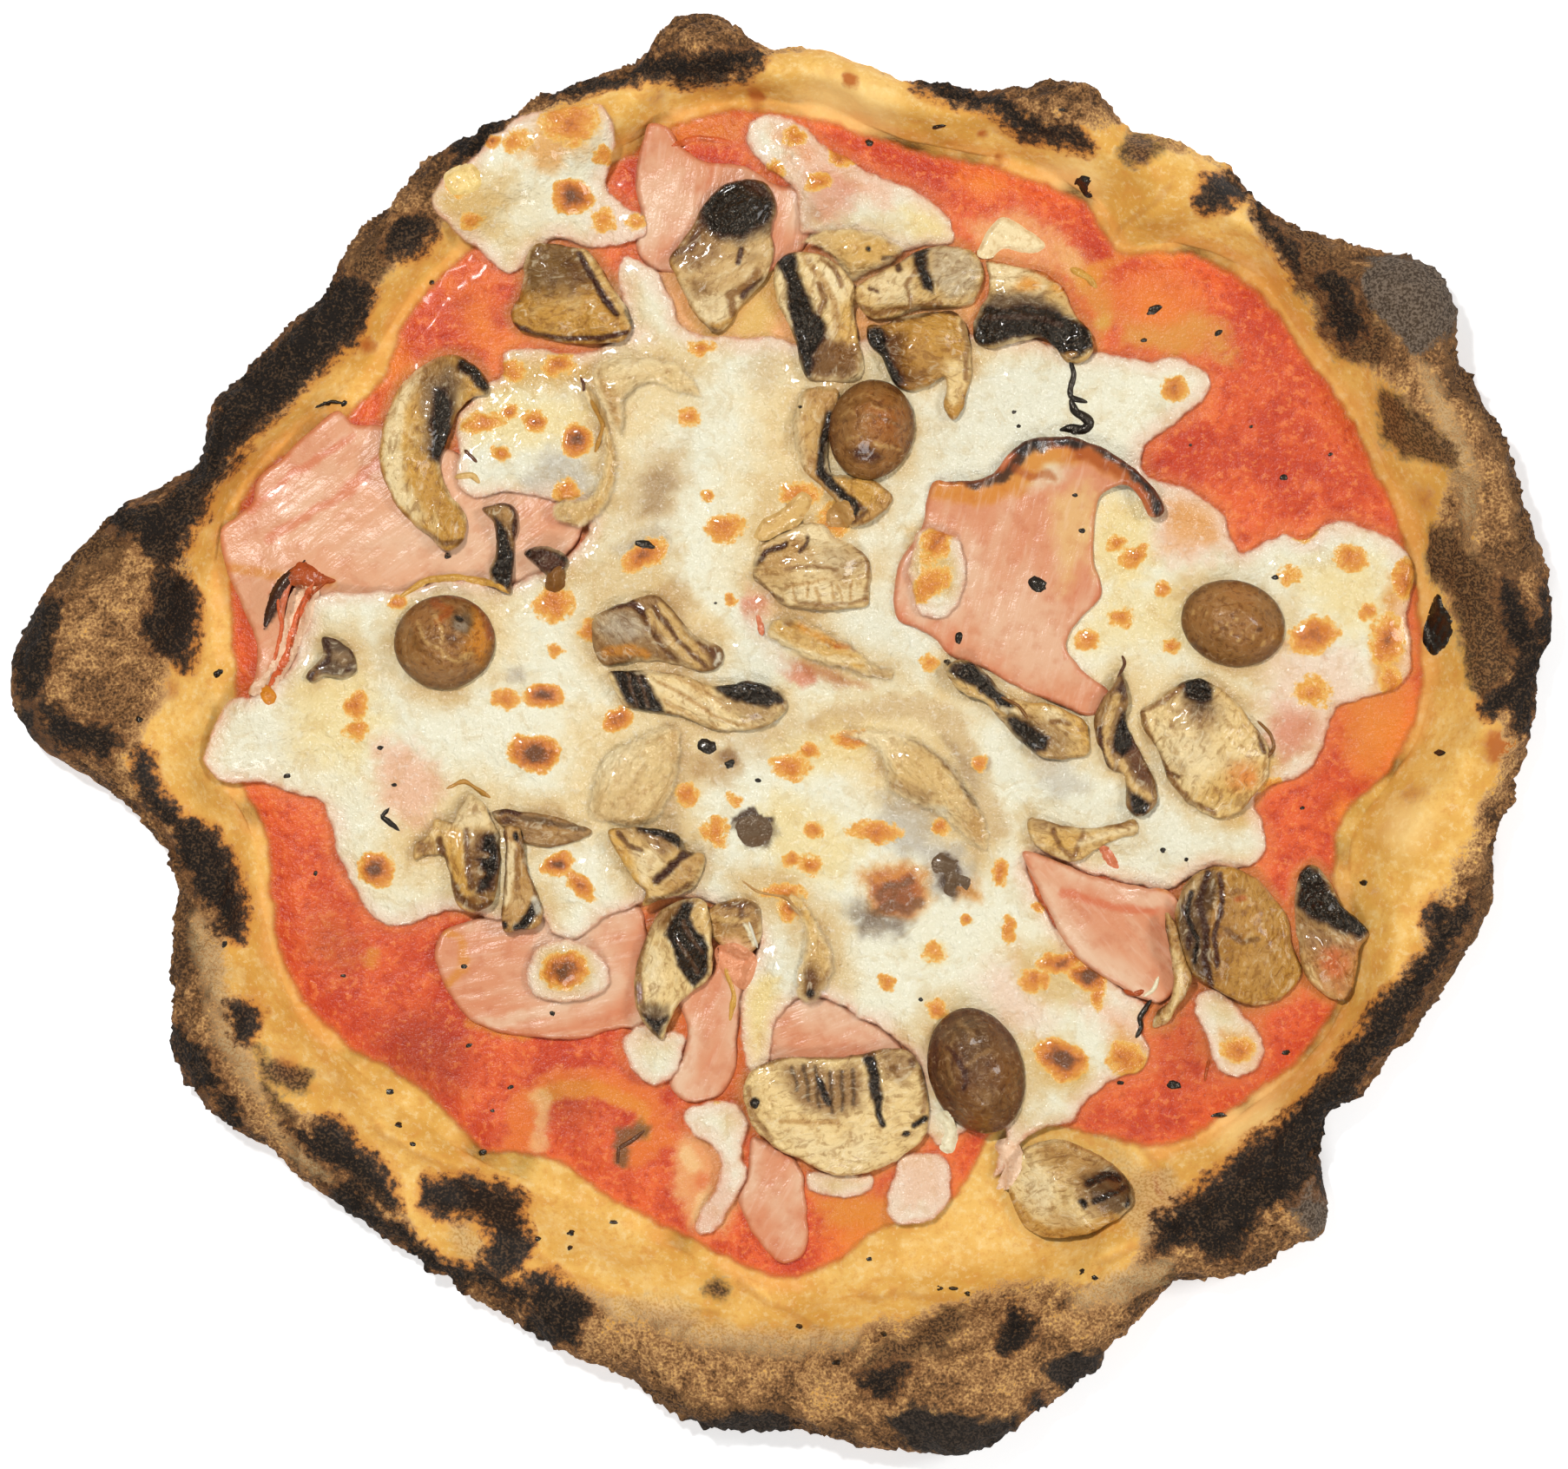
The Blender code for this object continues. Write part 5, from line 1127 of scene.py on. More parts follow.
# see-through, tinted and milky places in the melted cheese
cheeseMarks = (
    ("area", "cream", 4, 0.8, ((-50, 84), (-30, 84), (-16, 80), (-22, 68), (-33, 58), (-38, 64), (-44, 76))),
    ("area", "beige", 3, 0.8, ((-34, 46), (-32, 53), (-27, 61), (-21, 62), (-20, 55), (-23, 47), (-28, 44))),
    ("area", "fawn", 1.6, 0.5, ((-31, 47), (-29, 55), (-24, 58), (-22, 53), (-27, 47))),
    ("area", "butter", 3, 0.7, ((-70, 68), (-66, 77), (-52, 73), (-42, 69), (-44, 62), (-58, 61),
        (-69, 63))),
    ("area", "honey", 2, 0.8, ((-64, 74), (-60, 80), (-50, 83), (-41, 80), (-40, 75), (-52, 74))),
    ("area", "mist", 2, 0.65, ((-56, 54), (-50, 62), (-44, 60), (-40, 54), (-44, 49), (-54, 50))),
    ("area", "shell", 3, 0.7, ((-38, 108), (-33, 92), (-28, 84), (-36, 84), (-42, 92), (-42, 104))),
    ("area", "cream", 4, 0.7, ((-8, 74), (2, 80), (6, 62), (9, 48), (0, 42), (-9, 50), (-6, 62))),
    ("area", "beige", 2.5, 0.6, ((-8, 78), (-2, 84), (1, 78), (-3, 72))),
    ("area", "straw", 2.5, 0.75, ((-8, 42), (-5, 53), (4, 56), (15, 50), (16, 43), (6, 42))),
    ("area", "ivory", 1.2, 0.8, ((-5, 44), (0, 50), (4, 49), (2, 43))),
    ("line", "umber", 0.4, 0.7, ((-2, 44), (2, 47), (1, 51))),
    ("area", "straw", 3, 0.7, ((-46, 34), (-30, 46), (-22, 40), (-26, 28), (-40, 27))),
    ("dot", "bark", 0.6, 0.95, (-29, 40.3, 3.6, 1.4, -10)),
    ("area", "mist", 2, 0.5, ((-36, 40), (-26, 46), (-24, 40), (-32, 36))),
    ("area", "blush", 2, 0.8, ((-8, 24), (-7, 32), (-2, 31), (0, 24))),
    ("line", "rose", 1.8, 0.8, ((-6, 28), (-5, 21), (0, 14.5), (5, 12))),
    ("area", "rust", 1, 0.6, ((-1, 17), (4, 16.5), (10, 14), (19, 11), (14, 10.5), (6, 12))),
    ("area", "straw", 3, 0.7, ((-2, 30), (8, 27), (20, 19), (26, 12), (16, 12), (2, 17), (-4, 24))),
    ("area", "cream", 4, 0.85, ((6, 6), (18, 8), (34, 10), (41, 0), (46, -16), (40, -26), (22, -16),
        (8, -4))),
    ("line", "beige", 2.2, 0.75, ((8, 2), (20, 5), (30, 6), (37, 2), (42, -8), (46, -20))),
    ("area", "fawn", 1.2, 0.5, ((35, 0), (42, -6), (42, -12), (38, -8))),
    ("dot", "hazel", 0.7, 0.8, (43.5, -6.5, 2.4, 2, 30)),
    ("area", "cream", 4, 0.8, ((-46, 6), (-24, 5), (-14, -4), (-20, -20), (-34, -25), (-47, -18))),
    ("area", "beige", 2.5, 0.7, ((-24, 2), (-17, -6), (-22, -20), (-29, -22), (-25, -12))),
    ("area", "tan", 1.6, 0.7, ((-18, -4), (-10, -3), (-8, -9), (-14, -11), (-19, -9))),
    ("dot", "hazel", 0.7, 0.9, (-11.5, -5.5, 2.6, 2.2, 0)),
    ("area", "beige", 3, 0.6, ((-10, 2), (8, 2), (2, -6), (-12, -4))),
    ("dot", "mist", 0.9, 0.8, (-57, 13, 3, 3, 0)),
    ("area", "whey", 3, 0.9, ((-14, 12), (-8, 26), (0, 22), (3, 14), (-3, 9))),
    ("area", "whey", 4, 0.8, ((8, 30), (30, 30), (34, 13), (26, 14), (12, 20))),
    ("area", "whey", 2.5, 0.9, ((-18, -25), (-10, -26), (-8, -35), (-17, -37))),
    ("area", "whey", 3, 0.8, ((-8, -38), (2, -42), (4, -54), (-5, -54))),
    ("area", "mist", 2, 0.7, ((21, -13), (31, -14), (34, -21), (27, -28), (21, -22))),
    ("area", "whey", 4, 0.8, ((36, 75), (60, 82), (76, 82), (56, 66), (40, 58), (30, 62))),
    ("area", "whey", 5, 0.7, ((46, 2), (70, -14), (96, -22), (82, -30), (56, -20), (44, -8))),
    ("area", "butter", 3, 0.7, ((-2, -12), (8, -16), (18, -24), (12, -32), (0, -30), (-6, -20))),
    ("area", "butter", 3, 0.6, ((-2, -2), (10, 2), (20, 2), (18, -6), (4, -10))),
    ("area", "slate", 0.9, 0.85, ((-10.5, -20), (-7, -17.5), (-2, -18.5), (-1, -22), (-4, -24.5),
        (-8, -24))),
    ("line", "bark", 0.5, 0.85, ((-10, -19), (-6, -17.3), (-2, -18.5))),
    ("area", "straw", 3, 0.7, ((-14, -30), (-3, -28), (6, -34), (10, -42), (2, -44), (-4, -38))),
    ("area", "mist", 1.8, 0.8, ((30, -24), (38, -24), (42, -30), (40, -36), (32, -34))),
    ("area", "bark", 0.9, 0.9, ((34.5, -26), (38, -27), (39, -31), (41, -34), (37, -35.5), (34, -31))),
    ("area", "mist", 1.8, 0.8, ((14, -36), (22, -39), (29, -38), (26, -44), (17, -43))),
    ("area", "umber", 1.6, 0.75, ((17, -36), (22, -37), (27, -37), (26, -40.5), (18, -40))),
    ("area", "amber", 1.6, 0.7, ((17, -30), (23, -27), (32, -29), (33, -35), (28, -39.5), (18, -37))),
    ("area", "rust", 1.4, 0.85, ((19, -31), (23, -28.8), (29, -29.5), (31, -32), (30.5, -36), (27, -38.5),
        (21, -37.5), (18.5, -34))),
    ("area", "umber", 2, 0.4, ((20, -32), (28, -31), (30, -36), (22, -37))),
    ("line", "umber", 0.9, 0.45, ((20, -34.5), (23, -32.5), (25, -33.5), (28, -31.5))),
    ("line", "umber", 0.9, 0.5, ((21, -37.5), (24, -36), (27, -37.5), (30, -35.5))),
    ("line", "amber", 0.6, 0.6, ((20, -31.5), (24, -30), (27, -29.8))),
    ("area", "slate", 2, 0.45, ((14, -37), (22, -40), (28, -41), (26, -43), (17, -42))),
    ("area", "amber", 1.6, 0.7, ((38, -31), (42, -32), (43, -36), (38, -36))),
    ("area", "butter", 1.2, 0.9, ((30, -45), (35, -45), (36, -49), (31, -49))),
    ("area", "butter", 1.6, 0.95, ((-9, -53), (-1, -52), (0, -60), (-3, -69), (-7, -73), (-9, -64))),
    ("area", "shell", 4, 0.8, ((42, -52), (50, -47), (58, -58), (56, -66), (46, -62))),
    ("area", "honey", 2.5, 0.6, ((48, -47), (58, -44), (68, -47), (69, -58), (56, -58))),
    ("area", "bark", 1, 0.6, ((62, -49), (68, -50), (68, -54), (65, -52.5))),
    ("area", "amber", 2, 0.75, ((71, -62), (78, -64), (81, -72), (77, -77), (71, -74))),
    ("area", "honey", 2.5, 0.8, ((52, -66), (62, -66), (68, -74), (64, -78), (54, -74))),
    ("area", "blush", 3, 0.7, ((64, -58), (76, -58), (80, -66), (70, -64))),
    ("area", "honey", 2.5, 0.8, ((98, -4), (108, -5), (107, -17), (97, -20))),
    ("area", "rose", 3, 0.8, ((108, 8), (118, 4), (118, -2), (108, -6), (104, 0))),
    ("area", "shell", 4, 0.8, ((104, 18), (124, 18), (124, 4), (104, 6))),
    ("area", "butter", 4, 0.7, ((108, 36), (128, 38), (132, 20), (120, 22))),
    ("area", "amber", 1.6, 0.8, ((127, 8), (134, 10), (137, 28), (131, 34), (128, 20))),
    ("area", "rust", 1.5, 0.75, ((109, 19), (114, 23), (119, 22), (116, 17.5))),
    ("area", "blush", 3, 0.8, ((80, 38), (80, 50), (90, 56), (97, 53), (98, 42), (88, 36))),
    ("area", "amber", 2.5, 0.6, ((84, 40), (84, 50), (94, 52), (94, 42))),
    ("area", "butter", 3, 0.8, ((68, 52), (78, 50), (80, 36), (72, 30), (66, 38))),
    ("area", "butter", 4, 0.6, ((62, 18), (90, 18), (86, 32), (68, 30))),
    ("area", "cream", 5, 0.7, ((76, 16), (84, 12), (80, 0), (72, -4), (66, 6))),
    ("area", "mist", 2, 0.5, ((52, -2), (60, -4), (66, -12), (58, -14))),
    ("area", "amber", 2.5, 0.7, ((-57, 124), (-50, 134), (-44, 139), (-37, 134), (-42, 125), (-50, 121))),
    ("area", "honey", 4, 0.7, ((-77, 106), (-60, 106), (-58, 118), (-72, 120))),
    ("area", "shell", 3, 0.8, ((-41, 114), (-29, 114), (-29, 104), (-40, 104))),
    ("area", "blush", 2.5, 0.85, ((-2, 120), (8, 131), (22, 127), (24, 113), (14, 116))),
    ("area", "orange", 2, 0.5, ((-2, 130), (4, 133), (10, 129), (6, 124), (0, 125))),
    ("area", "rose", 2, 0.6, ((2, 118), (10, 121), (18, 117), (12, 110), (4, 109))),
    ("area", "honey", 2, 0.7, ((-2, 112), (2, 120), (6, 116), (5, 107))),
    ("line", "shell", 1.2, 0.7, ((4, 130), (12, 126), (24, 122))),
    ("area", "butter", 3, 0.8, ((25, 112), (33, 116), (40, 106), (31, 102))),
    ("area", "fawn", 1.5, 0.6, ((-2, 108), (4, 118), (8, 112), (6, 106))),
    ("area", "blush", 3, 0.7, ((40, 98), (56, 104), (60, 96), (46, 92))),
    ("area", "honey", 2.5, 0.7, ((-55, -44), (-40, -45), (-40, -56), (-50, -60))),
    ("area", "cream", 5, 0.6, ((-84, -8), (-60, -10), (-50, -40), (-66, -42), (-86, -30))),
    ("area", "butter", 4, 0.7, ((-104, 10), (-90, 14), (-84, 2), (-92, -8), (-104, -4))),
    ("area", "blush", 3, 0.85, ((-87, -2), (-80, -2), (-72, -10), (-76, -20), (-86, -16))),
    ("area", "cream", 4, 0.7, ((-84, 34), (-58, 34), (-56, 16), (-64, 12), (-82, 14))),
    ("area", "beige", 2, 0.7, ((-82, 29), (-78, 33), (-66, 34), (-58, 31), (-60, 28), (-72, 30))),
    ("area", "rose", 3, 0.6, ((-22, -96), (-12, -94), (-10, -108), (-20, -108))),
    ("area", "blush", 2.5, 0.7, ((24, -90), (36, -88), (38, -100), (26, -104))),
    ("area", "amber", 2, 0.7, ((94, -64), (103, -64), (104, -72), (96, -72))),
    ("area", "honey", 2, 0.7, ((24, 30), (38, 30), (36, 46), (28, 44))),
    ("area", "cream", 3, 0.6, ((-36, 26), (-20, 30), (-10, 20), (-12, 14), (-26, 18))),
    ("area", "tan", 1.5, 0.5, ((-28, 30), (-22, 34), (-18, 28), (-24, 25))),
)


def makeCheese():
    material = cheeseMaterial()
    mushroomRims = np.vstack((rimsOf("mushroom"), rimsOf("olive")))
    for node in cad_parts:
        if not node.startswith("cheese"):
            continue
        sheet = Sheet(node, **cheese["sheet"])
        x, y = sheet.x, sheet.y
        paint = Paint(x, y, "milk", 1.6)
        paint.lay("cream", 0.55 * ramp(0.0, 0.7, cloud(x, y, 24, 71, 4)))
        paint.lay("whey", 0.6 * ramp(0.0, 0.6, cloud(x, y, 20, 72, 3)))
        near = np.clip(1 - rimDistance(x, y, mushroomRims) / 9, 0, 1) * (0.7 + 0.7 * cloud(x, y, 8, 73, 3))
        paint.lay("straw", 0.75 * ramp(0.1, 0.8, near))
        paint.marks(cheeseMarks)
        paint.lay("tan", 0.6 * ramp(0.62, 1.1, near))
        paint.lay("shell", 0.7 * ramp(5.0, 0.5, sheet.rim + 2.0 * cloud(x, y, 6, 74, 3)))
        paint.lay("rose", 0.5 * ramp(1.6, 0.2, sheet.rim + 0.8 * paint.grain))
        sheet.masks["paint"] = paint.result(cheese["tint"])
        wx, wy = x + 1.1 * cloud(x, y, 3, 21, 3), y + 1.1 * cloud(x, y, 3, 22, 3)
        sheet.masks["browned"] = spots(wx, wy, browned)
        sheet.masks["cover"] = np.clip(sheet.rim / 1.6, 0, 1)
        full = np.clip(sheet.rim / 4, 0, 1)
        sheet.z += full * (0.5 * cloud(x, y, 12, 24, 3) + 0.35 * cloud(x, y, 4.5, 25, 3) + paint.relief(0.25))
        sheet.z += 0.1 * cloud(x, y, 1.8, 26, 2) + 0.4 * ramp(0.1, 0.8, sheet.masks["browned"])
        sheet.build(material)


def cheeseMaterial():
    g = Graph("melted_mozzarella")
    patch, curd, fine = g.noise(4.5, 4.0, 0.6), g.noise(1.6, 3.0, 0.6), g.noise(0.6, 2.0)
    milk = g.shade(patch.above(0.5, 0.3) * 0.4, g.colour("paint"), srgb(238, 222, 190))
    milk = g.mix(curd.above(0.56, 0.7) * 0.25, milk, srgb(248, 244, 228))
    bent = g.noise(6.0, 3.0, 0.6, 1.2)
    milk = g.shade(bent.above(0.47, 0.35) * 0.3, milk, srgb(226, 202, 158))
    near = g.mask("browned").above(0.0, 0.12)
    spot = g.mask("browned") + ((patch - 0.5) * 0.6 + (curd - 0.5) * 0.8 + (fine - 0.5) * 0.25) * near
    scorch = g.ramp(spot * 0.8, (0.0, (238, 208, 130)), (0.14, (232, 178, 84)), (0.3, (222, 148, 58)),
                    (0.56, (204, 118, 42)), (0.76, (164, 92, 38)), (1.0, (112, 66, 30)))
    milk = g.mix(spot.above(0.02, 0.24), milk, scorch)
    height = (patch - 0.5) * 0.6 + (curd - 0.5) * 0.7 + (bent - 0.5) * 0.4 + (fine - 0.5) * 0.1
    seen = (g.mask("cover") + (patch - 0.5) * 0.7 + (curd - 0.5) * 0.4).above(0.1, 0.6)
    return g.finish(milk, 0.18, height, coat=0.3, coatRoughness=0.05, alpha=seen, Specular_IOR_Level=0.4)


ham = {
    "sheet": {"step": 0.6, "ragged": 0.5, "raggedSize": 5, "rounding": 0.8, "foot": 0.25, "soften": 1.4},
    "tint": (0.88, 0.79, 0.66),
}

# each slice: the way its fibres run in degrees, and the marks on it
hamLooks = {
    "ham_top": (80, (("area", "shell", 5, 0.7, ((-44, 122), (-22, 122), (-14, 108), (-34, 104))),
                     ("line", "coral", 1.2, 0.5, ((-36, 128), (-33, 118), (-34, 108))))),
    "ham_left": (38, (
        ("area", "blush", 6, 0.8, ((-126, 30), (-124, 58), (-106, 80), (-70, 76), (-44, 40), (-60, 18),
            (-104, 14))),
        ("area", "shell", 5, 0.5, ((-112, 44), (-104, 62), (-94, 56), (-98, 42))),
        ("area", "pink", 3, 0.6, ((-120, 40), (-112, 58), (-100, 70), (-92, 70), (-98, 60), (-112, 42))),
        ("area", "shell", 5, 0.75, ((-92, 40), (-76, 50), (-60, 46), (-50, 34), (-72, 34))),
        ("area", "blush", 3, 0.8, ((-84, 52), (-90, 60), (-86, 70), (-78, 64))),
        ("line", "coral", 0.9, 0.5, ((-84, 60), (-96, 50), (-110, 42))),
        ("line", "coral", 0.7, 0.5, ((-92, 64), (-104, 56), (-114, 48))),
        ("line", "amber", 0.9, 0.6, ((-122, 36), (-108, 34), (-96, 32))),
        ("area", "coral", 1.4, 0.75, ((-109, 30), (-102, 35), (-98, 32), (-101, 27), (-106, 24))),
        ("line", "rust", 0.9, 0.8, ((-105, 26), (-107, 18), (-110, 9))),
        ("dot", "amber", 0.7, 0.9, (-110, 8, 2.4, 3, 0)),
        ("line", "coral", 0.6, 0.7, ((-101, 27), (-104, 19), (-109, 12))),
        ("area", "soot", 0.35, 1, ((-110.6, 22.5), (-110, 28), (-107.5, 32.5), (-102, 36.5), (-104, 33.5),
            (-106.4, 30.5),
                                     (-108, 27))),
    )),
    "ham_right": (75, (
        ("area", "shell", 5, 0.7, ((40, 28), (52, 36), (66, 20), (64, 12), (52, 10), (42, 20))),
        ("area", "milk", 2, 0.9, ((48, 57), (55, 63), (62, 58), (58, 53), (50, 53))),
        ("area", "butter", 2.5, 0.9, ((67, 50), (78, 50), (80, 40), (74, 30), (67, 36))),
        ("area", "butter", 2, 0.6, ((60, 30), (68, 44), (66, 54), (58, 50))),
        ("line", "amber", 2.4, 0.85, ((34, 53), (43, 51.5), (50, 54), (56, 60), (66, 60.5), (75, 56))),
        ("line", "rust", 1.1, 0.9, ((34, 55.5), (42, 54.5), (48, 56.5), (51, 60.5), (56, 63), (64, 62))),
        ("line", "bark", 0.9, 0.9, ((37, 54.5), (42, 53.6), (48, 55.5), (52, 60), (57, 62.5))),
        ("line", "rust", 1.6, 0.8, ((64, 60), (72, 57), (77, 52.5), (80, 48))),
        ("line", "soot", 1.5, 1, ((50, 61.5), (58, 63.8), (66, 63), (73, 59.5), (78, 54.5), (81, 50),
            (82, 46))),
        ("line", "rust", 0.8, 0.6, ((50, 57), (54, 55), (58, 55))),
    )),
    "ham_lower_left": (10, (
        ("area", "shell", 3, 0.7, ((-92, -38), (-78, -36), (-60, -38), (-76, -42))),
        ("line", "amber", 0.8, 0.7, ((-73, -42), (-69, -44), (-68, -50), (-72, -54))),
        ("line", "shell", 1.2, 0.8, ((-92, -48), (-84, -57), (-72, -62), (-60, -62), (-46, -58))),
    )),
    "ham_lower_right": (-50, (
        ("area", "shell", 3, 0.6, ((54, -26), (58, -38), (66, -48), (60, -36))),
        ("line", "amber", 0.9, 0.75, ((54, -24), (64, -28), (74, -31), (84, -33))),
        ("line", "coral", 0.7, 0.6, ((60, -34), (70, -37), (80, -38))),
        ("line", "shell", 1, 0.7, ((58, -40), (68, -50), (78, -56))),
    )),
    "ham_bottom": (60, (("area", "shell", 2.5, 0.6, ((0, -96), (4, -106), (8, -112), (2, -112),
        (-4, -98))),)),
    "ham_bottom_middle": (20, (("area", "shell", 3, 0.6, ((2, -60), (10, -58), (20, -66), (8, -66))),)),
    "ham_lower_middle": (70, (("line", "shell", 1.6, 0.6, ((-22, -56), (-20, -70), (-24, -82))),)),
}


def makeHam():
    material = hamMaterial()
    cheeseRims = rimsOf("cheese")
    for node, (grain, marks) in hamLooks.items():
        sheet = Sheet(node, **ham["sheet"])
        x, y = sheet.x, sheet.y
        along, across = sheet.setGrain(grain)
        paint = Paint(x, y, "pink", 1.0)
        paint.lay("rose", 0.6 * ramp(0.0, 0.8, cloud(x, y, 16, 33, 3)))
        paint.lay("coral", 0.35 * ramp(0.2, 0.8, cloud(along * 0.12, across, 3.0, 34, 3)))
        paint.lay("shell", 0.45 * ramp(0.1, 0.8, cloud(along * 0.2, across, 3.5, 35, 3)))
        milky = np.clip(1 - rimDistance(x, y, cheeseRims) / 8, 0, 1) * (0.8 + 0.8 * cloud(x, y, 7, 36, 3))
        paint.lay("shell", 0.8 * ramp(0.2, 0.9, milky))
        paint.marks(marks)
        paint.lay("coral", 0.4 * ramp(1.4, 0.0, sheet.rim + 0.8 * paint.grain))
        sheet.masks["paint"] = paint.result(ham["tint"])
        fibres = 0.12 * cloud(along * 0.2, across, 1.6, 31, 2)
        sheet.z += fibres + 0.35 * cloud(x, y, 9, 32, 3) + paint.relief(0.3)
        sheet.build(material)


def hamMaterial():
    g = Graph("cooked_ham")
    along = g.along(6.0)
    fibre, strand = g.noise(1.6, 3.0, 0.6, place=along), g.noise(0.6, 2.0, place=along)
    patch, fine = g.noise(3.5, 4.0, 0.6), g.noise(0.6, 2.0)
    pink = g.shade(patch.above(0.52, 0.32) * 0.4, g.colour("paint"), srgb(232, 196, 176))
    pink = g.mix(fibre.above(0.52, 0.68) * 0.18, pink, srgb(248, 214, 186))
    height = (patch - 0.5) * 0.3 + (fibre - 0.5) * 0.15 + (strand - 0.5) * 0.06 + (fine - 0.5) * 0.06
    return g.finish(pink, 0.3, height, coat=0.1, coatRoughness=0.1, Specular_IOR_Level=0.4)


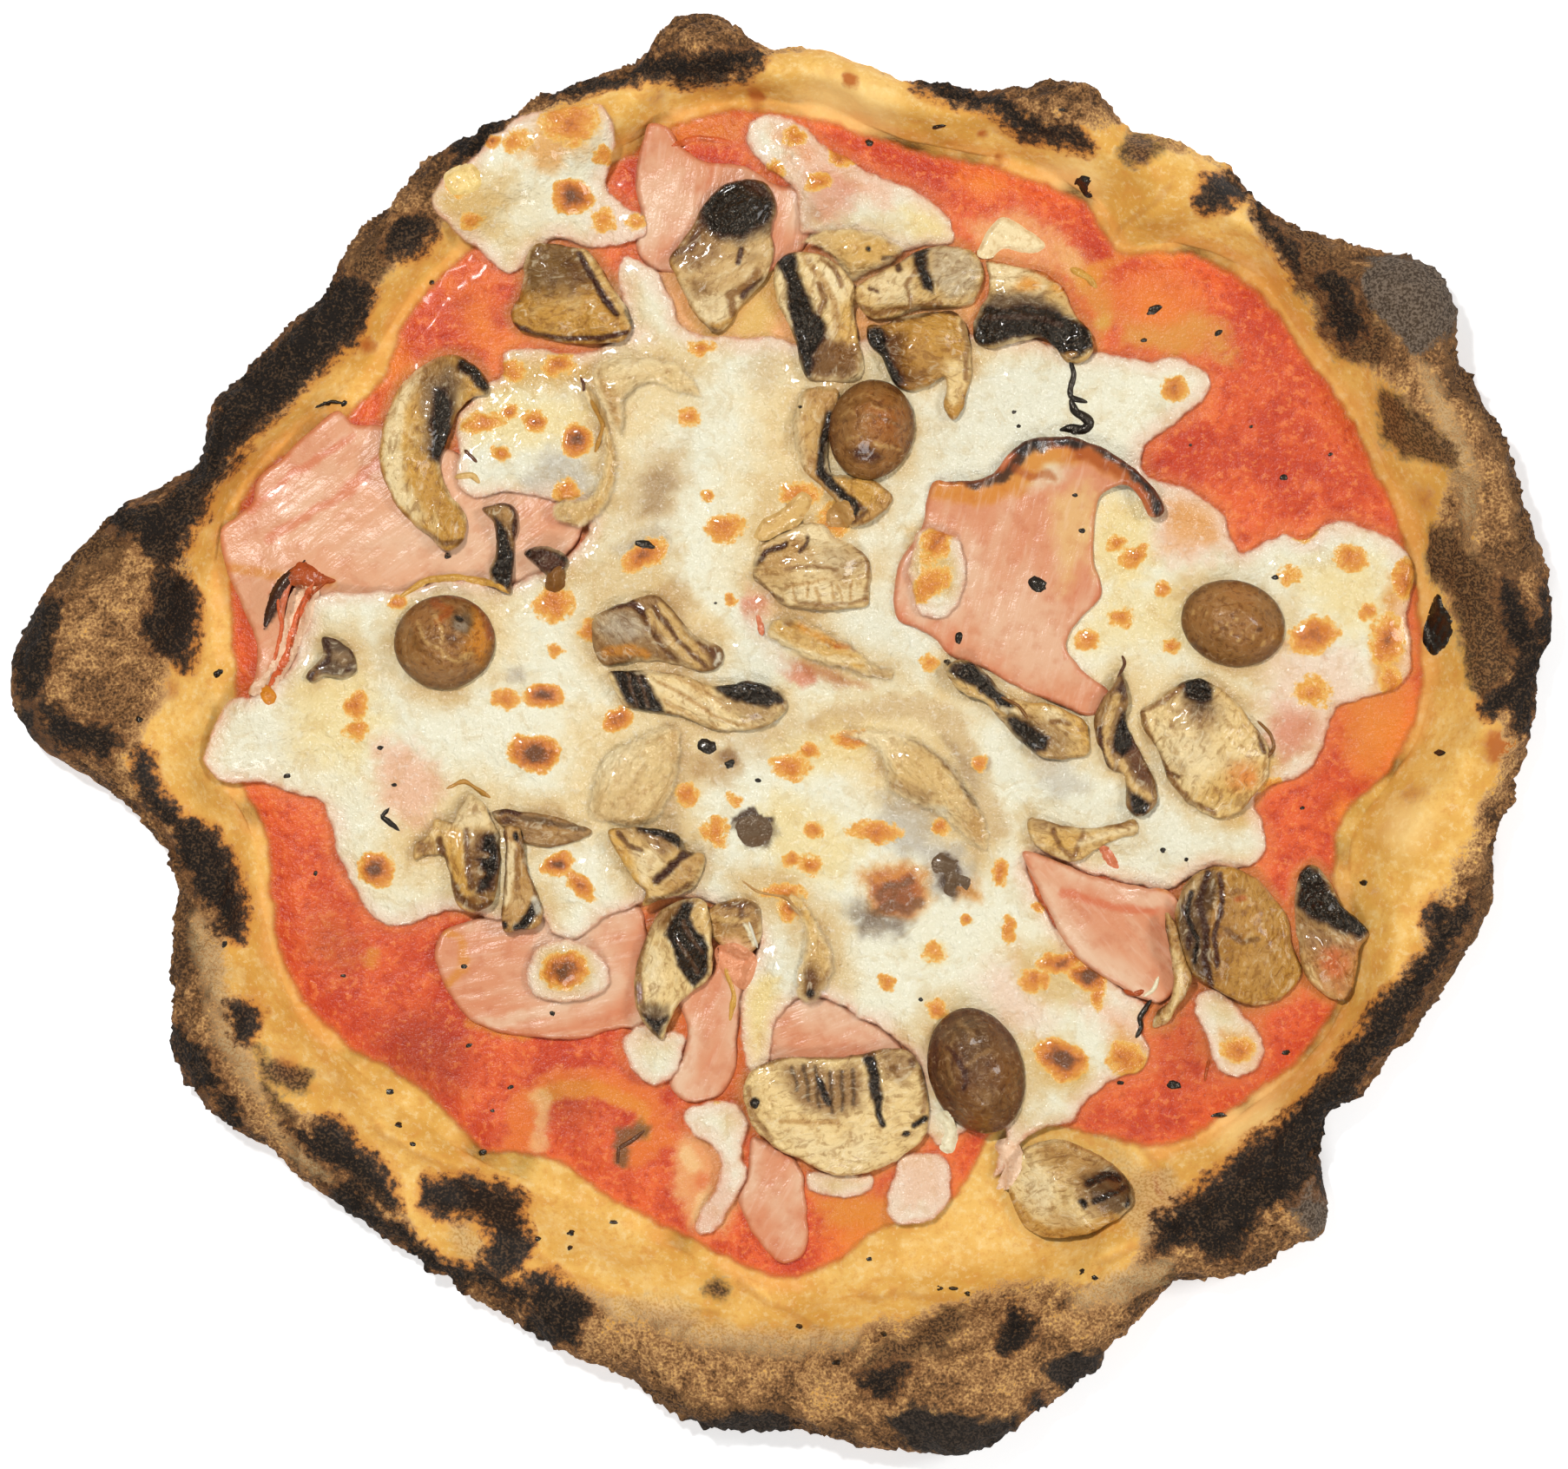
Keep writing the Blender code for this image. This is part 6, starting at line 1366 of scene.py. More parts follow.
# each slice's flesh, the way its fibres run in degrees, and the marks on it
mushroomLooks = {
    "mushroom_arc": ("pale", -45, (
        ("area", "ivory", 2.5, 0.8, ((9, 4), (22, 4), (26, -1), (22, -9), (18, -5), (11, -1))),
        ("area", "straw", 2.5, 0.6, ((24, -3), (33, -4), (38, -10), (36, -15), (28, -14), (23, -10))),
        ("area", "fawn", 1.5, 0.65, ((22, -9), (28, -11.5), (33, -13), (31, -17.5), (27, -15), (22, -11.5))),
        ("line", "tan", 2.2, 0.55, ((37, -5), (41, -11), (44, -18), (43, -24))),
        ("area", "tan", 2, 0.6, ((36, -19), (43, -17), (44, -25), (39, -23))),
        ("line", "umber", 0.6, 0.8, ((28, -1), (32, -3), (35, -6), (37, -8), (40, -12), (42.5, -15.5))),
        ("line", "bark", 0.9, 0.9, ((39.5, -11), (42, -14.5))),
        ("dot", "amber", 0.6, 0.8, (13, 0.5, 4.5, 2.4, 10)),
        ("dot", "pearl", 0.8, 0.8, (34, -17, 4, 2.4, -20)),
    )),
    "mushroom_big_crescent": ("honey", 80, (
        ("line", "ivory", 2.2, 0.85, ((-79, 78), (-83, 70), (-84, 61), (-82, 52), (-78, 47))),
        ("line", "ochre", 0.9, 0.8, ((-80, 79), (-85.5, 69), (-86.5, 58), (-84, 50), (-78, 43.5),
            (-71, 40.5))),
        ("area", "ochre", 3, 0.8, ((-79, 54), (-74, 57), (-69, 52), (-67, 45), (-71, 41), (-76, 44))),
        ("area", "fawn", 2.5, 0.85, ((-78, 80), (-73, 82), (-66, 80), (-69, 74), (-73, 58), (-77, 60),
            (-78, 70))),
        ("area", "ash", 1.8, 0.7, ((-76, 75), (-71, 78), (-68, 74), (-73, 58), (-76, 62))),
        ("area", "soot", 0.9, 1, ((-74, 74), (-71.5, 74), (-70.5, 68), (-70.5, 61), (-72, 57.5), (-75, 59),
            (-75, 66))),
        ("line", "soot", 1.2, 0.95, ((-68, 79), (-65.5, 77.5), (-64, 75), (-62.5, 73.5))),
        ("line", "umber", 0.5, 0.7, ((-78, 44), (-72, 40.5), (-68, 41))),
    )),
    "mushroom_black_cap": ("beige", 40, (
        ("area", "fawn", 1.2, 0.9, ((-17, 115), (-21, 107), (-25, 102), (-19, 99), (-13, 102), (-12, 106))),
        ("area", "ivory", 1.4, 0.7, ((-22, 96), (-16, 94), (-10, 96), (-7, 92), (-12, 88), (-17, 87))),
        ("area", "fawn", 0.8, 0.8, ((-19, 97), (-16, 97.5), (-15.5, 95), (-18, 93.5), (-19.5, 95))),
        ("line", "ochre", 1.1, 0.8, ((-24, 100), (-22, 93), (-18, 88), (-13, 86.5), (-9, 89))),
        ("line", "bark", 0.6, 0.75, ((-25, 102), (-23, 95), (-19, 89), (-14, 86))),
        ("line", "umber", 0.8, 0.85, ((-16, 113), (-18, 107), (-19.5, 104), (-24, 102.5))),
        ("line", "hazel", 0.8, 0.8, ((-5, 99), (-7, 96), (-11, 94), (-10, 90))),
        ("line", "bark", 0.6, 0.9, ((-2, 98), (-5, 96.5), (-8, 94))),
        ("line", "bark", 0.5, 0.9, ((-8.5, 103.5), (-9, 101))),
        ("area", "ash", 1.2, 0.7, ((-16, 108), (-9, 104.5), (-2, 108), (-2, 112), (-12, 110))),
        ("area", "soot", 1.2, 1, ((-17, 113), (-13, 118.5), (-8, 120), (-3, 118), (-1, 113), (-3, 109),
            (-8, 106.5),
                                  (-13, 106), (-16, 108.5))),
        # a paler sheen on the black top, a painted sheen
        ("area", "umber", 1.5, 0.6, ((-11, 119), (-5, 119), (-2, 115), (-7, 115.5))),
    )),
    "mushroom_black_edge": ("tan", -60, (
        ("area", "fawn", 2, 0.75, ((109, -36), (115, -40), (124, -45), (119, -48), (111, -45))),
        ("dot", "coral", 0.9, 0.6, (118.5, -49, 5, 5, 0)),
        ("area", "coral", 3, 0.35, ((115, -46), (123, -46), (121, -56), (116, -54))),
        ("area", "soot", 0.9, 1, ((110.5, -31), (113, -28), (115.5, -29.5), (118, -34), (122, -38),
            (126.5, -41.5),
                                  (124, -44), (119, -42), (114, -40), (110.5, -37))),
        ("line", "cream", 0.7, 0.6, ((113, -50), (116, -56), (120, -58))),
        ("line", "umber", 0.5, 0.8, ((118, -58), (121.5, -57.5), (122.5, -55))),
    )),
    "mushroom_black_leaf": ("bark", 30, (
        ("area", "slate", 1.5, 0.5, ((-52, 38), (-49, 38), (-48, 35), (-51, 36))),
        ("line", "soot", 0.8, 0.9, ((-55, 39), (-52, 41), (-49, 40.5), (-46, 37.5))),
        ("area", "hazel", 0.8, 0.7, ((-51, 34.5), (-48.5, 34.5), (-47, 31), (-49, 31))),
    )),
    "mushroom_black_strip": ("straw", -40, (
        ("area", "fawn", 2, 0.75, ((52, 4), (58, 3), (63, -2), (60, -5), (53, -4))),
        ("line", "honey", 1.6, 0.7, ((50, 8.5), (58, 7), (64, 4), (66, -1))),
        ("dot", "ivory", 0.8, 0.8, (58, 4, 4.5, 2.4, -15)),
        ("line", "hazel", 0.5, 0.85, ((58, 2.5), (60, 3), (61.5, 2))),
        ("line", "umber", 0.6, 0.6, ((46, 4), (50, 0), (54, -4))),
        ("area", "soot", 0.7, 1, ((35.5, 13), (37, 15.5), (41, 15.5), (44.5, 12.5), (47.5, 8.5), (50, 6),
            (49, 4),
                                  (45.5, 6.5), (41.5, 10))),
        ("dot", "ash", 0.8, 0.7, (37.8, 14, 2.2, 1.4, 30)),
        ("area", "soot", 0.8, 1, ((48, 3.5), (50, 4), (53.5, 1.5), (57.5, -1), (57, -3.5), (53.5, -4),
            (50, -1))),
        ("line", "ivory", 0.5, 0.7, ((47.5, 5.5), (51.5, 4.5))),
    )),
    "mushroom_black_stripe": ("cream", 60, (
        ("area", "ivory", 1.5, 0.8, ((6, 102), (12, 99), (14, 95), (12, 88), (9, 93), (6, 98))),
        ("area", "honey", 1.5, 0.7, ((12, 91), (16, 93), (17, 86), (16, 80), (12, 84))),
        ("area", "umber", 1.6, 0.85, ((4, 84), (9, 87), (12, 84), (17, 82), (16, 76), (5, 76))),
        ("area", "hazel", 1.5, 0.6, ((10, 84), (16, 84), (17, 78), (11, 79))),
        ("line", "tan", 0.7, 0.75, ((5, 103), (8, 98), (11, 93), (12, 87))),
        ("line", "hazel", 0.5, 0.75, ((9, 102), (12, 99), (13, 96))),
        ("line", "hazel", 0.6, 0.8, ((8, 89), (9, 93), (8, 96))),
        ("area", "soot", 0.7, 1, ((-1.5, 101), (0, 103.5), (3, 103.5), (3.5, 99), (5, 95), (7, 91),
            (9.5, 88), (9, 84),
                                  (7, 81), (6.5, 76), (4, 77), (3, 83), (2.5, 88), (1.5, 92), (1, 97))),
        ("line", "ivory", 0.5, 0.6, ((-0.5, 99), (0.5, 93), (2, 88))),
    )),
    "mushroom_bottom_cap": ("cream", 10, (
        ("area", "tan", 3, 0.85, ((53, -87), (62, -86), (71, -89), (75, -95), (68, -100), (61, -96),
            (56, -92))),
        ("dot", "ivory", 0.8, 0.95, (55, -98, 5.5, 8, 10)), ("dot", "beige", 0.8, 0.7, (61, -104, 5, 3, 0)),
        ("line", "tan", 0.5, 0.7, ((57, -88), (60, -91), (61, -89))),
        ("area", "fawn", 2, 0.85, ((63, -95), (69, -92), (74, -95), (75, -101), (69, -104), (64, -101))),
        ("area", "slate", 1, 0.8, ((65, -95), (71, -93), (75, -96), (75, -101), (71, -103), (66, -99))),
        ("line", "soot", 0.7, 0.8, ((66, -96), (69, -94.5), (72, -95))),
        ("line", "soot", 0.6, 0.8, ((67, -100), (70, -98.5), (73, -97))),
        ("dot", "soot", 0.6, 1, (64.5, -100.5, 1.3, 1.5, 60)),
        ("line", "soot", 0.7, 0.9, ((74, -94.5), (75.3, -98), (74.5, -101))),
        ("line", "ochre", 1.2, 0.8, ((49.5, -100), (53, -105), (58, -107.5), (65, -107), (71, -103.5))),
    )),
    "mushroom_brown_cap": ("ochre", 15, (
        ("area", "honey", 2.5, 0.6, ((-52, 92), (-40, 92), (-35, 87), (-52, 86))),
        ("area", "slate", 2.6, 0.7, ((-56, 104), (-48, 107), (-42, 104), (-40, 97), (-45, 95), (-52, 94),
            (-57, 96))),
        ("area", "umber", 1.6, 0.6, ((-47, 103), (-43, 101), (-41.5, 96), (-45, 95.5))),
        ("line", "straw", 1.4, 0.85, ((-41.5, 104), (-38.5, 99), (-36, 94), (-32.5, 89))),
        ("line", "bark", 0.6, 0.95, ((-43, 103), (-40.5, 98), (-38, 93), (-35, 90))),
        ("line", "soot", 0.5, 0.9, ((-38, 101), (-36, 97), (-33, 92), (-31.5, 87))),
        ("line", "bark", 0.5, 0.85, ((-57, 88), (-53, 85.5), (-45, 84.5), (-38, 85), (-33, 86))),
    )),
    "mushroom_collar": ("tan", 75, (
        ("area", "straw", 1.6, 0.7, ((4, 70), (8, 70), (8, 60), (5, 60))),
        ("line", "ivory", 1.6, 0.6, ((3.5, 71), (2.5, 65), (4, 58))),
        ("area", "honey", 1.6, 0.8, ((11, 54), (17, 56), (23, 52), (18, 46), (14, 46), (15, 50))),
        ("line", "soot", 0.9, 0.95, ((10.5, 68), (9.5, 64), (9, 59), (8.5, 56), (11, 53), (14, 50.5),
            (16.5, 48.5),
                                     (15, 46))),
        ("dot", "soot", 0.6, 0.9, (10, 56, 2.2, 1.6, 0)),
        ("line", "umber", 0.5, 0.8, ((17, 49), (18.5, 47.5), (15.5, 45))),
    )),
    "mushroom_comma": ("ash", 20, (
        ("dot", "fawn", 0.8, 0.6, (-94, 16, 3, 2.6, 0)),
        ("dot", "hazel", 0.8, 0.8, (-100, 12.5, 2.5, 2, 40)),
        ("line", "bark", 0.7, 0.95, ((-98, 21.5), (-97, 18), (-97.3, 15.5), (-100.5, 14), (-101, 12))),
        ("line", "bark", 0.5, 0.7, ((-96, 20.5), (-92.5, 19.5), (-91, 16), (-93, 13.5))),
    )),
    "mushroom_cream_cap": ("cream", 60, (
        ("area", "honey", 2.5, 0.6, ((95, -8), (104, -6), (102, -13), (95, -17), (88, -14))),
        ("dot", "orange", 0.9, 0.55, (99, -9, 6, 5, 0)),
        ("area", "ivory", 2.5, 0.7, ((80, 3), (90, 0), (94, -6), (88, -11), (82, -6))),
        ("area", "fawn", 2.6, 0.85, ((84, 9), (93, 8), (94, 3), (90, 0), (86, 3))),
        ("area", "ash", 1.6, 0.8, ((85, 10), (92, 9), (92.5, 5), (89, 4))),
        ("area", "soot", 0.8, 1, ((85, 10.5), (88, 12.8), (91, 12), (93, 9.5), (92, 7.2), (89.5, 6.5),
            (87, 8))),
        ("line", "straw", 1.6, 0.7, ((95, 10), (99, 6), (101, 1))),
        ("line", "umber", 0.5, 0.9, ((98, 8.5), (101, 5), (102.5, 1), (103.5, -4))),
        ("line", "hazel", 0.5, 0.85, ((77, 5.5), (78, 2), (80, -3), (83, -9), (87, -14), (93, -17))),
        ("line", "hazel", 0.5, 0.8, ((77.5, 5), (82, 7), (86, 10))),
        ("line", "umber", 0.4, 0.8, ((82, -8), (85, -9.5))),
    )),
    "mushroom_crescent": ("honey", -20, (
        ("area", "straw", 2, 0.8, ((-2, 23), (6, 22), (15, 17), (10, 15.5), (2, 18))),
        ("line", "amber", 1.5, 0.7, ((5, 24), (9, 22), (13, 19.5))),
        ("line", "ivory", 0.6, 0.7, ((-2, 21.5), (3, 18), (10, 16), (17, 15.5))),
        ("line", "hazel", 0.5, 0.8, ((-3, 20), (2, 16.5), (8, 14.5), (14, 14), (19, 12))),
        ("dot", "hazel", 0.6, 0.85, (2, 24, 1.8, 1.2, 0)),
        ("area", "fawn", 1.5, 0.8, ((18, 15), (24, 15), (24, 11), (19, 11.5))),
        ("line", "rust", 0.5, 0.7, ((12, 18.5), (15, 19), (16, 18))),
    )),
    "mushroom_dark_curl": ("fawn", 80, (
        ("line", "bark", 0.6, 0.9, ((-64, 48.5), (-61, 50), (-58, 49.5), (-56.5, 47), (-57, 42))),
        ("dot", "tan", 0.8, 0.8, (-58.8, 47, 1.8, 2, 0)),
        ("area", "soot", 0.6, 1, ((-61.5, 46.5), (-60, 45), (-58.5, 42), (-57, 38), (-57, 33), (-58.5, 31),
            (-60.5, 32.5),
                                  (-62.5, 34.5), (-61, 38), (-61, 42))),
    )),
    "mushroom_folded": ("straw", 80, (
        ("area", "ivory", 1.5, 0.85, ((-71, -20), (-67, -12), (-62, -18), (-63, -20.5))),
        ("dot", "hazel", 0.7, 0.8, (-76, -24.5, 3, 2.4, 0)),
        ("line", "honey", 1.4, 0.8, ((-69.5, -22), (-70, -28), (-67.5, -33))),
        ("line", "umber", 0.7, 0.9, ((-73, -23), (-72, -29), (-69, -35), (-65, -37.5), (-62, -36))),
        ("line", "umber", 0.7, 0.85, ((-67.5, -21), (-67, -27), (-66.5, -33))),
        ("area", "umber", 1.2, 0.8, ((-66, -21), (-60, -21), (-60, -34), (-65, -36), (-67, -28))),
        ("area", "soot", 0.9, 1, ((-63.5, -22), (-60.8, -21.5), (-60.5, -27), (-62, -33), (-65, -34),
            (-63.5, -29),
                                  (-65, -26))),
        ("line", "fawn", 0.6, 0.8, ((-66, -25.5), (-63, -26))),
        ("line", "fawn", 0.6, 0.8, ((-66, -29), (-64, -30))),
        ("dot", "hazel", 0.6, 0.9, (-66, -35.5, 1.4, 1, 0)),
        ("dot", "hazel", 0.6, 0.9, (-63.5, -35.3, 1, 0.8, 0)),
    )),
    "mushroom_foot": ("tan", 85, (
        ("line", "ivory", 1, 0.85, ((-58, -24), (-58, -30), (-59.3, -36))),
        ("line", "umber", 0.6, 0.7, ((-55.5, -23), (-54, -29), (-52, -35))),
        ("line", "umber", 0.6, 0.85, ((-59.3, -21), (-59.6, -30), (-60.3, -39))),
        ("line", "hazel", 0.5, 0.7, ((-56.5, -25), (-56.5, -33))),
        ("dot", "soot", 0.6, 1, (-56.6, -21.8, 1, 1.6, 0)),
        ("line", "soot", 1, 1, ((-52.5, -37), (-54, -39.5), (-56, -41.5))),
        ("dot", "soot", 0.6, 1, (-59.5, -41.3, 1.6, 1.3, 0)),
        # a painted glint on the wet dark stripe
        ("line", "pearl", 0.6, 0.8, ((-52.8, -35.5), (-52, -38))),
    )),
    "mushroom_gill_band": ("straw", 5, (
        ("area", "ivory", 1.5, 0.85, ((44, 102), (51, 100.5), (57, 98), (56, 94), (48, 95.5), (44, 97))),
        ("dot", "amber", 0.8, 0.8, (53, 96.5, 4.5, 2.4, 20)),
        ("dot", "amber", 0.8, 0.6, (60, 95.5, 3, 2, -30)),
        ("line", "rust", 0.5, 0.85, ((44, 102), (52, 100.5), (60, 97), (63, 92), (66, 87))),
        ("area", "ash", 1.6, 0.9, ((41, 93), (47, 95), (55, 94), (60, 91), (56, 89), (44, 90))),
        ("area", "soot", 0.9, 1, ((40, 91), (43, 92), (47, 91), (52, 92), (57, 91), (61, 90), (66, 87),
            (67, 83), (63, 80.5),
                                  (59, 81.5), (56, 84.5), (51, 85), (46, 83.5), (42, 83), (40.5, 86))),
        ("line", "slate", 0.6, 0.5, ((44, 89), (52, 89.5), (60, 88))),
        ("dot", "tan", 0.6, 0.85, (62, 81.5, 2.2, 1, 10)),
    )),
    "mushroom_gilled": ("cream", 75, (
        ("area", "hazel", 1, 0.8, ((-28, -40), (-21, -35), (-16, -35), (-20, -38), (-25, -42))),
        ("area", "ivory", 1.5, 0.7, ((-28, -45), (-26, -47), (-25, -54), (-28, -57), (-30, -52))),
        ("line", "hazel", 0.6, 0.8, ((-29, -42), (-30.6, -50), (-30.6, -56), (-29, -60))),
        ("area", "ash", 1.2, 0.8, ((-30, -58), (-24, -58), (-25, -62), (-28, -62))),
        ("area", "soot", 0.7, 1, ((-29.3, -60), (-27, -61), (-24.3, -60.5), (-26, -65), (-28, -63))),
        ("area", "soot", 0.5, 1, ((-21, -36), (-17.5, -36), (-17, -42), (-15.6, -46), (-15.6, -51),
            (-18.5, -54.5),
                                  (-20, -53), (-22, -50), (-23, -46), (-25, -43), (-23, -39))),
        ("line", "straw", 1.1, 0.95, ((-17, -36), (-18.3, -39), (-16.5, -41.5), (-15.5, -40))),
        ("line", "slate", 0.4, 0.8, ((-21, -40), (-17, -47))),
        ("line", "slate", 0.4, 0.8, ((-22, -44), (-18, -51))),
    )),
    "mushroom_grey_flap": ("fawn", -15, (
        ("area", "tan", 2, 0.7, ((-50, -18), (-43, -20), (-46, -23), (-52, -22))),
        ("line", "bark", 0.6, 0.8, ((-62, -17), (-59, -16.3), (-56, -17))),
        ("dot", "umber", 0.7, 0.9, (-58.5, -18.5, 2.6, 1.2, 0)),
        ("line", "slate", 0.6, 0.7, ((-55, -18), (-48, -19.5), (-42, -20.5))),
        ("dot", "soot", 0.6, 1, (-56, -21.5, 1.2, 1.6, 20)),
        ("dot", "ivory", 0.8, 0.6, (-50, -16.5, 4, 0.9, -15)),
    )),
    "mushroom_large": ("cream", 20, (
        ("area", "ivory", 2.5, 0.6, ((-2, -84), (10, -87), (22, -86), (18, -92), (6, -92))),
        ("area", "fawn", 1.6, 0.95, ((0, -71), (6, -70.5), (12, -72), (16.5, -71), (18, -75), (17, -80),
            (11, -82), (5, -80),
                                     (1.5, -75.5))),
        ("line", "slate", 0.35, 0.9, ((2.5, -71.5), (3.5, -76))),
        ("line", "slate", 0.35, 0.9, ((5, -71), (6, -78.5))),
        ("line", "slate", 0.35, 0.9, ((7.5, -71.5), (8.2, -80))),
        ("line", "slate", 0.35, 0.9, ((10.5, -72.5), (11, -81))),
        ("line", "slate", 0.35, 0.9, ((13, -72.5), (13.3, -80.5))),
        ("line", "slate", 0.35, 0.9, ((15.5, -72), (15.5, -79.5))),
        ("line", "soot", 0.6, 0.95, ((8, -74), (9, -76.5), (10.3, -79))),
        ("area", "fawn", 1.5, 0.85, ((21, -68.5), (27, -68), (29, -71), (26, -74.5), (22, -74))),
        ("dot", "umber", 0.7, 0.9, (28, -70, 1.3, 1.6, 0)),
        ("dot", "umber", 0.7, 0.7, (24, -71.5, 1.6, 1.2, 0)),
        ("line", "soot", 1, 1, ((18.7, -69.5), (20, -73), (20.4, -78))),
        ("line", "soot", 0.6, 0.95, ((20.4, -78), (21.6, -84))),
        ("dot", "soot", 0.5, 1, (-5.6, -79.3, 1.2, 1.6, -20)),
        ("line", "soot", 0.6, 1, ((28.5, -84), (31, -82.5))),
        ("dot", "soot", 0.5, 1, (26.6, -86, 1.1, 0.8, 0)),
        ("line", "tan", 0.5, 0.8, ((0, -83), (7, -83.5), (12, -83))),
        ("line", "hazel", 0.5, 0.7, ((-4, -71), (2, -69), (10, -69.3), (18, -69), (26, -67))),
        ("line", "hazel", 0.5, 0.7, ((30, -72), (31, -78), (30.5, -81))),
        ("line", "hazel", 0.5, 0.6, ((-7, -76), (-6, -82), (-2, -87))),
    )),
    "mushroom_left_disc": ("pale", 60, (
        ("area", "ivory", 3, 0.8, ((-41, -4), (-34, 0), (-28, 1), (-31, -6), (-38, -10), (-42, -12))),
        ("area", "milk", 2, 0.5, ((-40, -3), (-36, -1), (-36, -6), (-40, -8))),
        ("line", "tan", 1.6, 0.6, ((-22, 0), (-21.5, -8), (-24, -14), (-28, -19))),
        ("line", "hazel", 0.5, 0.7, ((-41.5, -12), (-41.7, -17), (-40, -19.5))),
        ("line", "tan", 1.2, 0.6, ((-39, -19), (-32, -20.5), (-26, -18.5))),
    )),
    "mushroom_long": ("cream", -32, (
        ("area", "ivory", 1.5, 0.7, ((-28, 12), (-20, 10), (-12, 4), (-4, 2), (-10, 0.5), (-20, 5),
            (-26, 9))),
        ("line", "tan", 0.4, 0.7, ((-26, 11), (-19, 7), (-12, 2.5), (-5, 1.5))),
        ("line", "tan", 0.4, 0.7, ((-22, 12), (-16, 9), (-11, 5))),
        ("line", "tan", 0.4, 0.6, ((-25, 7), (-19, 3.5), (-14, 1))),
        ("area", "fawn", 1.5, 0.7, ((-13, 8), (-2, 6), (0, 2), (-6, 3), (-12, 5.5))),
        ("line", "hazel", 0.5, 0.8, ((-29, 14), (-20, 13), (-14, 11))),
        ("line", "hazel", 0.5, 0.8, ((-24, 4.3), (-17, 1), (-12, 0))),
        ("dot", "hazel", 0.7, 0.8, (1, 6, 1.6, 2.6, 30)),
        ("area", "soot", 0.6, 1, ((-37, 14), (-33, 14.6), (-29.5, 14), (-28.3, 11), (-26, 7), (-25, 4.5),
            (-29, 4.3),
                                  (-33, 5.5), (-34.5, 10))),
        ("area", "soot", 0.7, 1, ((-14.5, 10), (-9, 11.6), (-4, 11.3), (0, 9.5), (0.7, 7), (-3, 6),
            (-8, 6.5), (-12, 8))),
        ("line", "slate", 0.35, 0.8, ((-33, 13), (-31, 6))),
        ("line", "slate", 0.35, 0.8, ((-30.5, 13), (-28.5, 6))),
    )),
    "mushroom_lower_arc": ("straw", 80, (
        ("area", "honey", 1.6, 0.85, ((1, -33), (5, -36), (8.5, -42), (5, -41), (2, -37))),
        ("dot", "hazel", 0.7, 0.75, (3, -38.5, 2.6, 1.8, 0)),
        ("line", "hazel", 0.8, 0.8, ((8.5, -41.5), (11.3, -46), (11.5, -50), (9.5, -55), (7, -57))),
        ("area", "umber", 1.5, 0.9, ((3.3, -51), (6, -49.5), (8.5, -51), (9, -55), (7, -57.5), (4.5, -56))),
        ("dot", "soot", 0.7, 0.9, (6.5, -55.5, 1.4, 1.4, 0)),
        # a painted glint on the dark wet patch
        ("dot", "pearl", 0.8, 0.7, (4.5, -52, 1.2, 0.7, 0)),
    )),
    "mushroom_pale_loaf": ("pale", 5, (
        ("area", "tan", 2, 0.75, ((-6, 38), (-1, 41), (5, 43), (6, 38), (0, 32.5), (-4, 32))),
        ("area", "stone", 2, 0.6, ((8, 41), (15, 39), (18, 36), (12, 33.5), (8, 36))),
        ("area", "ivory", 1.2, 0.8, ((4, 45), (10, 45), (12, 41), (6, 40.5))),
        ("area", "ivory", 0.8, 0.8, ((1.5, 31), (7, 32.5), (16, 31.6), (17.5, 29), (11, 27.6), (1.5, 28.5))),
        *(("line", "tan", 0.25, 0.75, ((x, 31.8 + y), (x + 0.5 - y, 28.4 + y))) for x, y in
          ((2.6, -0.4), (5.9, 0.5), (7.3, -0.5), (10.9, 0.3), (12.2, -0.3), (15.2, 0.6))),
        ("line", "tan", 0.4, 0.6, ((1, 31.5), (9, 32.8), (14, 32))),
        ("line", "hazel", 0.4, 0.6, ((4, 27.9), (10, 27.2), (18, 28.6))),
        ("line", "hazel", 0.5, 0.7, ((16, 40), (18.4, 37), (18.7, 33), (18, 29))),
        ("line", "umber", 0.4, 0.7, ((-6, 34), (-3, 30.5), (0, 28.5))),
        ("line", "bark", 0.55, 0.9, ((-5, 36.5), (-3, 39), (1, 40.8))),
        ("line", "bark", 0.35, 0.8, ((4, 38.8), (5.4, 40.4), (5.8, 42.4))),
        ("line", "hazel", 0.4, 0.6, ((1, 35), (6, 36), (12, 35))),
    )),
    "mushroom_pointed": ("fawn", 70, (
        ("area", "bark", 0.8, 0.9, ((71, 8), (73, 12.7), (74.2, 9.5), (73.4, 6.5))),
        ("line", "straw", 0.8, 0.85, ((72, 8), (70, 3), (69, -2), (70.5, -6))),
        ("line", "straw", 0.7, 0.85, ((73, -6), (74.5, -10), (77, -13), (79, -13.5))),
        ("line", "bark", 0.5, 0.85, ((68, 1), (68.5, -3), (70, -6.8))),
        ("area", "umber", 0.8, 0.95, ((74, 0), (77, -2.5), (80, -8), (79.5, -12), (76.5, -10), (74, -5))),
        ("area", "soot", 0.6, 1, ((72, 2), (73.5, 5.5), (75.5, 1), (75, -3), (73, -5), (71, -3))),
        ("area", "soot", 0.6, 1, ((74, -11.5), (76, -13), (79, -15), (78, -17.3), (75, -17))),
    )),
    "mushroom_right_fold": ("straw", -5, (
        ("area", "fawn", 1.3, 0.8, ((52, -17), (60, -18), (62, -20), (55, -20))),
        ("area", "honey", 1.6, 0.6, ((56, -22), (64, -21), (63, -26), (58, -25))),
        ("line", "hazel", 0.5, 0.85, ((58.5, -20.5), (59.5, -24), (62.5, -26.5), (64, -23), (65, -20.5))),
        ("line", "hazel", 0.5, 0.7, ((60, -19.5), (68, -20), (76, -19))),
        ("line", "ivory", 0.6, 0.7, ((64, -23.5), (70, -21.5), (76, -20.5))),
    )),
    "mushroom_ring": ("straw", 80, (
        ("line", "ochre", 0.8, 0.8, ((-44, 77), (-39, 71), (-36, 64), (-35, 58), (-37, 51), (-41, 46),
            (-46, 45.5))),
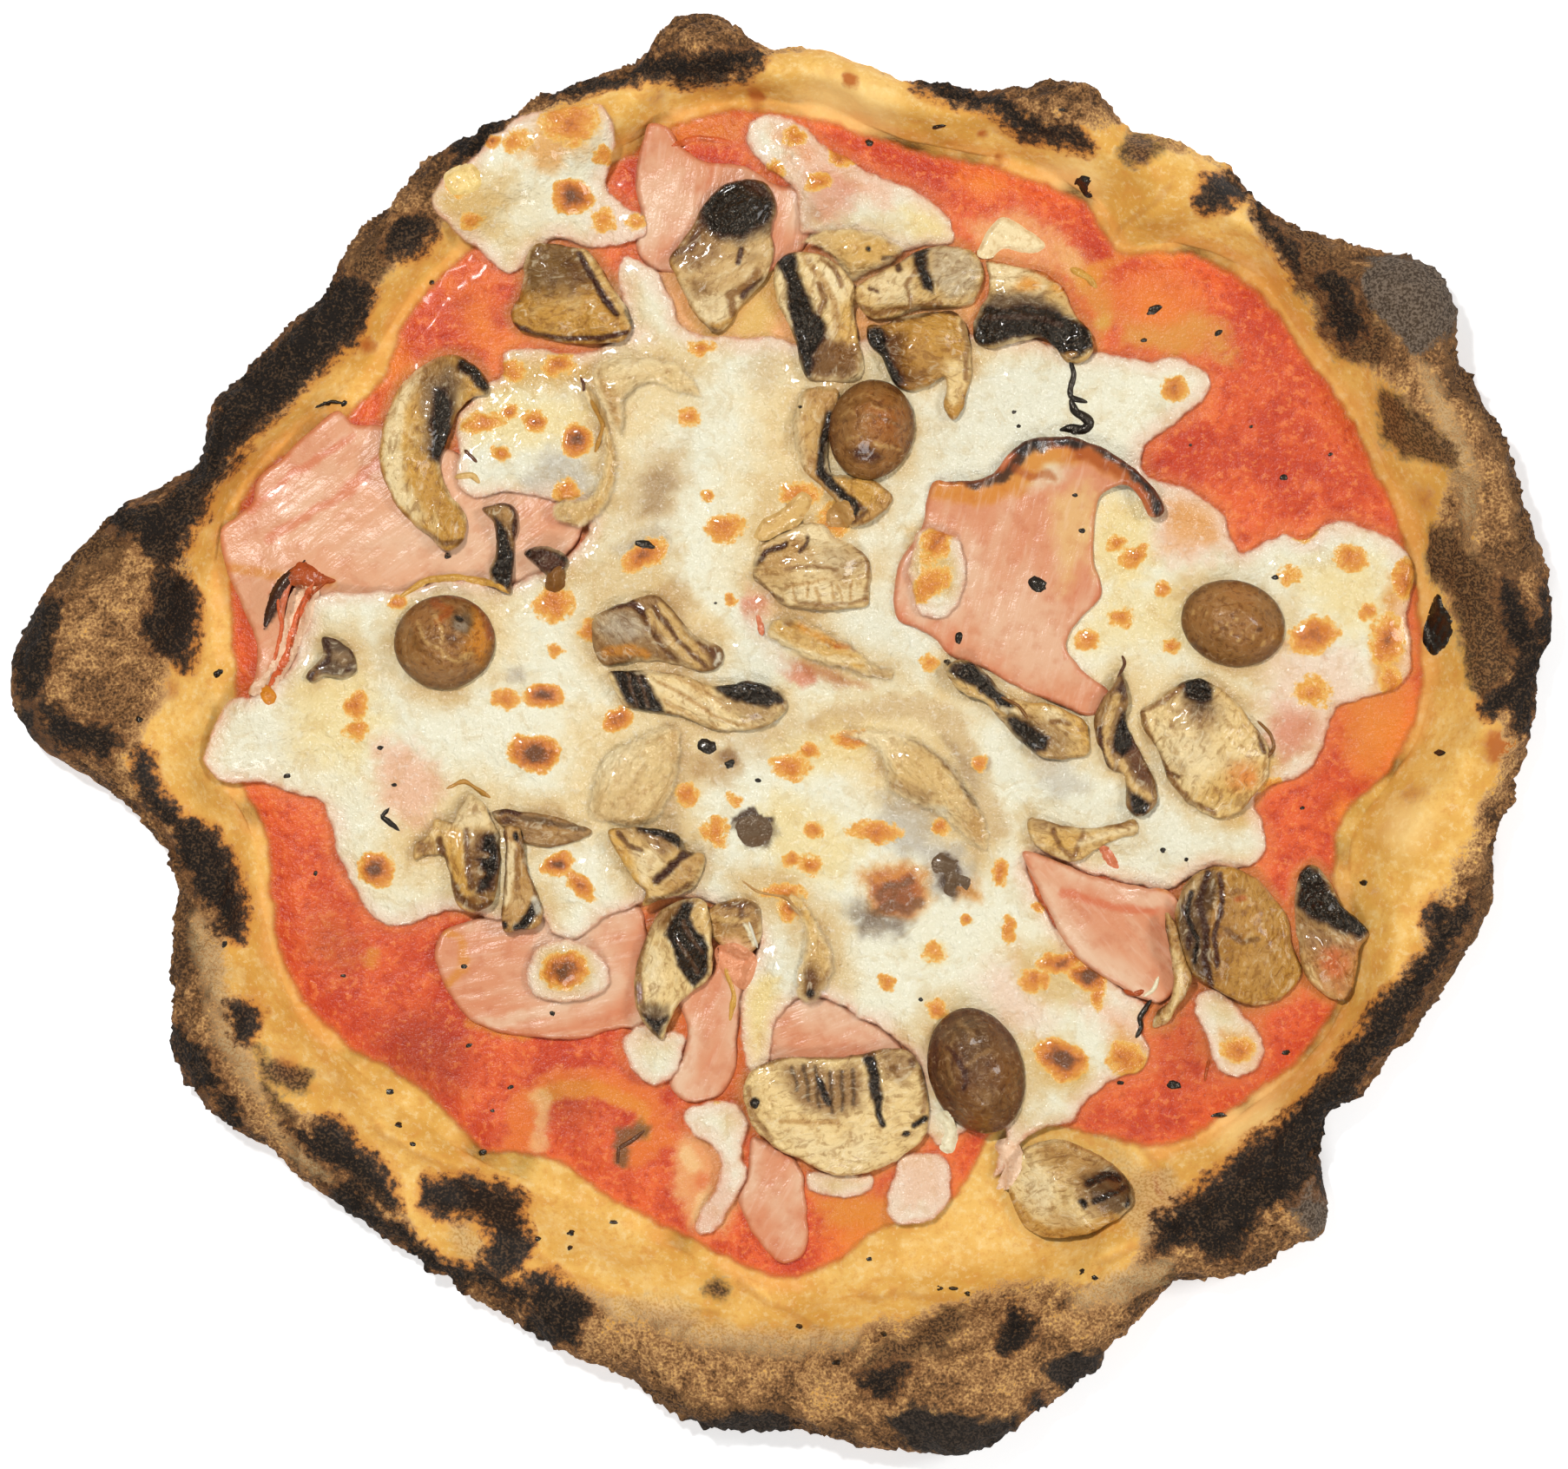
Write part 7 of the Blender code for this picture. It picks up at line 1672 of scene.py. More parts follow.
        ("line", "ivory", 1.4, 0.8, ((-44.5, 75), (-41, 68), (-39.5, 60), (-41, 54), (-46, 52))),
        ("area", "beige", 1.5, 0.7, ((-49, 51), (-43, 52), (-40, 48), (-44, 44.5), (-48, 47))),
        ("dot", "amber", 0.7, 0.9, (-46, 51, 3, 2, 0)), ("dot", "rust", 0.7, 0.7, (-46, 51.3, 1.6, 1, 0)),
        ("line", "bark", 0.35, 0.8, ((-42.6, 76), (-42.2, 74))),
    )),
    "mushroom_split_cap": ("straw", 30, (
        ("area", "ivory", 1.5, 0.7, ((20, 99), (27, 100), (29, 96), (28, 92), (21, 92), (18, 95))),
        ("area", "stone", 1.2, 0.95, ((32, 105), (38, 104.5), (43, 101), (42, 95), (36, 92.5), (33.5, 95),
            (32, 99))),
        *(("dot", "ivory", 0.6, 0.7, (x, y, 0.9, 0.6, 40)) for x, y in
          ((35, 102), (37, 100), (39, 102), (40, 98), (37, 96), (35, 98), (41, 100), (39, 95), (36, 94.5))),
        ("line", "hazel", 0.6, 0.85, ((15, 97), (15.5, 92), (20, 90), (28, 91.5), (34, 92))),
        ("line", "bark", 0.5, 0.9, ((21, 102), (26, 102), (28, 103.5))),
        ("line", "bark", 0.7, 0.9, ((24.5, 101.5), (25, 99.5))),
        ("line", "hazel", 0.4, 0.75, ((27.5, 92.5), (27, 96), (28.5, 99))),
        ("line", "umber", 0.4, 0.9, ((19, 95.5), (20.5, 94.8))),
        ("area", "soot", 0.7, 1, ((28, 103), (29.5, 106), (31.7, 104.5), (31, 100), (33, 96.5),
            (32.5, 94.5), (30.5, 95.5),
                                  (28.8, 99))),
    )),
    "mushroom_stalked_cap": ("ochre", -10, (
        ("area", "hazel", 2.5, 0.6, ((24, 84), (30, 78), (34, 79), (30, 74), (25, 74))),
        ("area", "honey", 2, 0.5, ((30, 88), (38, 89), (39, 83), (32, 83))),
        ("area", "umber", 1.6, 0.8, ((22, 86), (26, 86), (26, 79), (29, 75), (25, 74), (22, 79))),
        ("area", "cream", 0.9, 0.95, ((35, 80), (40, 81), (40.8, 76), (38, 70), (36, 69), (35, 73))),
        ("line", "ochre", 0.7, 0.85, ((34.8, 72), (36.5, 68.7), (38.6, 70.5))),
        ("line", "cream", 0.8, 0.8, ((38.5, 89), (40, 84), (40.7, 78))),
        ("line", "bark", 0.5, 0.75, ((20, 88), (26, 89), (34, 90.5), (38, 90))),
        ("line", "hazel", 0.5, 0.7, ((39, 88), (40, 82), (39.5, 76))),
        ("area", "soot", 0.7, 1, ((17.5, 87), (21, 86.8), (23, 85), (23, 82), (24, 79), (26, 76), (25, 74),
            (22, 76),
                                  (21, 79), (20, 81), (18, 82))),
    )),
    "mushroom_striped": ("fawn", -45, (
        ("area", "mist", 1.8, 0.8, ((-37, 26), (-31, 25.5), (-29, 21), (-35, 19), (-39, 22))),
        ("area", "hazel", 1.8, 0.6, ((-40, 21), (-35, 18), (-28, 17.5), (-34, 15), (-38, 15.5))),
        ("line", "amber", 1, 0.6, ((-37, 17.5), (-32, 18), (-29, 17))),
        ("line", "bark", 0.7, 0.85, ((-37, 27), (-32, 28), (-29, 25.5))),
        ("line", "straw", 0.9, 0.85, ((-26, 27), (-21, 21), (-15, 15))),
        ("line", "straw", 0.7, 0.8, ((-28.5, 26), (-23, 19), (-18, 14.5))),
        ("line", "umber", 0.45, 0.85, ((-24, 28), (-18, 20), (-14, 16.5))),
        ("line", "umber", 0.45, 0.85, ((-27.5, 27), (-22, 20), (-16.5, 14.5))),
        ("line", "umber", 0.45, 0.8, ((-30, 25), (-25, 18), (-22, 15.5))),
        ("dot", "bark", 0.6, 0.95, (-21.5, 26.5, 1.2, 1.6, 40)),
        ("area", "umber", 0.9, 0.85, ((-16.5, 18), (-12.6, 19), (-12.4, 15), (-15, 14))),
        # a painted glint on the dark wet patch
        ("line", "pearl", 0.5, 0.8, ((-13.2, 17), (-14.2, 14.8))),
    )),
    "mushroom_tan_fold": ("tan", 20, (
        ("area", "fawn", 1.6, 0.6, ((-15, -37), (-5, -37), (-5, -42), (-13, -42))),
        ("area", "blush", 1.2, 0.9, ((-13, -43.5), (-9, -44), (-6, -46), (-8, -48), (-12, -46.5))),
        ("line", "umber", 0.7, 0.85, ((-13, -36), (-11, -36.8), (-8, -36.2), (-5, -36.8), (-4.4, -38.5))),
        ("line", "straw", 0.5, 0.7, ((-15, -39.5), (-11, -40), (-7, -40))),
        ("line", "umber", 0.6, 0.8, ((-8.6, -37), (-8.4, -39))),
        # a painted highlight line on the wet slice
        ("line", "milk", 0.4, 0.95, ((-7.5, -41), (-5.4, -45))),
    )),
    "mushroom_thin_strip": ("tan", 80, (
        ("line", "cream", 0.7, 0.85, ((84, -47), (85.5, -50), (85, -55), (83, -61))),
        ("line", "umber", 0.5, 0.8, ((82, -40), (83, -47), (83, -56), (81, -60))),
    )),
    "mushroom_triangle": ("straw", -30, (
        ("line", "honey", 1.3, 0.75, ((-36, -21), (-34, -25), (-31, -31), (-30, -36))),
        ("area", "ivory", 1.2, 0.8, ((-32, -25), (-27, -24), (-25, -28), (-29, -32), (-31, -30))),
        ("area", "fawn", 1.2, 0.85, ((-34, -20.5), (-26, -21), (-22, -24), (-25, -27), (-28, -24))),
        ("line", "umber", 0.5, 0.8, ((-35, -21), (-33, -24), (-30, -25))),
        ("area", "tan", 1.2, 0.75, ((-25, -32), (-20, -26), (-16.5, -26), (-18, -31), (-24, -35))),
        ("line", "soot", 1.1, 0.95, ((-30, -20.2), (-25, -21), (-22, -23), (-19.5, -25))),
        ("line", "bark", 0.8, 0.95, ((-19.5, -25), (-24, -29), (-26.5, -31.5))),
        ("line", "umber", 0.5, 0.7, ((-29, -36), (-24, -35), (-19, -32))),
    )),
    "mushroom_upper_disc": ("straw", 20, (
        ("area", "beige", 2, 0.6, ((3, 106), (12, 108), (10, 104), (5, 104))),
        ("area", "honey", 2, 0.5, ((13, 106), (22, 106), (24, 102), (16, 101))),
        ("line", "hazel", 0.4, 0.7, ((4, 106), (10, 108.5), (16, 108.5))),
        ("dot", "soot", 0.6, 0.95, (18.7, 104, 0.8, 0.6, -30)),
        ("line", "bark", 0.45, 0.9, ((22, 102), (25, 101.8), (27, 102.5))),
        ("line", "hazel", 0.5, 0.7, ((14, 97), (19, 99), (25, 102))),
    )),
    "mushroom_veil": ("pale", 10, (
        ("area", "ivory", 2.5, 0.7, ((-38, 82), (-30, 82), (-24, 80), (-32, 76), (-37, 77))),
        ("area", "tan", 1.2, 0.75, ((-37.5, 73), (-34, 73), (-33.5, 66), (-35.5, 65))),
        ("line", "tan", 0.8, 0.7, ((-40.5, 80), (-38, 74), (-35, 67))),
        ("line", "tan", 0.6, 0.5, ((-22, 80), (-19, 76), (-16.5, 72.5))),
    )),
    "mushroom_wrinkled": ("ochre", 80, (
        ("area", "hazel", 3, 0.45, ((92, -36), (97, -33), (98, -46), (94, -54), (92, -46))),
        ("area", "tan", 2, 0.5, ((98, -46), (106, -44), (107, -54), (100, -56))),
        ("area", "slate", 1, 0.9, ((84.5, -37), (88, -31), (93, -29), (93.5, -35), (91, -41), (92.5, -48),
            (92, -54.5),
                                     (88, -51), (85, -44))),
        ("area", "beige", 1, 0.75, ((86, -34), (90, -29), (91.5, -31), (88, -36))),
        ("line", "bark", 0.6, 0.9, ((91.5, -29.5), (89.5, -36), (91, -42), (90.5, -48), (92.5, -54))),
        ("line", "bark", 0.5, 0.9, ((85.5, -37), (88, -41), (87, -46))),
        ("line", "bark", 0.5, 0.85, ((94, -30), (94.5, -36), (92.5, -44), (93.5, -50))),
        ("line", "soot", 0.45, 0.85, ((88, -34), (87, -39), (89, -44), (88.5, -49))),
        ("dot", "rust", 0.7, 0.7, (98.5, -35.5, 2, 1, 10)),
        ("line", "umber", 0.5, 0.6, ((95, -42), (99, -45), (102, -44))),
    )),
}

mushroom = {
    "sheet": {"step": 0.42, "ragged": 0.45, "raggedSize": 3.5, "rounding": 0.7, "foot": 0.3, "soften": 1.0},
    "filmed": ("mushroom_arc", "mushroom_left_disc", "mushroom_ring", "mushroom_veil", "mushroom_crescent",
               "mushroom_lower_arc", "mushroom_upper_disc"),  # slices that lie under a film of cheese
}

# the mushrooms, the olives and the scraps share these
sliceTint = (0.98, 0.93, 0.8)
sliceShine = (0.02, 0.028, 0.022)
warmShine = (1.0, 0.86, 0.68, 1.0)


def makeMushrooms():
    material = mushroomMaterial()
    for node, (flesh, grain, marks) in mushroomLooks.items():
        sheet = Sheet(node, **mushroom["sheet"])
        x, y = sheet.x, sheet.y
        along, across = sheet.setGrain(grain)
        paint = Paint(x, y, flesh)
        paint.lay("tan", 0.5 * ramp(0.1, 0.8, cloud(x, y, 8, 43, 3)))
        paint.lay("ivory", 0.35 * ramp(0.1, 0.8, cloud(x, y, 7, 44, 3)))
        paint.lay("hazel", 0.2 * ramp(0.25, 0.75, cloud(along * 0.4, across, 2.2, 47, 2)))
        paint.marks(marks)
        film = 1.0 if node in mushroom["filmed"] else 0.0
        streak = ramp(0.25, 0.8, cloud(along * 0.4, across, 2.6, 56, 3))
        paint.lay("ivory", 0.4 * streak * ramp(90, 150, paint.brightness()))
        paint.lay("umber", (0.2 - 0.12 * film) * ramp(0.35, 0.8, cloud(along * 0.6, across, 2.0, 57, 3)))
        uneven = cloud(x, y, 7, 48, 2)
        edge = ramp(1.2 + 1.6 * film, 0.1, sheet.rim + 0.5 * paint.grain)
        sunk = np.clip(ramp(0.05, 0.5, uneven) + film, 0, 1) * edge
        paint.lay("umber", (1 - film) * 0.25 * ramp(0.0, -0.5, uneven) * ramp(0.7, 0.1, sheet.rim))
        paint.lay("ivory", 0.7 * sunk)
        sheet.z -= (sheet.z - sheet.floor) * 0.7 * sunk
        dark = ramp(90, 50, paint.brightness())
        sheet.masks["paint"] = paint.result(sliceTint, sliceShine)
        sheet.masks["black"] = dark
        sheet.masks["wet"] = np.clip(0.6 + 0.4 * np.maximum(dark, film) + 0.7 * cloud(x, y, 5, 49, 2), 0, 1)
        sheet.masks["film"] = np.full(len(x), film)
        sheet.masks["cover"] = np.clip(sheet.rim / 2.4, 0, 1) if film else np.ones(len(x))
        inner = np.clip(sheet.rim / 1.5, 0, 1)
        sheet.z += inner * (0.4 * cloud(x, y, 6, 45, 3) + 0.2 * cloud(along * 0.25, across, 1.5, 46, 2) - 0.1)
        sheet.z += inner * paint.relief(0.5)
        sheet.build(material)


def mushroomMaterial():
    g = Graph("cooked_mushroom")
    along = g.along(1.8)
    wrinkle, gill = g.noise(1.8, 4.0, 0.6, 1.2, along), g.noise(0.5, 1.0, place=along)
    patch, fine = g.noise(2.2, 4.0, 0.6), g.noise(0.45, 2.0)
    black, wet, film = g.mask("black"), g.mask("wet"), g.mask("film")
    flesh = g.colour("paint")
    flesh = g.shade(patch.above(0.5, 0.32) * 0.6, flesh, srgb(206, 182, 150))
    # painted shade in the wrinkles' hollows and a painted highlight on their ridges, where the bump also
    # falls and rises
    flesh = g.shade(wrinkle.above(0.48, 0.36) * (0.55 - film * 0.35), flesh, srgb(176, 146, 110))
    flesh = g.mix(wrinkle.above(0.55, 0.68) * (0.3 - black * 0.3), flesh, srgb(246, 230, 192))
    flesh = g.mix((gill + fine * 0.4).above(0.74, 0.88) * black * 0.35, flesh, srgb(96, 74, 54))
    drop = g.noise(1.3, 1.0)
    height = (patch - 0.5) * 0.35 + (wrinkle - 0.5) * 0.5 + (gill - 0.5) * 0.12
    height = height + (drop - 0.5) * wet * (0.5 + black)
    seen = (g.mask("cover") + (patch - 0.5) * 0.7).above(0.05, 0.6)
    return g.finish(flesh, 0.48 - wet * 0.33, height, coat=wet * 0.3 - black * 0.08, coatRoughness=0.06,
                    alpha=seen, Specular_IOR_Level=0.45, Specular_Tint=warmShine)


olive = {
    "sheet": {"step": 0.4, "ragged": 0.2, "raggedSize": 5, "rounding": 7.0, "foot": 0.12, "soften": 1.2},
}

# each olive's skin and the marks on it
oliveLooks = {
    "olive_left": ("olive", (
        ("area", "amber", 1.6, 0.85, ((-66, 29), (-61, 26), (-61, 20), (-64, 14.5), (-66.5, 17), (-66, 22))),
        ("line", "rust", 0.8, 0.7, ((-72, 30), (-67, 29), (-63, 26), (-61.5, 21))),
        ("line", "rust", 1, 0.6, ((-74, 28), (-71, 26), (-73, 24))),
        ("dot", "hazel", 0.9, 0.7, (-74, 20, 5, 4, 20)),
        ("dot", "ash", 0.7, 0.9, (-68, 23.8, 3.2, 3.4, 0)), ("dot", "mist", 0.7, 0.6, (-68, 23, 2, 1.6, 0)),
        ("dot", "umber", 0.8, 0.9, (-69.7, 20, 2.2, 1.8, -20)),
        # the pit hole's black middle, a painted shade in the cavity
        ("dot", "soot", 0.5, 1, (-68.6, 24.4, 1.1, 0.9, -30)),
        ("line", "hazel", 0.5, 0.8, ((-79, 22), (-77, 18), (-73, 15))),
        # painted glints: thin pale lines along the skin's wrinkles
        ("line", "straw", 0.4, 0.6, ((-78, 24), (-75, 19), (-71, 16.5))),
        ("line", "straw", 0.4, 0.7, ((-72, 16), (-69, 15.5), (-66, 17))),
        ("line", "straw", 0.4, 0.6, ((-74, 25), (-72, 22), (-72, 19))),
    )),
    "olive_top": ("olive", (
        ("area", "rust", 3, 0.35, ((18, 72), (27, 69), (26, 60), (20, 64))),
        # the dark slit, a painted shade in the cut
        ("area", "bark", 1.2, 0.9, ((14, 60.5), (17, 61.5), (21, 59.5), (20, 57.8), (16, 58.5))),
        # painted highlights: the thin straw lines on this olive are glints along its wrinkles
        ("line", "straw", 0.25, 0.4, ((15, 71), (18, 72.3), (21, 71.5))),
        ("line", "straw", 0.25, 0.4, ((13, 68), (15, 69.5), (16, 68))),
        ("line", "straw", 0.25, 0.4, ((19, 70.2), (22, 69.5))),
        ("line", "hazel", 0.4, 0.6, ((14, 70), (19, 71), (24, 69.5))),
        ("line", "hazel", 0.4, 0.6, ((13, 67), (19, 68), (26, 66))),
        ("line", "straw", 0.25, 0.4, ((14, 63), (17, 63.8))),
        ("line", "hazel", 0.6, 0.7, ((11, 72), (10.5, 66), (11.5, 60))),
        ("line", "straw", 0.4, 0.6, ((20, 62), (23, 61), (26, 60.5))),
    )),
    "olive_right": ("olive", (
        ("area", "tan", 3, 0.4, ((88, 31), (100, 33), (106, 28), (94, 26))),
        # painted glints: small pale dots on the olive's lower half
        *(("dot", "straw", 0.7, 0.65, (x, y, 0.9, 0.5, 60)) for x, y in
          ((88, 26), (90, 27), (91, 25.5), (93, 22), (95, 23), (96, 21), (98, 20), (99, 22), (101, 20.5),
              (102, 22),
           (103, 19.5), (105, 21), (94, 20.5), (97, 24), (106, 20), (92, 24))),
        ("dot", "umber", 0.6, 0.9, (102, 22, 0.9, 1, 0)),
        ("line", "hazel", 0.5, 0.7, ((92, 24), (95, 22), (94, 19))),
        # the lower rim made darker, a painted shade on the olive's curved side
        ("line", "hazel", 0.6, 0.6, ((88, 19), (94, 16), (101, 16), (106, 20))),
    )),
    "olive_bottom": ("plum", (
        ("area", "slate", 3, 0.6, ((36, -63), (42, -59), (46, -66), (40, -72))),
        ("dot", "fawn", 0.9, 0.65, (44, -77.5, 4.6, 4, -30)),
        ("area", "hazel", 3, 0.6, ((46, -66), (51, -68), (51, -78), (46, -72))),
        # painted highlights: the thin fawn lines are glints along the skin's wrinkles
        ("line", "fawn", 0.4, 0.6, ((37, -64), (35.5, -70), (37, -75))),
        ("line", "fawn", 0.4, 0.7, ((39, -71), (42, -69), (45, -67))),
        ("line", "bark", 0.5, 0.7, ((36, -67), (39, -72), (39, -76))),
        ("line", "fawn", 0.4, 0.6, ((38, -62), (41, -64), (40, -66))),
        ("line", "bark", 0.5, 0.6, ((33.5, -66), (33, -73), (37, -80))),
    )),
}


def makeOlives():
    material = oliveMaterial()
    for node, (skin, marks) in oliveLooks.items():
        sheet = Sheet(node, **olive["sheet"])
        x, y = sheet.x, sheet.y
        paint = Paint(x, y, skin, 0.8)
        paint.lay("hazel", 0.5 * ramp(0.0, 0.7, cloud(x, y, 6, 53, 3)))
        paint.lay("tan", 0.3 * ramp(0.1, 0.7, cloud(x, y, 2, 54, 3)))
        paint.marks(marks)
        # darker towards the rim where the olive's side slopes away, a painted shade
        paint.lay("bark", 0.45 * ramp(2.5, 0.0, sheet.rim))
        sheet.masks["paint"] = paint.result(sliceTint, sliceShine)
        sheet.z += 0.25 * cloud(x, y, 4, 52, 3) + 0.12 * cloud(x, y, 1.6, 55, 2) + paint.relief(0.5)
        sheet.build(material)


def oliveMaterial():
    g = Graph("olive")
    patch, fine = g.noise(1.4, 3.0, 0.6, 0.5), g.noise(0.45, 2.0)
    # painted shade in the skin's hollows and a painted highlight on its ridges, where the bump also falls and
    # rises
    skin = g.shade(patch.above(0.5, 0.34) * 0.8, g.colour("paint"), srgb(190, 164, 140))
    skin = g.mix(patch.above(0.56, 0.72) * 0.3, skin, srgb(206, 170, 124))
    height = (patch - 0.5) * 0.6 + (fine - 0.5) * 0.12
    return g.finish(skin, 0.2, height, coat=0.3, coatRoughness=0.08, Specular_Tint=warmShine)


# how deep a scrap's edge lies in what it rests on, and the size of a leaf's triangles
scrap = {"fleckSunk": 0.15, "strandSunk": 0.2, "leafSunk": 0.2, "leafStep": 0.45}

# black flecks: x, y, length, width, turn
flecks = (
    (80, 91, 4, 2, 30), (78, 84.5, 1.8, 1.2, 0), (94, 86, 2, 1.4, 40), (34, 130, 3, 1, 10),
    (19, 127, 2, 1.6, 0),
    (55, 32, 5, 3.2, -30), (38, 20.5, 2, 3, 0), (63, 51, 1.6, 1, 0), (64.5, 43.5, 1.6, 1.2, 0),
    (50, 69, 1.4, 1, 0),
    (51, 66, 1.2, 1, 0), (106, 33.5, 1.8, 1.2, 20), (108, 55, 2, 1.4, 0), (-121, 13, 2.4, 1.6, 40),
    (-137, 3, 2, 1.4, 0),
    (-94, 71, 2, 1.2, 50), (-97.5, 71, 1.6, 1.2, 0), (-71.5, 38, 1.6, 1.4, 0), (-119, -45, 2.2, 1.2, 60),
    (-106, -9, 1.8, 1.2, 0), (-86, -3, 1.6, 1.2, 0), (-84, -77, 2, 1.4, 0), (-84, -19, 5.5, 1.6, -40),
    (-85, -17, 3.6, 1.2, 50), (-83, -11, 1.6, 1, 0), (-29, 40.5, 5, 2, -10), (-68, -50, 1.6, 1.2, 0),
    (-49, -60, 1.4, 1.2, 0), (-67, -67, 2, 1, 20), (-82, -84, 1.8, 1.2, 0), (-79, -88, 1.6, 1, 0),
    (-64, -90, 1.8, 1.4, 0),
    (-36, -105, 2, 1, 0), (-45, -107, 1.6, 1.2, 0), (-45, -110, 1.4, 1, 0), (84.5, -75.5, 4, 2, -10),
    (94, -82, 3.5, 1.2, 5), (108.5, -68.5, 2, 1.2, 0), (73, -75, 1.6, 1, 0), (125, -32, 1.8, 1.2, 0),
    (141, -4, 2, 1.4, 0),
    (64, -115, 2, 1, 30), (67, -116, 1.6, 1, 0), (37, -119, 1.8, 1, 0), (34, -119, 1.4, 1, 0),
    (40, -120, 1.4, 1, 0),
    (19, -113, 1.6, 1.2, 0), (12, -134, 2, 1.2, 0), (4, -127, 1.6, 1, 0), (30, -57, 1.2, 1, 0),
    (82, -25, 1.4, 1.2, 0),
    (87, -27, 1.2, 1, 0), (-5, -10, 1.6, 1.2, 0), (35.5, 15.5, 1.6, 1.2, 0), (-16, -3, 4.4, 3.6, 10),
    (-11, -6.5, 2.6, 2, 30),
    (-5.5, -79.3, 2, 2.6, -20), (60, 133, 1.6, 1, 0), (-62, -81, 1.4, 1, 0), (101, 66, 1.2, 0.9, 0),
    (88, 62, 1.1, 0.9, 0),
    (118, 60, 1.4, 1, 30), (-75, 97, 1.2, 1, 0), (-100, -30, 1.6, 1, 70), (-94, -52, 1.4, 1, 0),
    (-58, -76, 1.6, 1, 20),
    (22, -128, 1.8, 1, 0), (-52, -108, 1.6, 1, 10), (112, -16, 1.3, 1, 0), (4, 70, 1, 0.8, 0),
    (-14, 28, 1, 0.8, 0))

# thin strands: colour, half width, height, path
strands = (
    ("soot", 0.7, 0.7, ((62, 80), (63, 77), (62, 74), (62, 72), (64, 71.5), (66, 71))),
    ("soot", 1, 0.8, ((62, 72), (63, 69), (65, 68), (66.5, 66.5), (65, 65), (62, 65.6), (59.5, 65))),
    ("soot", 0.6, 0.8, ((79.5, -57), (78, -59.5), (76.8, -61), (77.5, -63), (76, -65.5))),
    ("coral", 0.9, 0.5, ((-100, 33), (-104, 25), (-106, 17), (-110, 9))),
    ("rust", 0.5, 0.5, ((-97, 33), (-103, 28), (-105, 19), (-109, 11))),
    ("coral", 0.5, 0.4, ((-108, 30), (-107, 23), (-109, 15))),
    ("amber", 1.6, 0.8, ((-110.5, 10.5), (-110, 8), (-108.5, 6.5))),
    ("rust", 0.7, 0.6, ((73.5, -55), (76, -56), (78, -55))),
    # a painted highlight: a white strand where the cheese shines
    ("milk", 0.5, 0.6, ((81, -52), (80, -55), (77.5, -56.5))),
    ("rust", 0.35, 0.5, ((92, -70), (91.5, -72), (91, -75))),
    ("soot", 0.4, 0.6, ((-100, 70), (-97, 71.5), (-94, 71))),
    ("straw", 0.8, 0.7, ((-70, 55), (-66, 55.5), (-64.5, 53.5))),
    ("umber", 0.5, 0.6, ((-68, 61), (-66, 59), (-65, 58))),
    ("honey", 0.8, 0.8, ((-82, 29), (-76, 33), (-69, 33.5), (-61, 32), (-58, 30))),
    ("hazel", 0.45, 0.5, ((102, 3), (105, 0), (106, -3), (104, -5.5))),
    ("rose", 0.7, 0.3, ((-5, 26), (-4, 21))),
    ("hazel", 0.4, 0.6, ((53, 3), (51, 6), (47, 8))),
    ("ochre", 0.6, 0.6, ((-72, -12), (-68, -10), (-62, -14))),
    ("umber", 0.5, 0.5, ((-29, -85), (-32, -87.5), (-35, -89), (-35, -93))),
    ("honey", 0.9, 0.7, ((62, 100), (66, 98), (68, 95.5))),
    ("umber", 0.35, 0.5, ((-43, 76.5), (-42, 74.5), (-42.5, 73))),
    ("umber", 0.4, 0.5, ((72, 12), (74, 15), (73, 17))),
    ("coral", 0.7, 0.5, ((-24, 126), (-18, 128), (-10, 127))),
    ("tan", 0.35, 0.4, ((-9, -31), (-5, -34), (1, -35), (4, -38))),
    # a painted highlight: a pale strand along the slice's highlight line
    ("pearl", 0.35, 0.5, ((-7, -40), (-6, -43), (-5, -46))),
    ("honey", 0.7, 0.6, ((-12, -50), (-10, -56), (-11, -62))),
    ("ochre", 0.5, 0.5, ((-40, 60), (-38, 66), (-41, 72))))

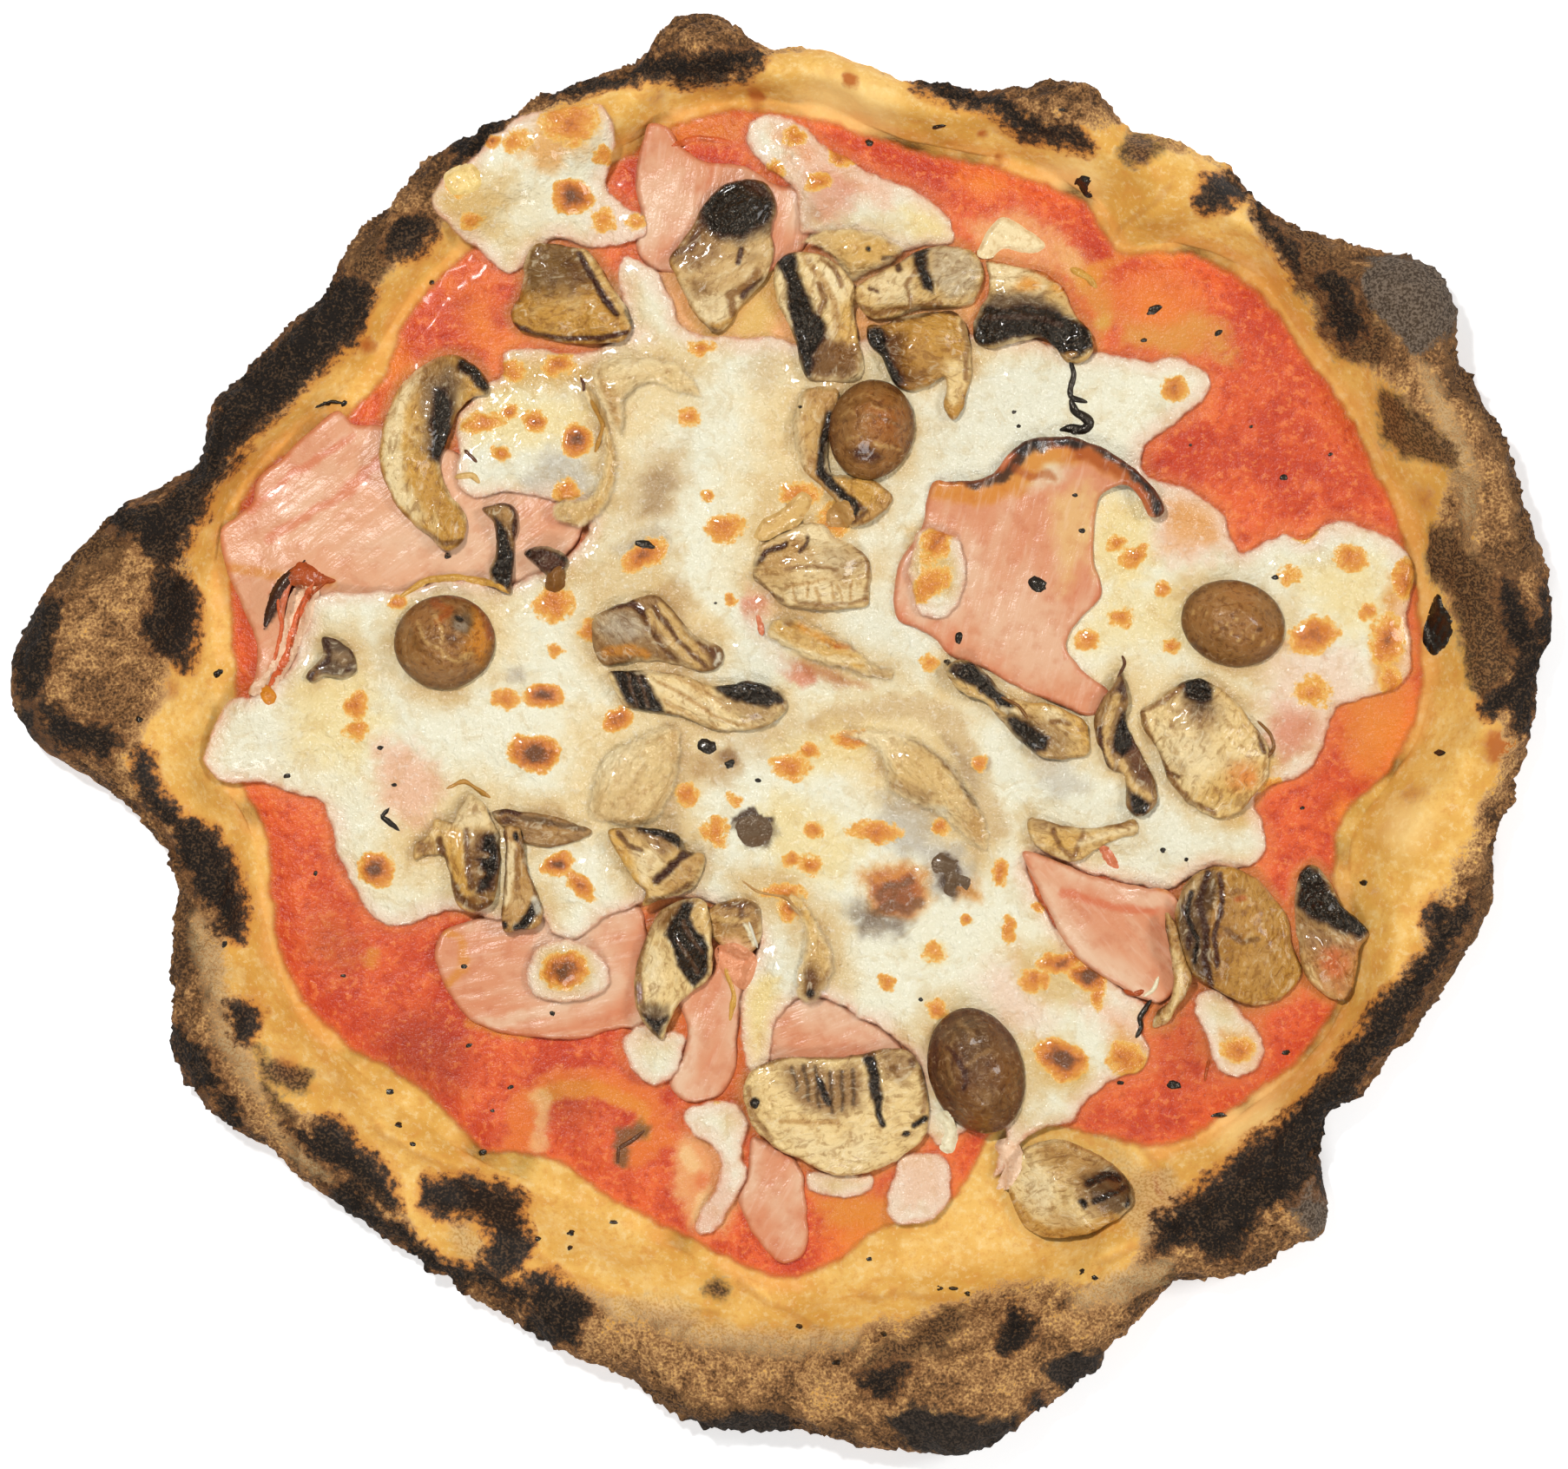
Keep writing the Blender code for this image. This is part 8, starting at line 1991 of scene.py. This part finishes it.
# small shreds: slot, colour, height, outline
leaves = (
    ("baked_dough", "soot", 1, ((141, 30), (143, 26), (144, 22), (142, 18), (140, 17), (138, 20),
        (139, 25))),
    ("baked_dough", "soot", 0.8, ((63, 118), (64, 119.6), (66.5, 119), (66, 117.5), (67, 115.5),
        (65.5, 115.4), (64, 117.4))),
    ("cooked_mushroom", "ash", 0.5, ((-10, -19.5), (-7, -17.2), (-2.5, -18.3), (-1.5, -22), (-4, -24.3),
        (-8, -24))),
    ("cooked_mushroom", "ash", 0.5, ((32, -27), (34.5, -25), (36, -26.5), (38.5, -27), (38, -29.5),
        (41, -31), (40, -34),
                                  (38, -33), (37, -35.5), (34.5, -34), (35, -31), (32.5, -30))),
    ("melted_mozzarella", "shell", 0.35, ((-114, 9), (-110, 15), (-107, 23), (-104.5, 31), (-100, 33),
        (-99, 28), (-103, 19),
                                     (-107, 11), (-110, 8))),
    ("cooked_ham", "bark", 1, ((-110.9, 22), (-110.2, 28), (-107.8, 33), (-102, 37.5), (-104, 33.6),
        (-106.4, 30.4), (-108, 27))),
    ("cooked_ham", "rust", 0.5, ((-106, 33), (-103, 37), (-98, 34.5), (-95, 32.5), (-102, 31))),
    ("cooked_mushroom", "straw", 0.8, ((-6, 42), (-4, 46), (0, 48), (4, 52), (7, 50), (4, 45), (0, 43),
        (-3, 41.5))),
    ("cooked_mushroom", "tan", 0.8, ((10, 48), (14, 50), (16, 46), (13, 44), (10, 45))),
    ("cooked_mushroom", "hazel", 0.8, ((-50, 34), (-47, 36), (-46, 32), (-48, 30.5), (-50.5, 31))),
    ("melted_mozzarella", "ivory", 1, ((42, 103), (45, 109), (48, 111), (53, 108.5), (57, 105), (54, 103),
        (48, 104), (45, 102))),
    ("melted_mozzarella", "milk", 0.9, ((33, -82), (36, -81), (38, -86), (37, -90), (34, -89), (35, -85))),
    ("melted_mozzarella", "shell", 0.5, ((46, -88), (50, -87), (52, -91), (50, -97), (46, -98), (48, -93))),
    ("melted_mozzarella", "butter", 0.8, ((-72, 120), (-66, 122), (-64, 117), (-70, 115))),
    ("cooked_ham", "rose", 0.5, ((68, -24), (71, -25), (73, -29), (70, -28.5))),
    ("cooked_ham", "pink", 0.9, ((-14, -46), (-9, -45), (-5, -49), (-8, -55), (-13, -51))),
)


# the small things of one material, joined to one mesh
class Scraps:
    def __init__(self):
        self.points = []
        self.faces = []
        self.colours = []
        self.count = 0

    def add(self, x, y, z, faces, colour):
        paint = Paint(x, y, colour, 0.0)
        dirt = 0.35 * ramp(170, 120, paint.brightness())
        paint.lay("umber", dirt * ramp(0.0, 0.8, cloud(x, y, 1.5, 81, 3)))
        self.points.append(np.column_stack((x, y, z)))
        self.faces.append(np.asarray(faces) + self.count)
        self.colours.append(paint.result(sliceTint, sliceShine))
        self.count += len(x)

    def fleck(self, x, y, long, wide, turn):
        around, rings = 14, np.array((1.0, 0.75, 0.4))
        angle = np.arange(around) * 2 * math.pi / around
        reach = 1 + 0.4 * cloud(x + 3 * np.cos(angle), y + 3 * np.sin(angle), 2.2, 82, 2)
        u = np.append(np.outer(rings, reach * np.cos(angle)).ravel() * long / 2, 0.0)
        v = np.append(np.outer(rings, reach * np.sin(angle)).ravel() * wide / 2, 0.0)
        c, s = math.cos(math.radians(turn)), math.sin(math.radians(turn))
        px, py = x + u * c - v * s, y + u * s + v * c
        lift = np.append(np.repeat(np.sqrt(1 - rings ** 2), around), 1.0)
        z = cover.at(px, py) - scrap["fleckSunk"] + 0.28 * min(wide, 2.5) * lift
        z = z + 0.12 * cloud(px, py, 0.8, 83, 2) * lift
        faces = []
        for k in range(around):
            after = (k + 1) % around
            for ring in (0, around):
                faces.append((ring + k, ring + after, ring + around + after))
                faces.append((ring + k, ring + around + after, ring + around + k))
            faces.append((2 * around + k, 2 * around + after, 3 * around))
        self.add(px, py, z, faces, "soot")

    def strand(self, colour, width, height, path):
        path = np.array(path, float)
        gaps = np.hypot(*np.diff(path, axis=0).T)
        along = np.concatenate(([0], np.cumsum(gaps)))
        at = np.linspace(0, along[-1], max(6, int(along[-1] / 0.5)))
        x, y = np.interp(at, along, path[:, 0]), np.interp(at, along, path[:, 1])
        for _ in range(3):
            x[1:-1], y[1:-1] = (x[:-2] + 2 * x[1:-1] + x[2:]) / 4, (y[:-2] + 2 * y[1:-1] + y[2:]) / 4
        dx, dy = np.gradient(x), np.gradient(y)
        size = np.maximum(np.hypot(dx, dy), 1e-6)
        taper = np.sqrt(np.clip(1 - (2 * at / along[-1] - 1) ** 4, 0.02, 1))
        taper = taper * (1 + 0.3 * cloud(x, y, 2.0, 84, 2))
        side = np.array((-1.0, -0.7, 0.0, 0.7, 1.0))
        px = x[:, None] - (dy / size * width * taper)[:, None] * side
        py = y[:, None] + (dx / size * width * taper)[:, None] * side
        lift = np.sqrt(1 - side ** 2)[None, :] * (height * taper)[:, None]
        base = cover.at(x, y)
        below = cover.at(px.ravel(), py.ravel()).reshape(px.shape) - scrap["strandSunk"]
        z = np.maximum(base[:, None] - scrap["strandSunk"] + lift, below)
        faces = []
        for k in range(len(at) - 1):
            for j in range(4):
                a = k * 5 + j
                faces += [(a, a + 6, a + 1), (a, a + 5, a + 6)]
        self.add(px.ravel(), py.ravel(), z.ravel(), faces, colour)

    def leaf(self, colour, height, outline):
        step = scrap["leafStep"]
        loop = smoothLoop(np.array(outline, float)[::-1 if self.clockwise(outline) else 1], step)
        loop = loop + 0.2 * np.column_stack((cloud(*loop.T, 3.0, 85, 2), cloud(*loop.T, 3.0, 86, 2)))
        flat, faces = fill(loop, step)
        x, y = flat[:, 0], flat[:, 1]
        rim = rimDistance(x, y, loop)
        rim[:len(loop)] = 0.0
        bulge = height * (0.1 + 0.9 * ramp(0, 1.1, rim)) * (1 + 0.3 * cloud(x, y, 2.5, 87, 3))
        z = cover.at(x, y) - scrap["leafSunk"] + bulge
        cover.add(x, y, z)
        self.add(x, y, z, faces, colour)

    def clockwise(self, outline):
        points = np.array(outline, float)
        after = np.roll(points, -1, axis=0)
        return (points[:, 0] * after[:, 1] - points[:, 1] * after[:, 0]).sum() < 0

    def build(self, slot, name):
        masks = {"paint": np.vstack(self.colours)}
        addPiece(name, np.vstack(self.points), np.vstack(self.faces), masks, scrapMaterial(slot))


def makeScraps():
    for slot in ("baked_dough", "melted_mozzarella", "cooked_ham", "cooked_mushroom"):
        scraps = Scraps()
        for kind, colour, height, outline in leaves:
            if kind == slot:
                scraps.leaf(colour, height, outline)
        if slot == "cooked_mushroom":
            for colour, width, height, path in strands:
                scraps.strand(colour, width, height, path)
            for fleck in flecks:
                scraps.fleck(*fleck)
        scraps.build(slot, "scraps_" + slot)


def scrapMaterial(slot):
    g = Graph(slot)
    patch, fine = g.noise(1.6, 3.0, 0.6), g.noise(0.5, 2.0)
    colour = g.shade(patch.above(0.52, 0.32) * 0.5, g.colour("paint"), srgb(214, 190, 160))
    height = (patch - 0.5) * 0.3 + (fine - 0.5) * 0.15
    return g.finish(colour, 0.28, height, coat=0.25, coatRoughness=0.08, Specular_Tint=warmShine)


# the floor's size and its gap under the part, in metres
ground = {"half": 3, "drop": 0.0002, "glow": 0.4, "white": 0.93}


def makeFloor():
    g = Graph("floor")
    white, half = ground["white"], ground["half"]
    g.finish((white, white, white, 1.0), 0.9, Emission_Color=(1, 1, 1, 1), Emission_Strength=ground["glow"])
    mesh = bpy.data.meshes.new("floor")
    corners = [(-half, -half, 0), (half, -half, 0), (half, half, 0), (-half, half, 0)]
    mesh.from_pydata(corners, [], [(0, 1, 2, 3)])
    mesh.materials.append(g.material)
    floor = bpy.data.objects.new("floor", mesh)
    floor.location.z = -ground["drop"]
    bpy.context.scene.collection.objects.link(floor)


# lamps in metres and watts, all turned to the middle of the part
lighting = {
    "sky": 0.3,
    "lamps": {
        "key": {"place": (-0.45, 0.6, 1.6), "size": 0.14, "power": 16.5},
        "right": {"place": (1.3, 0.3, 1.2), "size": 0.4, "power": 9},
        "front": {"place": (0.0, -1.3, 1.2), "size": 0.4, "power": 8},
    },
}


def makeLights():
    world = bpy.data.worlds.new("studio")
    bpy.context.scene.world = world
    world.use_nodes = True
    world.node_tree.nodes["Background"].inputs["Color"].default_value = (1, 1, 1, 1)
    world.node_tree.nodes["Background"].inputs["Strength"].default_value = lighting["sky"]
    for name, lamp in lighting["lamps"].items():
        data = bpy.data.lights.new(name, "AREA")
        data.energy = lamp["power"]
        data.size = lamp["size"]
        thing = bpy.data.objects.new(name, data)
        thing.location = lamp["place"]
        thing.rotation_euler = (-Vector(lamp["place"])).to_track_quat("-Z", "Y").to_euler()
        bpy.context.scene.collection.objects.link(thing)


# the photo is this many pixels wide, and the part's middle and real width lie in it as given here
view = {
    "photoWidth": 1806,
    "photoMiddle": (903, 846),
    "partMiddle": (899.5, 845),
    "partPixels": 1763,
    "partWidth": 330.0,
    "height": 1.6,  # in metres
    "sensor": 36,
    "farthest": 20,
}


def makeCamera():
    data = bpy.data.cameras.new("overhead")
    height, sensor = view["height"], view["sensor"]
    photoWide = view["photoWidth"] * view["partWidth"] / view["partPixels"]
    data.sensor_width = sensor
    data.lens = sensor * height / (photoWide * mm)
    data.clip_end = view["farthest"]
    camera = bpy.data.objects.new("overhead", data)
    across = view["photoMiddle"][0] - view["partMiddle"][0]
    up = view["partMiddle"][1] - view["photoMiddle"][1]
    across, up = (shift * view["partWidth"] / view["partPixels"] * mm for shift in (across, up))
    camera.location = (across, up, height)
    bpy.context.scene.collection.objects.link(camera)
    bpy.context.scene.camera = camera
    bpy.context.scene.view_settings.view_transform = "Standard"


for stage in (makeDough, makeSauce, makeHam, makeCheese, makeMushrooms, makeOlives, makeScraps, makeFloor,
              makeLights, makeCamera):
    stage()
    print(stage.__name__, "done")
